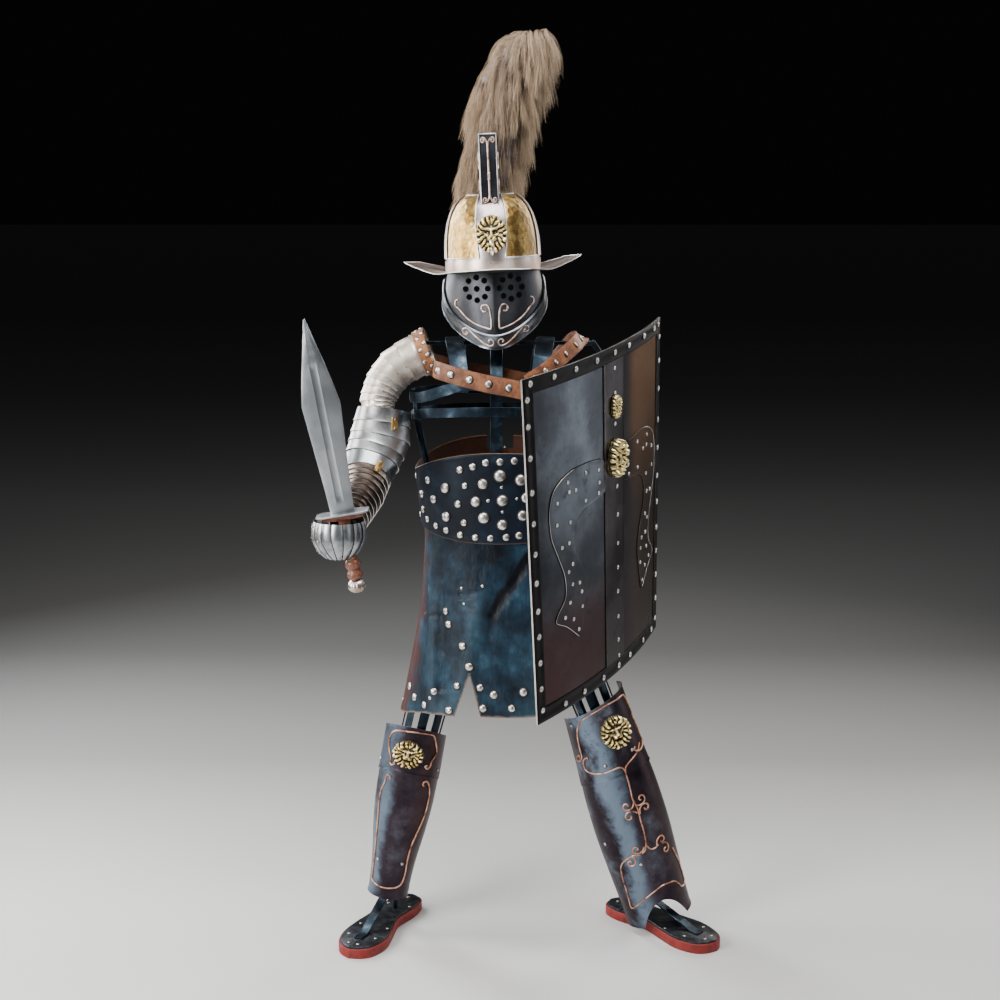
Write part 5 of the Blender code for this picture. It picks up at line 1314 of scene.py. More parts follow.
def crest(bench):
    """Crest box with its copper scrolls on the front and sides."""
    fin = bench.finish
    box = copy_of("helmet_crest_box", "crest_box", (fin.crest,), 0.0012)
    box.data.transform(HELMET_SET @ Matrix.Translation(-HELMET_AT))

    def front(across, up):
        share = (up - 0.150) / (CREST_TOP - 0.150)
        return HELMET_SET @ Vector((across, mix(CREST_FRONT, CREST_FRONT - 0.006, share) - 0.0012, up))

    half = CREST_HALF - 0.0016
    top, low = CREST_TOP - 0.0022, 0.139
    frame_line = [front(-half, low), front(half, low), front(half, top), front(-half, top), front(-half, low)]
    bench.wires("crest_box_rim", [frame_line], 0.0016, fin.edge, "bright_steel", 8)
    curl = [(0.0, 0.022), (0.002, 0.010), (0.0055, 0.002), (0.0115, -0.001), (0.0150, 0.004),
            (0.0125, 0.0092), (0.0082, 0.0078), (0.0085, 0.0040), (0.0112, 0.0038)]
    lines = []
    for end, way in ((CREST_TOP - 0.011, -1), (0.152, 1)):
        for side in (-1, 1):
            lines.append([front(side * x, end + way * up) for x, up in curve_through(curl, 4)])
    bench.wires("crest_copper_curls", lines, 0.0018, fin.face_copper, "hammered_brass")
    stems = [[front(0.0, z) for z in spread(a, b, 8)] for a, b in ((0.160, 0.206), (0.212, 0.286))]
    bench.wires("crest_copper_stems", stems, 0.0027, fin.face_copper, "hammered_brass")
    joints = [(front(0.0, z), Vector((0, -1, 0)), 0.0040) for z in (0.208, 0.203, 0.214)]
    bench.studs("crest_copper_joint", joints, fin.face_copper, "hammered_brass", 1.0, 0.8, 16, 8)
    lines = []
    for side in (-1, 1):
        x = side * (CREST_HALF + 0.0010)
        for middle in (0.185, 0.245):
            loop = []
            for t in spread(0, 1, 26):
                turn = radians(mix(-60, 330, t))
                size = mix(0.017, 0.005, t)
                y, z = -0.062 + size * cos(turn), middle + size * 1.3 * sin(turn)
                loop.append(HELMET_SET @ Vector((x, y, z)))
            lines.append(loop)
    bench.wires("crest_side_curls", lines, 0.0016, fin.face_copper, "hammered_brass")


# Plume

PLUME_SECTIONS = [
    # height over the brow, left edge, right edge, front, back
    (0.185, -0.056, 0.046, 0.002, 0.092),
    (0.200, -0.072, 0.057, 0.000, 0.105),
    (0.250, -0.070, 0.068, 0.000, 0.114),
    (0.300, -0.058, 0.078, -0.002, 0.118),
    (0.336, -0.044, 0.086, -0.012, 0.118),
    (0.372, -0.050, 0.096, -0.016, 0.114),
    (0.410, -0.046, 0.108, -0.024, 0.108),
    (0.448, -0.024, 0.122, -0.036, 0.098),
    (0.482, 0.008, 0.134, -0.048, 0.082),
    (0.510, 0.030, 0.136, -0.050, 0.060),
    (0.528, 0.050, 0.118, -0.040, 0.036),
]


def plume_point(turn, height, full=1.0):
    """Point of the plume's body. Turn 0 looks to the front and grows to the wearer's left."""
    left, right, front, back = [smooth_table(PLUME_SECTIONS, height, c) for c in (1, 2, 3, 4)]
    x = mix(left, right, 0.5 + 0.5 * full * sin(turn))
    y = mix(front, back, 0.5 - 0.5 * full * cos(turn))
    return HELMET_AT + Vector((x, y, height))


def plume(bench):
    fin = bench.finish
    turns = spread(0.0, tau, 49)[:-1]
    rings = []
    for h in spread(PLUME_SECTIONS[0][0], 0.514, 40):
        full = 0.86 - 0.25 * bell(h, 0.54, 0.02)
        rings.append([plume_point(t, h, full + 0.03 * sin(5 * t + 22 * h)) for t in turns])
    core = turned_mesh("plume_core", rings, Matrix(), 80)
    add_piece("plume_core", core, (fin.down,), ("helmet_plume",))

    rng = random.Random(11)
    locks = {"right": [], "front": [], "left": []}
    for _ in range(1350):
        height = 0.188 + 0.338 * rng.random() ** 0.9
        turn = rng.uniform(-pi, pi)
        vane = bell(height, 0.33, 0.12) * bell(math.degrees(turn), 26, 32)
        if rng.random() < 0.97 * vane:
            continue
        out = plume_point(turn, height, 1.0) - plume_point(turn, height, 0.5)
        out.z = 0.0
        out.normalize()
        top = max(0.0, (height - 0.43) / 0.095)
        foot = max(0.0, (0.222 - height) / 0.034)
        length = rng.uniform(0.050, 0.092)
        start = plume_point(turn, height, rng.uniform(0.72 - 0.60 * top, 0.88 - 0.10 * top))
        drift = Vector((rng.uniform(-0.22, 0.12), rng.uniform(-0.2, 0.2), 0.0))
        line = []
        point = start
        for s in spread(0.0, 1.0, 5):
            line.append(point)
            away = 0.17 + 0.24 * foot + 0.12 * top - 0.20 * s
            sink = 0.30 + 0.20 * foot - 0.36 * top + (0.75 + 0.5 * top) * s
            heading = out * away + drift * (0.3 + s) + Vector((0, 0, -sink))
            point = point + heading.normalized() * (length / 4)
        label = "front" if cos(turn) > 0.5 else "left" if turn > 0 else "right"
        locks[label].append(line)
    for label, lines in locks.items():
        name = "plume_locks_" + label
        mesh = bench.barb_tree.grow(name, line_seed(name, lines), Strands=13, Parting=0.0072, Root=0.00046,
                                    Seed=5, Finish=fin.barbs)
        add_piece(name, mesh, ())


# Arm guard

ARM_PATH = [
    # place along the path, x, y, z, radius across, radius front to back
    (0, -0.160, 0.000, 1.418, 0.048, 0.066), (1, -0.200, 0.000, 1.404, 0.046, 0.062),
    (2, -0.240, -0.005, 1.380, 0.044, 0.056), (3, -0.268, -0.012, 1.345, 0.041, 0.050),
    (4, -0.284, -0.020, 1.305, 0.037, 0.045), (5, -0.279, -0.030, 1.268, 0.028, 0.0407),
]
UPPER_BOUNDS = [0.05, 0.80, 1.50, 2.15, 2.70, 3.10, 3.45, 3.80, 4.15, 4.48, 4.8]      # where the lames end
FOREARM_PATH = [
    (0, -0.2690, -0.033, 1.284, 0.058, 0.056), (1, -0.2765, -0.049, 1.220, 0.066, 0.059),
    (2, -0.2950, -0.074, 1.170, 0.060, 0.055), (3, -0.3060, -0.110, 1.137, 0.053, 0.050),
    (4, -0.3120, -0.155, 1.108, 0.047, 0.046), (5, -0.3260, -0.203, 1.083, 0.042, 0.042),
    (6, -0.3380, -0.246, 1.063, 0.038, 0.039),
]
FIST_AT = Vector((-0.351, -0.292, 1.042)) + ORIGIN
FIST_HALF = (0.057, 0.053, 0.060)
FIST_RUN = (-0.80, 0.52)      # lowest and highest share of the knuckle shell's half height
FIST_LEAVES = [-130, -88, -60, -37, -12, 13, 38, 64, 93]   # degrees round the fist between its leaves


def arm_point(path, at, turn, out=0.0):
    """Point of the arm guard at a place along its path. Turn 0 is its upper side."""
    places = (at, min(at + 0.6, path[-1][0]), max(at - 0.6, 0))
    middle, ahead, behind = [Vector([from_table(path, p, c) for c in (1, 2, 3)]) for p in places]
    along = (ahead - behind).normalized()
    side = (Vector((0, 1, 0)) - along * along.y).normalized()
    up = side.cross(along)
    wide = from_table(path, at, 4) + out
    deep = from_table(path, at, 5) + out
    return ORIGIN + middle + up * cos(turn) * wide + side * sin(turn) * deep


def arm_normal(path, at, turn):
    return (arm_point(path, at, turn, 0.01) - arm_point(path, at, turn)).normalized()


def lames(bench, name, path, bounds, finish, node, step=0.0022, notch=0.0, lap=0.10, rivets=()):
    """Overlapping rings between bounds along the path, each flared over the next and bright at its lip, with
    a painted shadow ring just past each lip.
    """
    turns = full_turn(72)
    bm = bmesh.new()
    studs = []
    seam_shadows = []
    for k, (first, last) in enumerate(zip(bounds, bounds[1:])):
        first -= lap * (last - first) if k else 0.0
        outer = []
        for share, lift in ((1.0, step), (0.94, step * 0.86), (0.75, step * 0.55), (0.5, step * 0.3),
                            (0.25, step * 0.1), (0.06, 0.0), (0.0, 0.0)):
            line = []
            for turn in turns:
                bite = notch * (0.5 + 0.5 * cos(9 * turn + k)) ** 6 * share ** 6
                at = max(0.0, mix(first, last, share) - bite)
                line.append(arm_point(path, at, turn, STEEL + lift))
            outer.append(line)
        ring = sheet_mesh("lame", outer, 0.0011, True, edge_slot=1)
        bm.from_mesh(ring)
        bpy.data.meshes.remove(ring)
        # painted shadow: a dark wire ring on the next lame just past each lip, where the gap's shade falls
        if last < bounds[-1]:
            seam_shadows.append([arm_point(path, last + 0.015, turn, STEEL + 0.0003) for turn in turns + turns[:1]])
        for degrees in rivets:
            turn = radians(degrees)
            at = mix(first, last, 0.22)
            studs.append((arm_point(path, at, turn, STEEL + 0.0003), arm_normal(path, at, turn), 0.0030))
    add_piece(name, smooth_mesh(name, bm), (finish, bench.finish.edge), (node,))
    if seam_shadows:
        bench.wires(name + "_seams", seam_shadows, 0.0008, bench.finish.seam, "warm_lame_steel", 6)
    if studs:
        bench.studs(name + "_rivets", studs, bench.finish.rivet, "warm_lame_steel")


def arm_guard(bench):
    fin = bench.finish
    lames(bench, "shoulder_and_arm_lames", ARM_PATH, UPPER_BOUNDS, fin.lame, "arm_upper_lames", 0.0030, 0.025,
          rivets=(-100, -62, 62, 100))
    lames(bench, "elbow_cannon_lames", FOREARM_PATH, spread(0.0, 2.0, 5), fin.elbow, "arm_elbow_cannon",
          0.0026, rivets=(-74, 30, 108))
    lames(bench, "forearm_plate_lame", FOREARM_PATH, [2.018, 3.0], fin.forearm, "arm_forearm_plate", 0.0020)
    lames(bench, "wrist_lames", FOREARM_PATH, spread(3.016, 6.0, 10), fin.wrist, "arm_wrist_lames", 0.0026)
    gauntlet(bench)
    elbow_fittings(bench)
    copy_of("stand_arm_rod", "arm_rod", (fin.iron,), None)


def elbow_fittings(bench):
    """Brass lug at the elbow and a brass tab at the wrist."""
    fin = bench.finish
    for name, start, end, degrees, width in (("elbow_brass_lug", 0.30, 0.75, -118, 0.016),
                                             ("wrist_brass_tab", 2.60, 3.40, -112, 0.014)):
        turn = radians(degrees)
        points = [arm_point(FOREARM_PATH, at, turn, 0.0062) for at in spread(start, end, 9)]
        outs = [arm_normal(FOREARM_PATH, at, turn) for at in spread(start, end, 9)]
        add_piece(name, strap_mesh(name, points, outs, width, 0.0018), (fin.brass,))
        ends = [(points[k], outs[k], 0.0026) for k in (1, 7)]
        bench.studs(name + "_rivets", ends, fin.rivet, "hammered_brass")


def fist_share(share):
    """Width of the knuckle shell: drawn in towards its low end, squarer above."""
    power = 1.75 if share < 0 else 2.6
    return (1.0 - abs(share) ** power) ** (1 / power)


def fist_turn(degrees, share):
    """The leaves lean: their low ends draw together under the knuckles."""
    low = max(0.0, -share)
    return mix(degrees, 20.0, 0.30 * low) if degrees > -60 else degrees + 16.0 * low


def fist_point(degrees, share, lift):
    """Point of the knuckle shell from the fist's middle, at an angle round it and a share of its height."""
    full = fist_share(share)
    turn = radians(fist_turn(degrees, share))
    x, y = oval(turn, (FIST_HALF[0] + lift) * full, (FIST_HALF[1] + lift) * full, 2.0)
    return Vector((x, y, (FIST_HALF[2] + lift) * share))


def gauntlet(bench):
    """Knuckle shell: fluted leaves that meet below."""
    bm = bmesh.new()
    for start, end in zip(FIST_LEAVES, FIST_LEAVES[1:]):
        outer = []
        for share in spread(*FIST_RUN, 30):
            line = []
            for t in spread(0.0, 1.0, 12):
                lift = 0.0006 + 0.0034 * sin(pi * mix(0.06, 0.90, t)) ** 0.8 * fist_share(share)
                line.append(FIST_AT + fist_point(mix(start - 2.0, end, t), share, lift))
            outer.append(line)
        leaf = sheet_mesh("leaf", outer, 0.0012, edge_slot=1)
        bm.from_mesh(leaf)
        bpy.data.meshes.remove(leaf)
    add_piece("gauntlet_lames", smooth_mesh("gauntlet_lames", bm), (bench.finish.fist, bench.finish.edge),
              ("arm_gauntlet",))
    # painted shadow: dark wires along the gaps between the leaves
    seam_shadows = [[FIST_AT + fist_point(degrees + 0.6, share, 0.0018) for share in spread(*FIST_RUN, 24)]
             for degrees in FIST_LEAVES[1:-1]]
    bench.wires("gauntlet_seams", seam_shadows, 0.0012, bench.finish.seam, "bright_steel", 6)
    rivets = []
    for degrees in FIST_LEAVES[1:4]:
        for share in (-0.55, -0.1, 0.35):
            spot = fist_point(degrees - 8, share, 0.005)
            look = Vector((spot.x / FIST_HALF[0] ** 2, spot.y / FIST_HALF[1] ** 2, share / FIST_HALF[2]))
            rivets.append((FIST_AT + spot, look.normalized(), 0.0021))
    bench.studs("gauntlet_rivets", rivets, bench.finish.rivet, "bright_steel")


# Sword

SWORD_GUARD = Vector((-0.340, -0.312, 1.093)) + ORIGIN
SWORD_TIP = Vector((-0.410, -0.362, 1.519)) + ORIGIN
BLADE_HALF = 0.0030
FULLER_HALF = 0.0085
FULLER_DEEP = 0.0024
POMMEL_HALF = (0.0210, 0.0155)     # half width and half height
GRIP_TURNED = [
    # distance below the guard, half width, half depth
    (0.0120, 0.0132, 0.0122), (0.030, 0.0126, 0.0120), (0.060, 0.0112, 0.0112), (0.090, 0.0126, 0.0126),
    (0.100, 0.0122, 0.0122), (0.1035, 0.0110, 0.0110), (0.107, 0.0145, 0.0145), (0.112, 0.0170, 0.0170),
    (0.1195, 0.0172, 0.0172), (0.1245, 0.0145, 0.0145), (0.128, 0.0124, 0.0124), (0.1315, 0.0145, 0.0145),
    (0.137, 0.0170, 0.0170), (0.143, 0.0170, 0.0170), (0.1475, 0.0145, 0.0145), (0.150, 0.0124, 0.0124),
]
BLADE_OUTLINE = [
    # distance from the guard, half width
    (0.0045, 0.0262), (0.060, 0.0285), (0.150, 0.0352), (0.247, 0.0418), (0.295, 0.0330), (0.345, 0.0220),
    (0.395, 0.0105), (0.432, 0.0020),
]


def turned_mesh(name, rings, matrix, sharp=50):
    """Closed round form through rings of points in a frame of its own."""
    bm = bmesh.new()
    lines = [[bm.verts.new(matrix @ Vector(p)) for p in ring] for ring in rings]
    join_rings(bm, lines)
    bm.faces.new(lines[0][::-1])
    bm.faces.new(lines[-1])
    return finish_mesh(name, bm, sharp)


def sword(bench):
    fin = bench.finish
    along = (SWORD_TIP - SWORD_GUARD).normalized()
    side = (Vector((1, 0, 0)) - along * along.x).normalized()
    hilt = Matrix.Translation(SWORD_GUARD) @ Matrix((side, along.cross(side), along)).transposed().to_4x4()
    copy_of("sword_guard", "hilt_plate", (fin.fist,), 0.0010)
    hollow = (0.0, 0.35, 0.65, 0.88, 1.0)
    flank = (0.55, 0.78, 0.93, 1.0)
    rings = []
    for z in spread(0.0045, 0.432, 80):
        half = from_table(BLADE_OUTLINE, z, 1)
        ends = held(min(z - 0.030, 0.335 - z) / 0.010) ** 0.5
        groove = min(FULLER_HALF, half * 0.4)
        face = [(groove * t, BLADE_HALF - FULLER_DEEP * ends * (1.0 - t * t) ** 0.5) for t in hollow]
        face += [(mix(groove, half, t), BLADE_HALF * (1.0 - t) ** 0.6) for t in flank]
        front = [(-x, -y) for x, y in face[::-1]] + [(x, -y) for x, y in face[1:]]
        ring = front + [(-x, -y) for x, y in front[1:-1]]
        rings.append([(x, y, z) for x, y in ring])
    add_piece("blade", turned_mesh("blade", rings, hilt, 14), (fin.blade,), ("sword_blade",))
    turns = full_turn(40)
    rings = []
    wooden = [(0.0008, 0.0480, 0.0170), (0.0025, 0.0486, 0.0176), (0.0060, 0.0482, 0.0172),
              (0.0088, 0.0470, 0.0165), (0.0102, 0.0450, 0.0155), (0.0110, 0.0150, 0.0130)]
    for z, wide, deep in wooden:
        rings.append([(wide * cos(t), deep * sin(t), -z) for t in turns])
    for z in spread(0.0120, 0.150, 70):
        wide = smooth_table(GRIP_TURNED, z, 1)
        deep = smooth_table(GRIP_TURNED, z, 2)
        rings.append([(wide * cos(t), deep * sin(t), -z) for t in turns])
    add_piece("turned_grip", turned_mesh("turned_grip", rings, hilt), (fin.wood,),
              ("sword_grip",))
    rings = []
    for up in spread(82, -82, 26):
        level = POMMEL_HALF[1] * sin(radians(up)) / sin(radians(82))
        radius = POMMEL_HALF[0] * cos(radians(up)) ** 0.9
        line = []
        for t in full_turn(96):
            fluted = radius * (1.0 - 0.055 * (0.5 + 0.5 * cos(12 * t)) ** 3 * cos(radians(up)))
            line.append((fluted * cos(t), fluted * sin(t), level - POMMEL_HALF[1] - 0.1503))
        rings.append(line)
    add_piece("fluted_pommel", turned_mesh("fluted_pommel", rings, hilt, 60), (fin.pommel,),
              ("sword_pommel",))


# Belt and skirt

BELT_TOP = 1.150
BELT_LOW = 1.010
BELT_LEATHER = 0.0035
BELT_END = radians(173)
BELT_HALF = ((0.184, 0.150), (0.199, 0.153))    # half width and depth at the low and top edge


def belt_point(angle, share, out=0.0):
    """Belt's outer face: share 0 at its low edge, 1 at its top edge, which rises front and back."""
    end = abs(cos(angle)) ** 1.5
    height = mix(mix(1.016, 0.992, end), mix(1.146, 1.202, end), share)
    t = (height - BELT_LOW) / (BELT_TOP - BELT_LOW)
    half_width, half_depth = [mix(low, top, t) + out for low, top in zip(*BELT_HALF)]
    x, y = oval(angle, half_width, half_depth)
    return ORIGIN + Vector((x, y, height))


def belt_spot(degrees, height):
    """Place and facing of the belt at an angle and a height."""
    angle = radians(degrees)
    low, top = belt_point(angle, 0.0).z, belt_point(angle, 1.0).z
    share = (height - low) / (top - low)
    point = belt_point(angle, share)
    return point, (belt_point(angle, share, 0.01) - point).normalized()


BELT_STUDS = [
    # angle from the front in degrees, height, radius
    (-24, 1.162, 0.008), (-15, 1.170, 0.008), (-7, 1.180, 0.008), (0, 1.182, 0.008), (7, 1.184, 0.008),
    (-37, 1.118, 0.012), (-9, 1.131, 0.012), (0, 1.150, 0.0125), (11, 1.140, 0.012), (-14, 1.090, 0.0115),
    (1, 1.093, 0.0125), (15, 1.099, 0.012), (-38, 1.051, 0.0115), (-9, 1.053, 0.0125), (1, 1.037, 0.012),
    (13, 1.058, 0.0115), (-21, 1.126, 0.0075), (-27, 1.083, 0.0085), (-23, 1.040, 0.0075),
    (0.6, 1.124, 0.0035), (-6, 1.0925, 0.004), (9, 1.097, 0.0035), (1, 1.067, 0.0035),
    (-55, 1.131, 0.008), (-50, 1.088, 0.009), (-68, 1.0935, 0.009), (-69, 1.057, 0.008),
    (-62, 1.037, 0.008),
    (-50, 1.026, 0.0075), (-39, 1.019, 0.008), (-26.5, 1.011, 0.008), (-15, 1.007, 0.008),
    (-5, 1.006, 0.008),
    (3, 1.008, 0.008), (11, 1.012, 0.008),
    (24, 1.164, 0.008), (33, 1.156, 0.008), (29, 1.108, 0.012), (27, 1.062, 0.011), (42, 1.120, 0.0085),
    (44, 1.064, 0.012), (21, 1.015, 0.008), (33, 1.020, 0.008), (46, 1.026, 0.008),
    (58, 1.128, 0.008), (62, 1.090, 0.009), (58, 1.040, 0.008), (76, 1.100, 0.009), (78, 1.056, 0.008),
]


def belt(bench):
    fin = bench.finish
    turns = spread(-BELT_END, BELT_END, 241)
    rows = []
    half = [0.0, 0.008, 0.02, 0.035, 0.055, 0.075, 0.2, 0.35, 0.5]
    for share in half + [1.0 - share for share in half[-2::-1]]:
        roll = 0.0013 * (bell(share, 0.028, 0.018) + bell(share, 0.972, 0.018))
        roll -= 0.0010 * (share in (0.0, 1.0))
        line = []
        for a in turns:
            wave = 0.0007 * noise.noise(Vector((6 * sin(a), 6 * cos(a), 7 * share)))
            line.append(belt_point(a, share, roll + wave))
        rows.append(line)
    made = add_piece("studded_belt", sheet_mesh("studded_belt", rows, BELT_LEATHER - 0.0004, inner_slot=1),
                     (fin.belt, fin.suede), ("belt",))
    studs = [(*belt_spot(degrees, height), radius) for degrees, height, radius in BELT_STUDS]
    for degrees in range(92, 172, 13):
        for way in (-1, 1):
            for height in (1.036, 1.128):
                studs.append((*belt_spot(way * degrees, height + 0.004 * sin(degrees)), 0.008))
    shown = bench.studs("belt_studs", studs, fin.silver, "bright_steel", 0.5, 1.16, 20, 10)
    back_strap(bench, "belt_back_strap_low", "belt_tab_low", 0.24)
    back_strap(bench, "belt_back_strap_high", "belt_tab_high", 0.78)


def back_strap(bench, name, node, share):
    """Short strap that closes the belt behind, with its roller buckle."""
    fin = bench.finish
    path = []
    outs = []
    for step in spread(-1, 1, 25):
        angle = pi + step * radians(15)
        path.append(belt_point(angle, share, LAID + 0.003 + 0.0006))
        outs.append(Vector((sin(angle) * 0.6, -cos(angle), 0.0)))
    add_piece(name, strap_mesh(name, path, outs, 0.024, 0.003), (fin.harness,), (node,))
    middle = path[12]
    out = outs[12].normalized()
    ring = []
    for t in spread(0.0, tau, 33):
        x, z = oval(t, 0.012, 0.0165, 4.0)
        ring.append(middle + Vector((x, 0.0, z)) + out * 0.0022)
    pin = [middle + Vector((x, 0.0, 0.0)) + out * (0.0026 + 0.0006 * cos(x * 200))
           for x in spread(-0.012, 0.012, 7)]
    bench.wires(name + "_buckle", [ring, pin], 0.0019, fin.rivet, "bright_steel")
    holes = [(path[k], outs[k].normalized(), 0.0032) for k in (3, 21)]
    bench.studs(name + "_rivets", holes, fin.rivet, "bright_steel")


SKIRT_LEATHER = 0.0025
SKIRT_REACH = 0.19      # mean distance of the hide from the figure's middle
SKIRT_SECTIONS = [
    # height, middle x, half width, half depth
    (0.560, 0.030, 0.2660, 0.1760), (0.628, 0.026, 0.2470, 0.1700), (0.728, 0.018, 0.2190, 0.1620),
    (0.825, 0.010, 0.1960, 0.1560), (0.920, 0.003, 0.1830, 0.1490), (0.975, 0.001, 0.1785, 0.1445),
    (1.010, 0.000, 0.1780, 0.1430), (1.040, 0.000, 0.1825, 0.1440), (1.075, 0.000, 0.1840, 0.1455),
]
SKIRT_FOLDS = [
    # angle and height at the top, angle and height at the bottom, half width, depth (minus is a valley)
    (40, 0.960, 30, 0.760, 0.020, -0.004), (27, 0.930, 13, 0.700, 0.026, 0.007),
    (-12, 0.900, -24, 0.680, 0.026, 0.007), (-48, 0.960, -42, 0.760, 0.014, -0.005),
    (-64, 0.960, -50, 0.720, 0.018, 0.007), (-92, 0.840, -90, 0.640, 0.020, 0.003),
    (46, 0.950, 40, 0.620, 0.024, -0.009), (66, 0.900, 62, 0.600, 0.024, 0.009),
    (112, 0.930, 108, 0.620, 0.026, -0.009), (138, 0.900, 134, 0.600, 0.028, 0.010),
    (164, 0.950, 166, 0.620, 0.026, -0.010), (192, 0.900, 190, 0.600, 0.028, 0.010),
    (222, 0.950, 226, 0.640, 0.026, -0.009), (250, 0.900, 254, 0.620, 0.024, 0.008),
]
SKIRT_CREASES = [
    # angle and height at the start, angle and height at the end, half width, depth
    (20, 0.972, 3, 0.886, 0.0110, -0.0080), (2, 0.884, -7, 0.826, 0.0100, -0.0065),
    (-7, 0.830, -10, 0.765, 0.0090, -0.0034), (28, 0.945, 18, 0.886, 0.0065, -0.0050),
    (-37, 0.866, -13, 0.884, 0.0022, -0.0020), (-35, 0.858, -18, 0.871, 0.0020, -0.0016),
    (-38, 0.876, -24, 0.880, 0.0020, 0.0012), (-30, 0.847, -16, 0.844, 0.0022, -0.0016),
    (-72, 0.912, -58, 0.878, 0.0050, -0.0034), (-56, 0.950, -46, 0.880, 0.0035, 0.0020),
    (-75, 0.812, -47, 0.816, 0.0028, -0.0024), (-50, 0.836, -44, 0.806, 0.0024, -0.0014),
    (-62, 0.846, -47, 0.834, 0.0024, -0.0016), (-20, 0.940, -4, 0.955, 0.0060, -0.0018),
    (-46, 0.740, -30, 0.718, 0.0060, -0.0014), (-8, 0.760, 6, 0.742, 0.0070, -0.0016),
    (30, 0.960, 22, 0.870, 0.0060, -0.0028), (52, 0.900, 40, 0.800, 0.0060, -0.0026),
    (74, 0.880, 58, 0.838, 0.0050, -0.0020), (-84, 0.935, -76, 0.850, 0.0060, -0.0022),
    (120, 0.940, 112, 0.840, 0.0060, -0.0028), (146, 0.930, 152, 0.820, 0.0060, -0.0026),
    (176, 0.950, 170, 0.850, 0.0060, -0.0030), (204, 0.930, 210, 0.830, 0.0060, -0.0024),
    (236, 0.940, 230, 0.850, 0.0060, -0.0028), (156, 0.760, 176, 0.744, 0.0060, -0.0018),
    (214, 0.770, 238, 0.752, 0.0060, -0.0018),
]
SKIRT_HEM = [
    # degrees from the front, height
    (-180, 0.600), (-130, 0.576), (-90, 0.558), (-50, 0.584), (-20, 0.590), (0, 0.590),
    (22, 0.602), (45, 0.640), (65, 0.668), (110, 0.668), (150, 0.625), (180, 0.600),
]


def fold_relief(angle, height, table, ends_soft):
    """How far the leather stands out or falls in at a place of the skirt."""
    total = 0.0
    degrees = math.degrees(angle)
    for top_turn, top, low_turn, low, half, depth in table:
        if ends_soft:
            run = (radians(low_turn - top_turn) * SKIRT_REACH, low - top)
            away = ((degrees - top_turn + 180) % 360 - 180)
            here = (radians(away) * SKIRT_REACH, height - top)
            long = hypot(*run)
            along = (here[0] * run[0] + here[1] * run[1]) / long ** 2
            if along < -0.25 or along > 1.25:
                continue
            across = (here[0] * run[1] - here[1] * run[0]) / long / half
            ends = max(0.0, 1.0 - (2.0 * along - 1.0) ** 4 * 0.45)
            ends *= min(1.0, (along + 0.25) * 4, (1.25 - along) * 4)
        else:
            along = (top - height) / (top - low)
            if along < -0.15 or along > 1.6:
                continue
            away = (degrees - mix(top_turn, low_turn, along) + 180) % 360 - 180
            across = radians(away) * SKIRT_REACH / half
            ends = held((along + 0.15) / 0.4)
        total += depth * ends * exp(-across * across)
    return total


def skirt_point(angle, height, out=0.0):
    middle, half_width, half_depth = [smooth_table(SKIRT_SECTIONS, height, c) for c in (1, 2, 3)]
    x, y = oval(angle, half_width + out, half_depth + out)
    free = held((0.975 - height) / 0.06)
    outward = Vector((sin(angle), -cos(angle), 0.0))
    relief = fold_relief(angle, height, SKIRT_FOLDS, False) + fold_relief(angle, height, SKIRT_CREASES, True)
    relief += 0.0016 * noise.noise(Vector((9 * sin(angle), 9 * cos(angle), 14 * height)))
    return ORIGIN + Vector((x + middle, y, height)) + outward * relief * free


def skirt_hem(angle):
    degrees = (math.degrees(angle) + 180) % 360 - 180
    return smooth_table(SKIRT_HEM, degrees, 1)


def skirt_normal(angle, height):
    beside = skirt_point(angle + 0.02, height) - skirt_point(angle - 0.02, height)
    above = skirt_point(angle, height + 0.004) - skirt_point(angle, height - 0.004)
    return beside.cross(above).normalized()


SKIRT_STUDS = [
    # angle from the front in degrees, height, radius
    (-42, 0.828, 0.0085), (-38, 0.799, 0.0085), (-25, 0.754, 0.0085), (-20, 0.707, 0.009),
    (-75, 0.629, 0.009),
    (-43, 0.640, 0.0085), (-27, 0.661, 0.008), (-14, 0.658, 0.008), (-7, 0.642, 0.009), (5, 0.650, 0.009),
    (-51, 0.602, 0.008), (-31, 0.602, 0.009), (-12.5, 0.610, 0.009), (0, 0.612, 0.0085),
    (-27, 0.887, 0.0035), (-11, 0.895, 0.0035), (-25, 0.851, 0.0035), (-86, 0.586, 0.0035),
    (-45, 0.623, 0.004),
    (18, 0.640, 0.0085), (31, 0.650, 0.0085), (43, 0.672, 0.0085), (58, 0.696, 0.009), (-63, 0.612, 0.0085),
    (76, 0.700, 0.0085), (30, 0.704, 0.0085), (40, 0.752, 0.0085), (46, 0.806, 0.0085),
]


def shade_folds(mesh):
    """Marks every corner of the hide with how far it stands out, for the painted light and shade of its
    folds.
    """
    places = mesh.uv_layers.active.data
    shades = {}
    for loop in mesh.loops:
        k = loop.vertex_index
        if k not in shades:
            angle, height = tau * places[loop.index].uv.x, mesh.vertices[k].co.z
            shades[k] = (fold_relief(angle, height, SKIRT_FOLDS, False) * 80.0
                         + fold_relief(angle, height, SKIRT_CREASES, True) * 200.0)
    layer = mesh.attributes.new("fold", "FLOAT", "POINT")
    layer.data.foreach_set("value", [shades.get(k, 0.0) for k in range(len(mesh.vertices))])


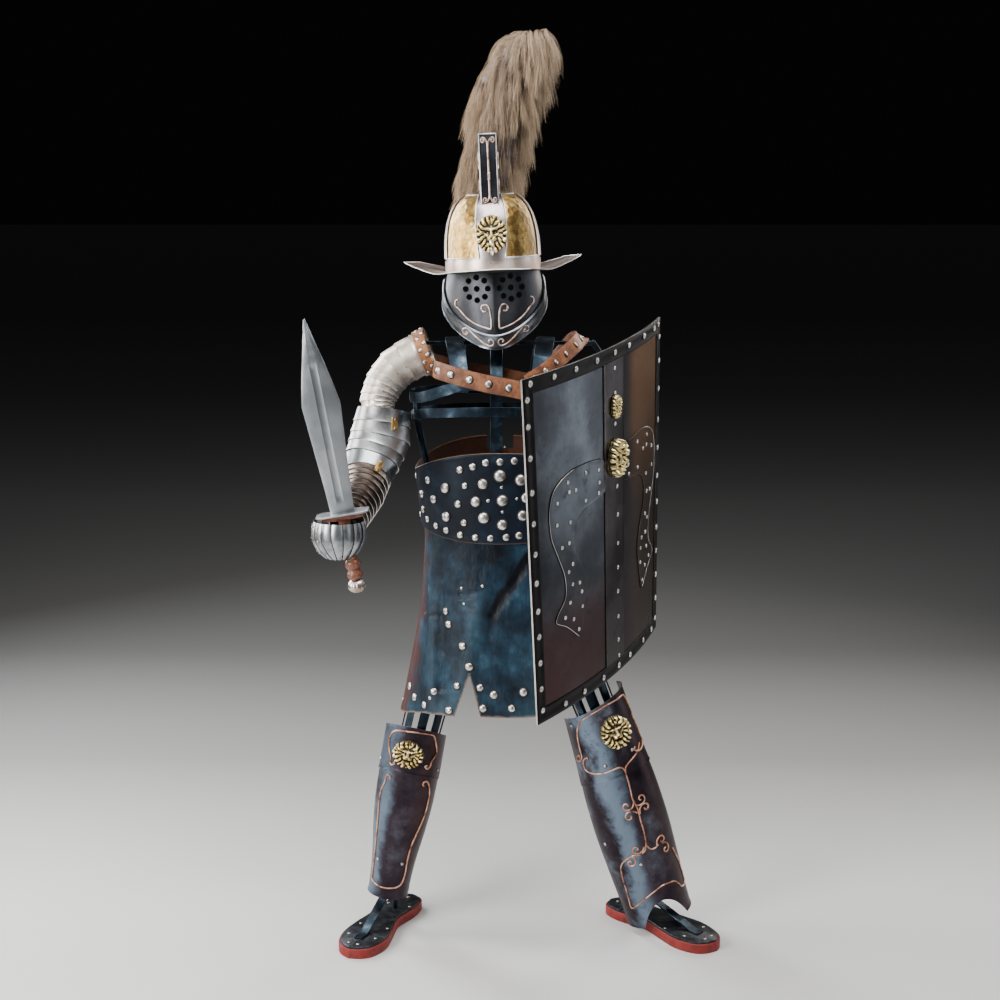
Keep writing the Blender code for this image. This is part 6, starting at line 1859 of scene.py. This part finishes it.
def skirt(bench):
    fin = bench.finish
    seam = radians(97)
    slack = radians(0.35)
    panels = {}
    for name, start, end, cols, node, finish in (
            ("skirt_front_leather", -seam, seam, 150, "skirt_front", fin.skirt),
            ("skirt_back_leather", seam + slack, tau - seam - slack, 110, "skirt_back", fin.skirt_back)):
        turns = spread(start, end, cols)
        grid = [[skirt_point(a, mix(1.072, skirt_hem(a), share)) for a in turns]
                for share in spread(1.0, 0.0, 96)]

        def flat(i, j, turns=turns, grid=grid):
            return turns[j] / tau, grid[i][j].z - grid[0][j].z

        panels[name] = add_piece(name, sheet_mesh(name, grid, SKIRT_LEATHER, flat=flat), (finish,),
                                 (node,))
    slit = [SLIT_APEX] + [SLIT_APEX + run * 1.57 for run in SLIT_RUNS]
    bm = bmesh.new()
    near = bm.faces.new([bm.verts.new(ORIGIN + Vector((p.x, -0.25, p.z))) for p in slit])
    lifted = bmesh.ops.extrude_face_region(bm, geom=[near])
    far = [part for part in lifted["geom"] if isinstance(part, bmesh.types.BMVert)]
    bmesh.ops.translate(bm, verts=far, vec=(0, 0.17, 0))
    bmesh.ops.recalc_face_normals(bm, faces=bm.faces)
    cut_with(panels["skirt_front_leather"], bm)
    for panel in panels.values():
        shade_folds(panel.data)
    studs = []
    for degrees, height, radius in SKIRT_STUDS:
        angle = radians(degrees)
        studs.append((skirt_point(angle, height), skirt_normal(angle, height), radius))
    shown = bench.studs("skirt_studs", studs, fin.silver, "bright_steel", 0.5, 1.2, 18, 8)


# Harness

HARNESS_WIDE = 0.040
LEATHER = 0.0035
TORSO_HALF = (0.2123, 0.1513)
BODY_STATIONS = [
    # degrees from the front, height, distance off the chest
    (-54, 1.391, -0.037), (-44, 1.387, -0.012), (-33, 1.382, 0.0), (-12, 1.364, 0.0), (8, 1.345, 0.0),
    (32, 1.320, 0.0), (60, 1.290, 0.0), (92, 1.270, 0.0), (122, 1.290, 0.0), (150, 1.318, 0.0),
    (180, 1.345, 0.0), (208, 1.368, 0.0), (229, 1.386, 0.0),
]
# Degrees from the front of the chest strap's studs
CHEST_STUDS = [-38, -27.5, -15.6, -5, 3.8, 14.5, 26, 39, 54, 71, 90, 109, 126, 141, 154, 166,
               178, 190, 203, 218]
SHOULDER_LINE = [
    # x, y, z
    (0.062, -0.1600, 1.362), (0.102, -0.1500, 1.388), (0.140, -0.1220, 1.416), (0.172, -0.0780, 1.440),
    (0.186, -0.0300, 1.4493), (0.188, 0.0000, 1.4513), (0.186, 0.0300, 1.4493), (0.172, 0.0780, 1.438),
    (0.145, 0.1220, 1.402), (0.105, 0.1520, 1.360), (0.072, 0.1620, 1.335),
]


def torso_place(angle, height, out):
    """Point over the chest, drawn in above the collar bones."""
    draw = max(0.0, (height - 1.405) / 0.06)
    half_width = TORSO_HALF[0] - 0.020 * draw ** 2
    half_depth = TORSO_HALF[1] - 0.062 * draw ** 1.6
    x, y = oval(angle, half_width + out, half_depth + out)
    return ORIGIN + Vector((x, y, height))


def harness(bench):
    fin = bench.finish
    path = []
    outs = []
    for degrees, height, out in curve_through(BODY_STATIONS, 10):
        angle = radians(degrees)
        path.append(torso_place(angle, height, out + LEATHER + 0.0003))
        tilt = torso_place(angle, height + 0.004, out) - torso_place(angle, height - 0.004, out)
        beside = torso_place(angle + 0.02, height, out) - torso_place(angle - 0.02, height, out)
        outs.append(beside.cross(tilt).normalized())
    chest = add_piece("chest_strap", strap_mesh("chest_strap", path, outs, HARNESS_WIDE, LEATHER),
                      (fin.harness,), ("harness_body_strap",))
    studs = []
    for degrees in CHEST_STUDS:
        height = smooth_table(BODY_STATIONS, degrees, 1)
        angle = radians(degrees)
        off = smooth_table(BODY_STATIONS, degrees, 2)
        point = torso_place(angle, height, off + LEATHER)
        studs.append((point, (torso_place(angle, height, off + 0.02) - point).normalized(), 0.0078))
    chest_studs = bench.studs("chest_strap_studs", studs, fin.silver, "bright_steel", 0.45, 1.22, 18, 8)

    looks = []
    for x, y, z in SHOULDER_LINE:
        lift = max(0.0, (z - 1.36) / 0.09)
        looks.append(Vector((x * 1.2, y * (1.25 - lift), 0.16 * lift)).normalized())
    looks[5] = Vector((0.15, 0.0, 1.0))
    fine, ways = smooth_path([ORIGIN + Vector(p) for p in SHOULDER_LINE], looks, 8)
    shoulder = add_piece("left_shoulder_strap", strap_mesh("left_shoulder_strap", fine, ways, 0.036, LEATHER),
                         (fin.harness,), ("harness_left_shoulder_strap",))
    picks = [3, 8, 13, 18, 24, 32, 40, 48, 56, 64, 70, 76]
    studs = [(fine[k], ways[k], 0.0062) for k in picks]
    shoulder_studs = bench.studs("shoulder_strap_studs", studs, fin.silver, "bright_steel", 0.45, 1.22, 18, 8)

    outer = []
    inner = []
    over = spread(-160, 160, 97)
    off = STEEL * 2 + 0.0012
    for share in (1.0, 0.96, 0.6, 0.2, -0.2, -0.6, -0.96, -1.0):
        top = []
        back = []
        for degrees in over:
            full = smooth_table([(0, 0.45), (17.8, 0.88), (35.6, 1.0), (200, 1.0)], 160 - abs(degrees), 1)
            at = 0.26 + 0.36 * share * full
            lift = LEATHER + 0.0012 - (0.0010 if abs(share) == 1.0 else 0.0)
            top.append(arm_point(ARM_PATH, at, radians(degrees), off + lift))
            back.append(arm_point(ARM_PATH, at, radians(degrees), off + 0.0012))
        outer.append(top)
        inner.append(back)
    collar = add_piece("shoulder_collar", wall_mesh("shoulder_collar", outer, inner), (fin.collar,),
                       ("harness_shoulder_collar",))
    studs = []
    for k in range(21):
        degrees = -150 + 15 * k
        at = 0.26 + (0.15 if k % 2 else -0.15)
        turn = radians(degrees)
        point = arm_point(ARM_PATH, at, turn, off + LEATHER + 0.0012)
        studs.append((point, arm_normal(ARM_PATH, at, turn), 0.0048))
    collar_studs = bench.studs("collar_studs", studs, fin.silver, "bright_steel", 0.5, 1.25, 16, 8)


# Shield

SHIELD_AT = Vector((0.209, -0.360, 1.101)) + ORIGIN
SHIELD_TURN = (radians(60.8), radians(2.1), radians(-7.4))
SHIELD_ARC = 0.650
SHIELD_TALL = 0.733
SHIELD_BEND = radians(24.4)
SHIELD_TAPER = 0.083
SHIELD_PLATE = 0.002
SHIELD_RIM = 0.030
SPINE_AT = 0.012
WING_RUN = (0.218, 0.586)      # top and low end of the riveted wings
SPINE_HALF = 0.048
WING_OUTLINE = [
    # distance down, inner and outer edge of the riveted wing from the spine's middle
    (0.218, 0.120, 0.180), (0.226, 0.062, 0.214), (0.246, 0.050, 0.251), (0.277, 0.050, 0.266),
    (0.302, 0.050, 0.269), (0.314, 0.140, 0.268), (0.344, 0.178, 0.264), (0.390, 0.178, 0.243),
    (0.439, 0.148, 0.221), (0.485, 0.136, 0.221), (0.528, 0.145, 0.258), (0.548, 0.151, 0.222),
    (0.586, 0.163, 0.172),
]
# Rivets by their place across and down the shield, in millimetres
LEFT_RIVETS = [(-302, 12), (-313, 42), (-314, 96), (-312, 160), (-311, 231), (-310, 296), (-309, 361),
               (-309, 423), (-308, 484), (-308, 540), (-308, 598), (-308, 656), (-306, 705)]
TOP_RIVETS = [(-226, 13), (-149, 14), (-66, 14), (16, 14), (90, 14), (185, 14), (265, 14)]
LOW_RIVETS = [(-222, 719), (-143, 719), (-54, 719), (28, 719), (97, 719), (194, 719), (268, 719)]
SPINE_RIVETS = [(13, 46), (15, 100), (14, 166), (22, 305), (25, 369), (26, 434), (25, 489), (25, 544),
                (26, 603), (26, 658), (30, 696)]
WING_RIVETS = [
    (-119, 238), (-65, 246), (-189, 240), (-62, 274), (-160, 264), (-185, 262), (-66, 296), (-228, 275),
    (-122, 297), (-184, 327), (-232, 320), (-190, 370), (-216, 373), (-178, 419), (-194, 432),
    (-153, 468), (-181, 463), (-145, 490), (-192, 500), (-144, 523), (-212, 528), (-180, 541), (-160, 570),
]


def wing_edges(down):
    """Inner and outer edge of a riveted wing, from the spine's middle."""
    return smooth_table(WING_OUTLINE, down, 1), smooth_table(WING_OUTLINE, down, 2)


def shield_matrix():
    yaw, lean, roll = SHIELD_TURN
    turn = Matrix.Rotation(yaw, 4, "Z") @ Matrix.Rotation(lean, 4, "X") @ Matrix.Rotation(roll, 4, "Y")
    return Matrix.Translation(SHIELD_AT) @ turn


SHIELD_SET = shield_matrix()


def shield_point(arc, down, out=0.0):
    """Point of the shield's face: arc across it, down from its top edge."""
    radius = SHIELD_ARC / SHIELD_BEND
    angle = arc / radius
    share = 1.0 - SHIELD_TAPER * down / SHIELD_TALL
    x = (radius + out) * sin(angle) * share
    y = -((radius + out) * cos(angle) - radius * cos(SHIELD_BEND / 2)) * share
    return SHIELD_SET @ Vector((x, y, SHIELD_TALL / 2 - down))


def shield_normal(arc, down):
    return (shield_point(arc, down, 0.01) - shield_point(arc, down)).normalized()


def shield_wall(name, arcs, downs, top, under, finishes, nodes, keep=None):
    """Plate on the shield between two distances out; arcs(down) gives its columns from -X to +X."""
    downs = sorted(downs, reverse=True)
    columns = [arcs(d) for d in downs]
    outer = [[shield_point(a, d, top(a, d)) for a in line] for line, d in zip(columns, downs)]
    inner = [[shield_point(a, d, under) for a in line] for line, d in zip(columns, downs)]
    mesh = wall_mesh(name, outer, inner, keep=keep, flat=lambda i, j: (columns[i][j], downs[i]), edge_slot=1)
    return add_piece(name, mesh, finishes, nodes)


def shield(bench):
    fin = bench.finish
    half = SHIELD_ARC / 2
    arcs = spread(-half, half, 66)
    shield_wall("shield_face", lambda d: arcs, spread(0.0, SHIELD_TALL, 60), lambda a, d: 0.0, -SHIELD_PLATE,
                (fin.shield, fin.edge), ("shield_plate",))

    steps = [0.0, 0.0015, 0.004, 0.008, 0.014, 0.021, 0.026, 0.0285, SHIELD_RIM]
    edge = half - SHIELD_RIM
    rim_arcs = [-half + s for s in steps] + spread(-edge, edge, 40)[1:-1] + [half - s for s in steps[::-1]]
    rim_downs = (steps + spread(SHIELD_RIM, SHIELD_TALL - SHIELD_RIM, 40)[1:-1]
                 + [SHIELD_TALL - s for s in steps[::-1]])

    def rim_top(arc, down):
        inward = min(half - abs(arc), down, SHIELD_TALL - down)
        return LAID + 0.0010 + 0.0014 * bell(inward, 0.007, 0.006) + 0.0008 * bell(inward, 0.028, 0.003)

    cols = len(rim_arcs) - 1
    rows = len(rim_downs) - 1
    band = len(steps) - 1
    shield_wall("shield_rim_band", lambda d: rim_arcs, rim_downs, rim_top, LAID * 0.5, (fin.trim, fin.edge),
                ("shield_rim",), lambda i, j: i < band or i >= rows - band or j < band or j >= cols - band)

    spine_arcs = [SPINE_AT + SPINE_HALF * t for t in
                  (-1.0, -0.985, -0.96, -0.9, -0.6, -0.3, 0.0, 0.3, 0.6, 0.9, 0.96, 0.985, 1.0)]

    def spine_top(arc, down):
        inward = SPINE_HALF - abs(arc - SPINE_AT)
        return LAID + 0.0014 + 0.0008 * bell(inward, 0.0035, 0.003)

    spine_downs = spread(SHIELD_RIM + 0.0005, SHIELD_TALL - SHIELD_RIM - 0.0005, 60)
    shield_wall("shield_spine_band", lambda d: spine_arcs, spine_downs, spine_top, LAID * 0.5,
                (fin.spine, fin.edge), ("shield_spine",))

    for side, label in ((-1, "right"), (1, "left")):
        def wing_arcs(down, side=side):
            near, far = wing_edges(down)
            reach = [mix(near, far, t) for t in (0.0, 0.012, 0.04, 0.2, 0.4, 0.6, 0.8, 0.96, 0.988, 1.0)]
            across = [SPINE_AT + side * r for r in reach]
            return across if side > 0 else across[::-1]

        def wing_top(arc, down, side=side):
            near, far = wing_edges(down)
            reach = side * (arc - SPINE_AT)
            inward = min(reach - near, far - reach)
            return LAID + 0.0012 + 0.0006 * bell(inward, 0.003, 0.003)

        shield_wall("shield_wing_plate_" + label, wing_arcs, spread(*WING_RUN, 90), wing_top, LAID * 0.5,
                    (fin.shield, fin.edge), ("shield_wing_" + label,))

    def on_face(arc, down, out, radius):
        return shield_point(arc, down, out), shield_normal(arc, down), radius

    # painted shadow: dark wires along the wings' outlines, the spine's edges and the rim's inner edge
    seam_shadows = []
    lights = []
    for side in (-1, 1):
        near, far = [[(SPINE_AT + side * wing_edges(d)[k], d) for d in spread(*WING_RUN, 60)] for k in (0, 1)]
        outline = near + far[::-1] + near[:1]
        seam_shadows.append([shield_point(a, d, LAID) for a, d in outline])
        # painted highlight: thin bright wires along the wings' outer edges stand for the light line the edges
        # catch
        lights.append([shield_point(a, d, LAID + 0.0014) for a, d in far])
        edge = SPINE_AT + side * (SPINE_HALF + 0.0010)
        seam_shadows.append([shield_point(edge, d, LAID) for d in spread(0.031, SHIELD_TALL - 0.031, 40)])
    inside = SHIELD_RIM + 0.0012
    frame_arcs = spread(-half + inside, half - inside, 30)
    frame_downs = spread(inside, SHIELD_TALL - inside, 40)
    frame_line = [(a, inside) for a in frame_arcs] + [(half - inside, d) for d in frame_downs[1:]]
    frame_line += [(a, SHIELD_TALL - inside) for a in frame_arcs[-2::-1]]
    frame_line += [(inside - half, d) for d in frame_downs[-2::-1]]
    seam_shadows.append([shield_point(a, d, LAID) for a, d in frame_line])
    bench.wires("shield_seam_lines", seam_shadows, 0.0013, fin.seam, "patinated_steel", 6)
    bench.wires("shield_edge_lights", lights, 0.0005, fin.edge, "patinated_steel", 6)

    big = [on_face(a / 1000, d / 1000, LAID + 0.0022, 0.0062)
           for a, d in LEFT_RIVETS + TOP_RIVETS + LOW_RIVETS]
    big += [on_face(-a / 1000, d / 1000, LAID + 0.0022, 0.0062) for a, d in LEFT_RIVETS]
    bench.studs("shield_rim_rivets", big, fin.silver, "bright_steel", 0.45, 1.3, 16, 8)
    small = [on_face(a / 1000, d / 1000, LAID + 0.0016, 0.0048) for a, d in SPINE_RIVETS]
    for a, d in WING_RIVETS:
        for arc in (a, 2 * SPINE_AT * 1000 - a):
            small.append(on_face(arc / 1000, d / 1000, LAID + 0.0013, 0.0045))
    bench.studs("shield_face_rivets", small, fin.silver, "bright_steel", 0.5, 1.25, 14, 6)

    def on_spine(down):
        def place(across, up):
            arc = SPINE_AT + across
            point = shield_point(arc, down - up, LAID + 0.002)
            return point, shield_normal(arc, down - up)
        return place

    lion_mask(bench, "shield_lion_small", on_spine(0.128), 0.026, 0.012, 0.72, "shield_mask_small")
    lion_mask(bench, "shield_lion_large", on_spine(0.239), 0.043, 0.022, 0.86, "shield_mask_large")
    copy_of("shield_grip", "shield_grip_strap", (fin.iron,), 0.0008)
    feet = []
    for up in (-0.071, 0.071):
        point = SHIELD_SET @ Vector((0.0, shield_local_depth(), up))
        feet.append((point, SHIELD_SET.to_3x3() @ Vector((0, 1, 0)), 0.0055))
    bench.studs("shield_grip_rivets", feet, fin.rivet, "blued_iron", 0.5, 1.2, 14, 6)


def shield_local_depth():
    """Depth of the grip feet's outer face behind the plate, in the shield's own frame."""
    middle = SHIELD_SET.inverted() @ shield_point(0.0, SHIELD_TALL * 0.5, -SHIELD_PLATE)
    return middle.y + LAID + 0.0036


# Greaves

RIGHT_SHIN = [
    # height over the ankle, half width, depth in front
    (0.000, 0.049, 0.058), (0.050, 0.050, 0.058), (0.110, 0.055, 0.064), (0.190, 0.065, 0.074),
    (0.270, 0.071, 0.080), (0.440, 0.071, 0.082),
]
LEFT_SHIN = [
    (-0.055, 0.082, 0.078), (0.020, 0.083, 0.080), (0.120, 0.088, 0.087), (0.220, 0.092, 0.093),
    (0.320, 0.090, 0.094), (0.420, 0.082, 0.090), (0.580, 0.074, 0.086),
]
LAP = STEEL + LAID

# Copper beads: angle from the front in degrees, height over the ankle in millimetres
RIGHT_KNEE_BEAD = [
    (-26, 366), (-22, 364), (-28, 358), (-34, 362), (-33, 372), (-40, 388), (-46, 411), (-41, 434),
    (-26, 446),
    (0, 452), (25, 452), (42, 446), (51, 424), (57, 400), (52, 389), (47, 378), (46, 367), (40, 362),
    (35, 369), (39, 371),
]
RIGHT_SHIN_BEAD = [
    (-29, 321), (-27, 325), (-33, 329), (-39, 321), (-40, 307), (-47, 282), (-48, 250), (-46, 200),
    (-48, 145),
    (-51, 105), (-53, 72), (-51, 46), (-32, 41), (-8, 39), (12, 41), (31, 45), (43, 55), (46, 81),
    (43, 115),
    (43, 159), (51, 199), (58, 237), (60, 276), (58, 300), (50, 323), (42, 329), (38, 322), (41, 317),
]
LEFT_KNEE_BEAD = [
    (-77, 437), (-76, 442), (-84, 436), (-84, 427), (-75, 430), (-70, 441), (-70, 463), (-67, 497),
    (-59, 522),
    (-46, 537), (-25, 548), (-2, 555), (22, 556), (46, 552), (54, 527), (54, 496), (60, 454), (62, 424),
    (45, 414), (30, 416), (23, 424), (27, 429),
]
LEFT_LOW_BEAD = [
    (-58, 434), (-61, 439), (-69, 431), (-71, 417), (-68, 405), (-57, 399), (-44, 397), (-31, 398),
    (-19, 401),
    (-11, 401), (-7, 396), (-5, 388), (-5, 381),
]
LEFT_BRANCH = [(42, 428), (34, 420), (24, 413), (12, 407), (3, 402), (-3, 395), (-5, 384)]
LEFT_STEM = [(-5, 379), (-5, 358), (-6, 338), (-7, 316), (-5, 300), (-4, 284), (-5, 258), (-5, 233),
             (-6, 211), (-8, 192)]
LEFT_LOW_LEAF = [(-8, 194), (-12, 181), (-21, 175), (-32, 177), (-42, 171), (-52, 160), (-58, 146)]
LEFT_LOW_TWIG = [(-8, 194), (-3, 180), (5, 177), (11, 181)]
LEFT_PANEL_BEAD = [
    (-58, 144), (-61, 116), (-62, 85), (-64, 59), (-64, 34), (-40, 53), (-20, 68), (-3, 77), (10, 76),
    (23, 71),
    (33, 54), (40, 42), (57, 45), (52, 95), (40, 147),
]
# Curls of the left greave: middle, way that they wind, and degrees at which they start
LEFT_CURLS = [
    (6, 309, 1, 215), (-19, 304, -1, 15), (9, 283, -1, 205), (-19, 276, 1, 10),
    (-24, 191, -1, 0), (-38, 160, -1, 75), (20, 187, -1, 205), (23, 160, -1, 110),
]


def leg_matrix(ankle, knee, turn):
    up = (knee - ankle).normalized()
    side = Vector((0, 1, 0)).cross(up).normalized()
    back = up.cross(side)
    basis = Matrix((side, back, up)).transposed()
    return Matrix.Translation(ankle + ORIGIN) @ (basis @ Matrix.Rotation(turn, 3, "Z")).to_4x4()


RIGHT_LEG = leg_matrix(Vector((-0.277, 0.000, 0.085)), Vector((-0.203, -0.010, 0.500)), radians(-6))
LEFT_LEG = leg_matrix(Vector((0.385, 0.000, 0.060)), Vector((0.232, -0.015, 0.550)), radians(21))


def greave_point(leg, table, angle, height, out=0.0):
    half_width = smooth_table(table, height, 1) + out
    depth = smooth_table(table, height, 2) + out
    x, y = oval(angle, half_width, depth, 2.0)
    if y > 0:
        y *= 0.7
    return leg @ Vector((x, y, height))


def greave_normal(leg, table, angle, height):
    place = (leg, table, angle, height)
    return (greave_point(*place, 0.01) - greave_point(*place)).normalized()


def greave_plate(bench, name, leg, table, low, high, node, out=0.0):
    """Plate round the front of the leg with a turned, filed edge."""
    wrap = radians(100)
    turns = [wrap * sin(t) for t in spread(-pi / 2, pi / 2, 71)]
    grid = []
    for share in [0.0, 0.008, 0.02, 0.04] + spread(0.08, 0.92, 36) + [0.96, 0.98, 0.992, 1.0]:
        line = []
        for a in turns:
            inward = min(share, 1.0 - share) * (high(a) - low(a))
            side = (wrap - abs(a)) * 0.07
            lip = 0.0012 * bell(min(inward, side), 0.0, 0.0035)
            line.append(greave_point(leg, table, a, mix(low(a), high(a), share), out + lip))
        grid.append(line)
    finish = bench.finish.greave_left if leg is LEFT_LEG else bench.finish.greave_right
    add_piece(name, sheet_mesh(name, grid, STEEL - 0.0002, edge_slot=1), (finish, bench.finish.edge),
              (node,))


def greaves(bench):
    fin = bench.finish
    side = 2 / pi
    greave_plate(bench, "right_shin_plate", RIGHT_LEG, RIGHT_SHIN, lambda a: 0.006 + 0.006 * cos(a),
                 lambda a: 0.372 - 0.030 * (abs(a) * side) ** 2, "greave_right_shin")
    greave_plate(bench, "right_knee_plate", RIGHT_LEG, RIGHT_SHIN, lambda a: 0.318 + 0.030 * cos(a),
                 lambda a: 0.430 + 0.033 * cos(a), "greave_right_knee", LAP)

    def left_bottom(a):
        arch = cos(min(abs(a + 0.14) * 2.14, pi / 2))
        return mix(-0.022, 0.041, arch ** 0.8)

    greave_plate(bench, "left_shin_plate", LEFT_LEG, LEFT_SHIN, left_bottom,
                 lambda a: 0.420 - 0.030 * (abs(a) * side) ** 2, "greave_left_shin")
    greave_plate(bench, "left_knee_plate", LEFT_LEG, LEFT_SHIN, lambda a: 0.360 + 0.020 * cos(a),
                 lambda a: 0.550 + 0.017 * sin(a) + 0.014 * cos(a), "greave_left_knee", LAP)

    beads = [
        (RIGHT_LEG, RIGHT_SHIN, RIGHT_KNEE_BEAD, LAP), (RIGHT_LEG, RIGHT_SHIN, RIGHT_SHIN_BEAD, 0.0),
        (LEFT_LEG, LEFT_SHIN, LEFT_KNEE_BEAD, LAP), (LEFT_LEG, LEFT_SHIN, LEFT_LOW_BEAD, LAP),
        (LEFT_LEG, LEFT_SHIN, LEFT_BRANCH, LAP), (LEFT_LEG, LEFT_SHIN, LEFT_STEM, 0.0),
        (LEFT_LEG, LEFT_SHIN, LEFT_LOW_LEAF, 0.0), (LEFT_LEG, LEFT_SHIN, LEFT_LOW_TWIG, 0.0),
        (LEFT_LEG, LEFT_SHIN, LEFT_PANEL_BEAD, 0.0),
    ]
    lines = []
    for leg, table, bead, out in beads:
        points = curve_through(bead, 4)
        lines.append([greave_point(leg, table, radians(a), h / 1000, out + 0.0010) for a, h in points])
    lines += left_curls()
    bench.wires("greave_copper_beads", lines, 0.0019, fin.copper, "hammered_brass")

    def place_on(leg, table, height):
        def place(across, up):
            half_width = smooth_table(table, height + up, 1) + LAP
            at = (leg, table, asin(held(across / half_width, -1.0)), height + up)
            return greave_point(*at, LAP), greave_normal(*at)
        return place

    lion_mask(bench, "right_knee_lion", place_on(RIGHT_LEG, RIGHT_SHIN, 0.396), 0.035, 0.018, 1.0,
              "greave_right_mask")
    lion_mask(bench, "left_knee_lion", place_on(LEFT_LEG, LEFT_SHIN, 0.486), 0.042, 0.020, 0.86,
              "greave_left_mask")
    rivets = []
    for leg, table, degrees, height, out in (
            (RIGHT_LEG, RIGHT_SHIN, -37, 0.105, 0.0), (RIGHT_LEG, RIGHT_SHIN, 31, 0.108, 0.0),
            (RIGHT_LEG, RIGHT_SHIN, -72, 0.350, LAP), (RIGHT_LEG, RIGHT_SHIN, 72, 0.350, LAP),
            (LEFT_LEG, LEFT_SHIN, -24, 0.148, 0.0), (LEFT_LEG, LEFT_SHIN, -74, 0.210, 0.0),
            (LEFT_LEG, LEFT_SHIN, 60, 0.190, 0.0), (LEFT_LEG, LEFT_SHIN, 19, 0.427, LAP),
            (LEFT_LEG, LEFT_SHIN, -33, 0.413, LAP), (LEFT_LEG, LEFT_SHIN, -76, 0.519, LAP),
            (LEFT_LEG, LEFT_SHIN, 76, 0.519, LAP)):
        angle = radians(degrees)
        point = greave_point(leg, table, angle, height, out + 0.0002)
        rivets.append((point, greave_normal(leg, table, angle, height), 0.0042))
    bench.studs("greave_rivets", rivets, fin.rivet, "bright_steel", 0.5, 1.2, 14, 6)


def left_curls():
    """Curls back to back between the left greave's two stems, and the pairs over its ankle panel."""
    lines = []
    for degrees, height, way, start in LEFT_CURLS:
        line = []
        for t in spread(0.0, 1.0, 26):
            turn = radians(start + way * 400 * t)
            size = mix(0.0125, 0.0030, t) + 0.0070 * (1.0 - t) ** 7
            angle = radians(degrees) + size * cos(turn) / 0.088
            line.append(greave_point(LEFT_LEG, LEFT_SHIN, angle, height / 1000 + size * sin(turn), 0.0010))
        lines.append(line)
    return lines


# Stand

STAND_COPIES = [
    # node, edge softening
    ("stand_ring_upper", 0.0007), ("stand_ring_lower", 0.0007), ("stand_ring_waist", 0.0007),
    ("stand_front_post", 0.0007), ("stand_back_post", 0.0007), ("stand_side_bar_right", None),
    ("stand_side_bar_left", None), ("stand_shoulder_strap_right", 0.0007),
    ("stand_shoulder_strap_left", 0.0007),
    ("stand_shoulder_bar", 0.0009), ("stand_thigh_cage_right", 0.0006), ("stand_thigh_cage_left", 0.0006),
    ("stand_shin_post_right", None), ("stand_shin_post_left", None), ("stand_toe_bar_right", 0.0007),
    ("stand_toe_bar_left", 0.0007), ("stand_shield_rod", None),
]
SOLE_LONG = 0.335
SOLE_OUTLINE = [
    # share of the length, half width on the inner side, half width on the outer side
    (0.0, 0.0, 0.0), (0.03, 0.023, 0.023), (0.10, 0.036, 0.037), (0.22, 0.038, 0.041), (0.42, 0.029, 0.045),
    (0.60, 0.044, 0.052), (0.76, 0.056, 0.054), (0.90, 0.048, 0.040), (0.97, 0.028, 0.020), (1.0, 0.0, 0.0),
]


# Share of the sole's length and distance from its middle
SOLE_SCREWS = [
    (0.07, 0.0), (0.22, 0.030), (0.22, -0.030), (0.62, 0.036), (0.62, -0.036), (0.80, 0.036),
    (0.80, -0.036), (0.93, 0.012), (0.93, -0.012),
]


def sole_outline(inner, wider):
    """Foot shape with the toe ahead. The inner side is at +X where inner is 1."""
    sides = {}
    for side in (-1, 1):
        edge = []
        for share, inside, outside in SOLE_OUTLINE:
            half = inside if side == inner else outside
            edge.append((side * (half + wider if half else 0.0), mix(-wider, SOLE_LONG + wider, share)))
        sides[side] = curve_through(edge, 6)
    return sides[1] + sides[-1][-2:0:-1]


def stand(bench):
    fin = bench.finish
    for node, soften in STAND_COPIES:
        copy_of(node, node.replace("stand_", "iron_"), (fin.iron,), soften)
    for label, inner, heel, toe in (("right", 1, (-0.223, 0.130), (-0.357, -0.177)),
                                    ("left", -1, (0.280, 0.100), (0.511, -0.135))):
        start = Vector((*heel, 0.0))
        run = (Vector((*toe, 0.0)) - start).normalized()
        across = Vector((-run.y, run.x, 0.0))
        edges = [(0.0, 0.0025), (0.0015, 0.0038), (0.022, 0.0040), (0.0238, 0.0026), (0.0240, 0.0),
                 (0.0264, 0.0), (0.0274, -0.0012)]
        basis = Matrix((across, run, Vector((0, 0, 1)))).transposed()
        place = Matrix.Translation(ORIGIN + start) @ basis.to_4x4()
        rings = [[(x, y, z) for x, y in sole_outline(inner, wider)] for z, wider in edges]
        add_piece("sole_" + label, turned_mesh("sole_" + label, rings, place, 40), (fin.sole,),
                  ("foot_sole_" + label,))
        screws = []
        for share, out in SOLE_SCREWS:
            point = ORIGIN + start + run * (SOLE_LONG * share) + across * out + Vector((0, 0, 0.0272))
            screws.append((point, Vector((0, 0, 1)), 0.0038))
        bench.studs("sole_rivets_" + label, screws, fin.rivet, "bright_steel", 0.4, 1.2, 12, 6)


def main():
    bench = Bench()
    camera_and_light()
    helmet(bench)
    plume(bench)
    arm_guard(bench)
    sword(bench)
    belt(bench)
    skirt(bench)
    harness(bench)
    shield(bench)
    greaves(bench)
    stand(bench)
    boxes = {"cad": CAD_BOX, "visual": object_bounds()}
    {key: [list(corner) for corner in box] for key, box in boxes.items()}


main()
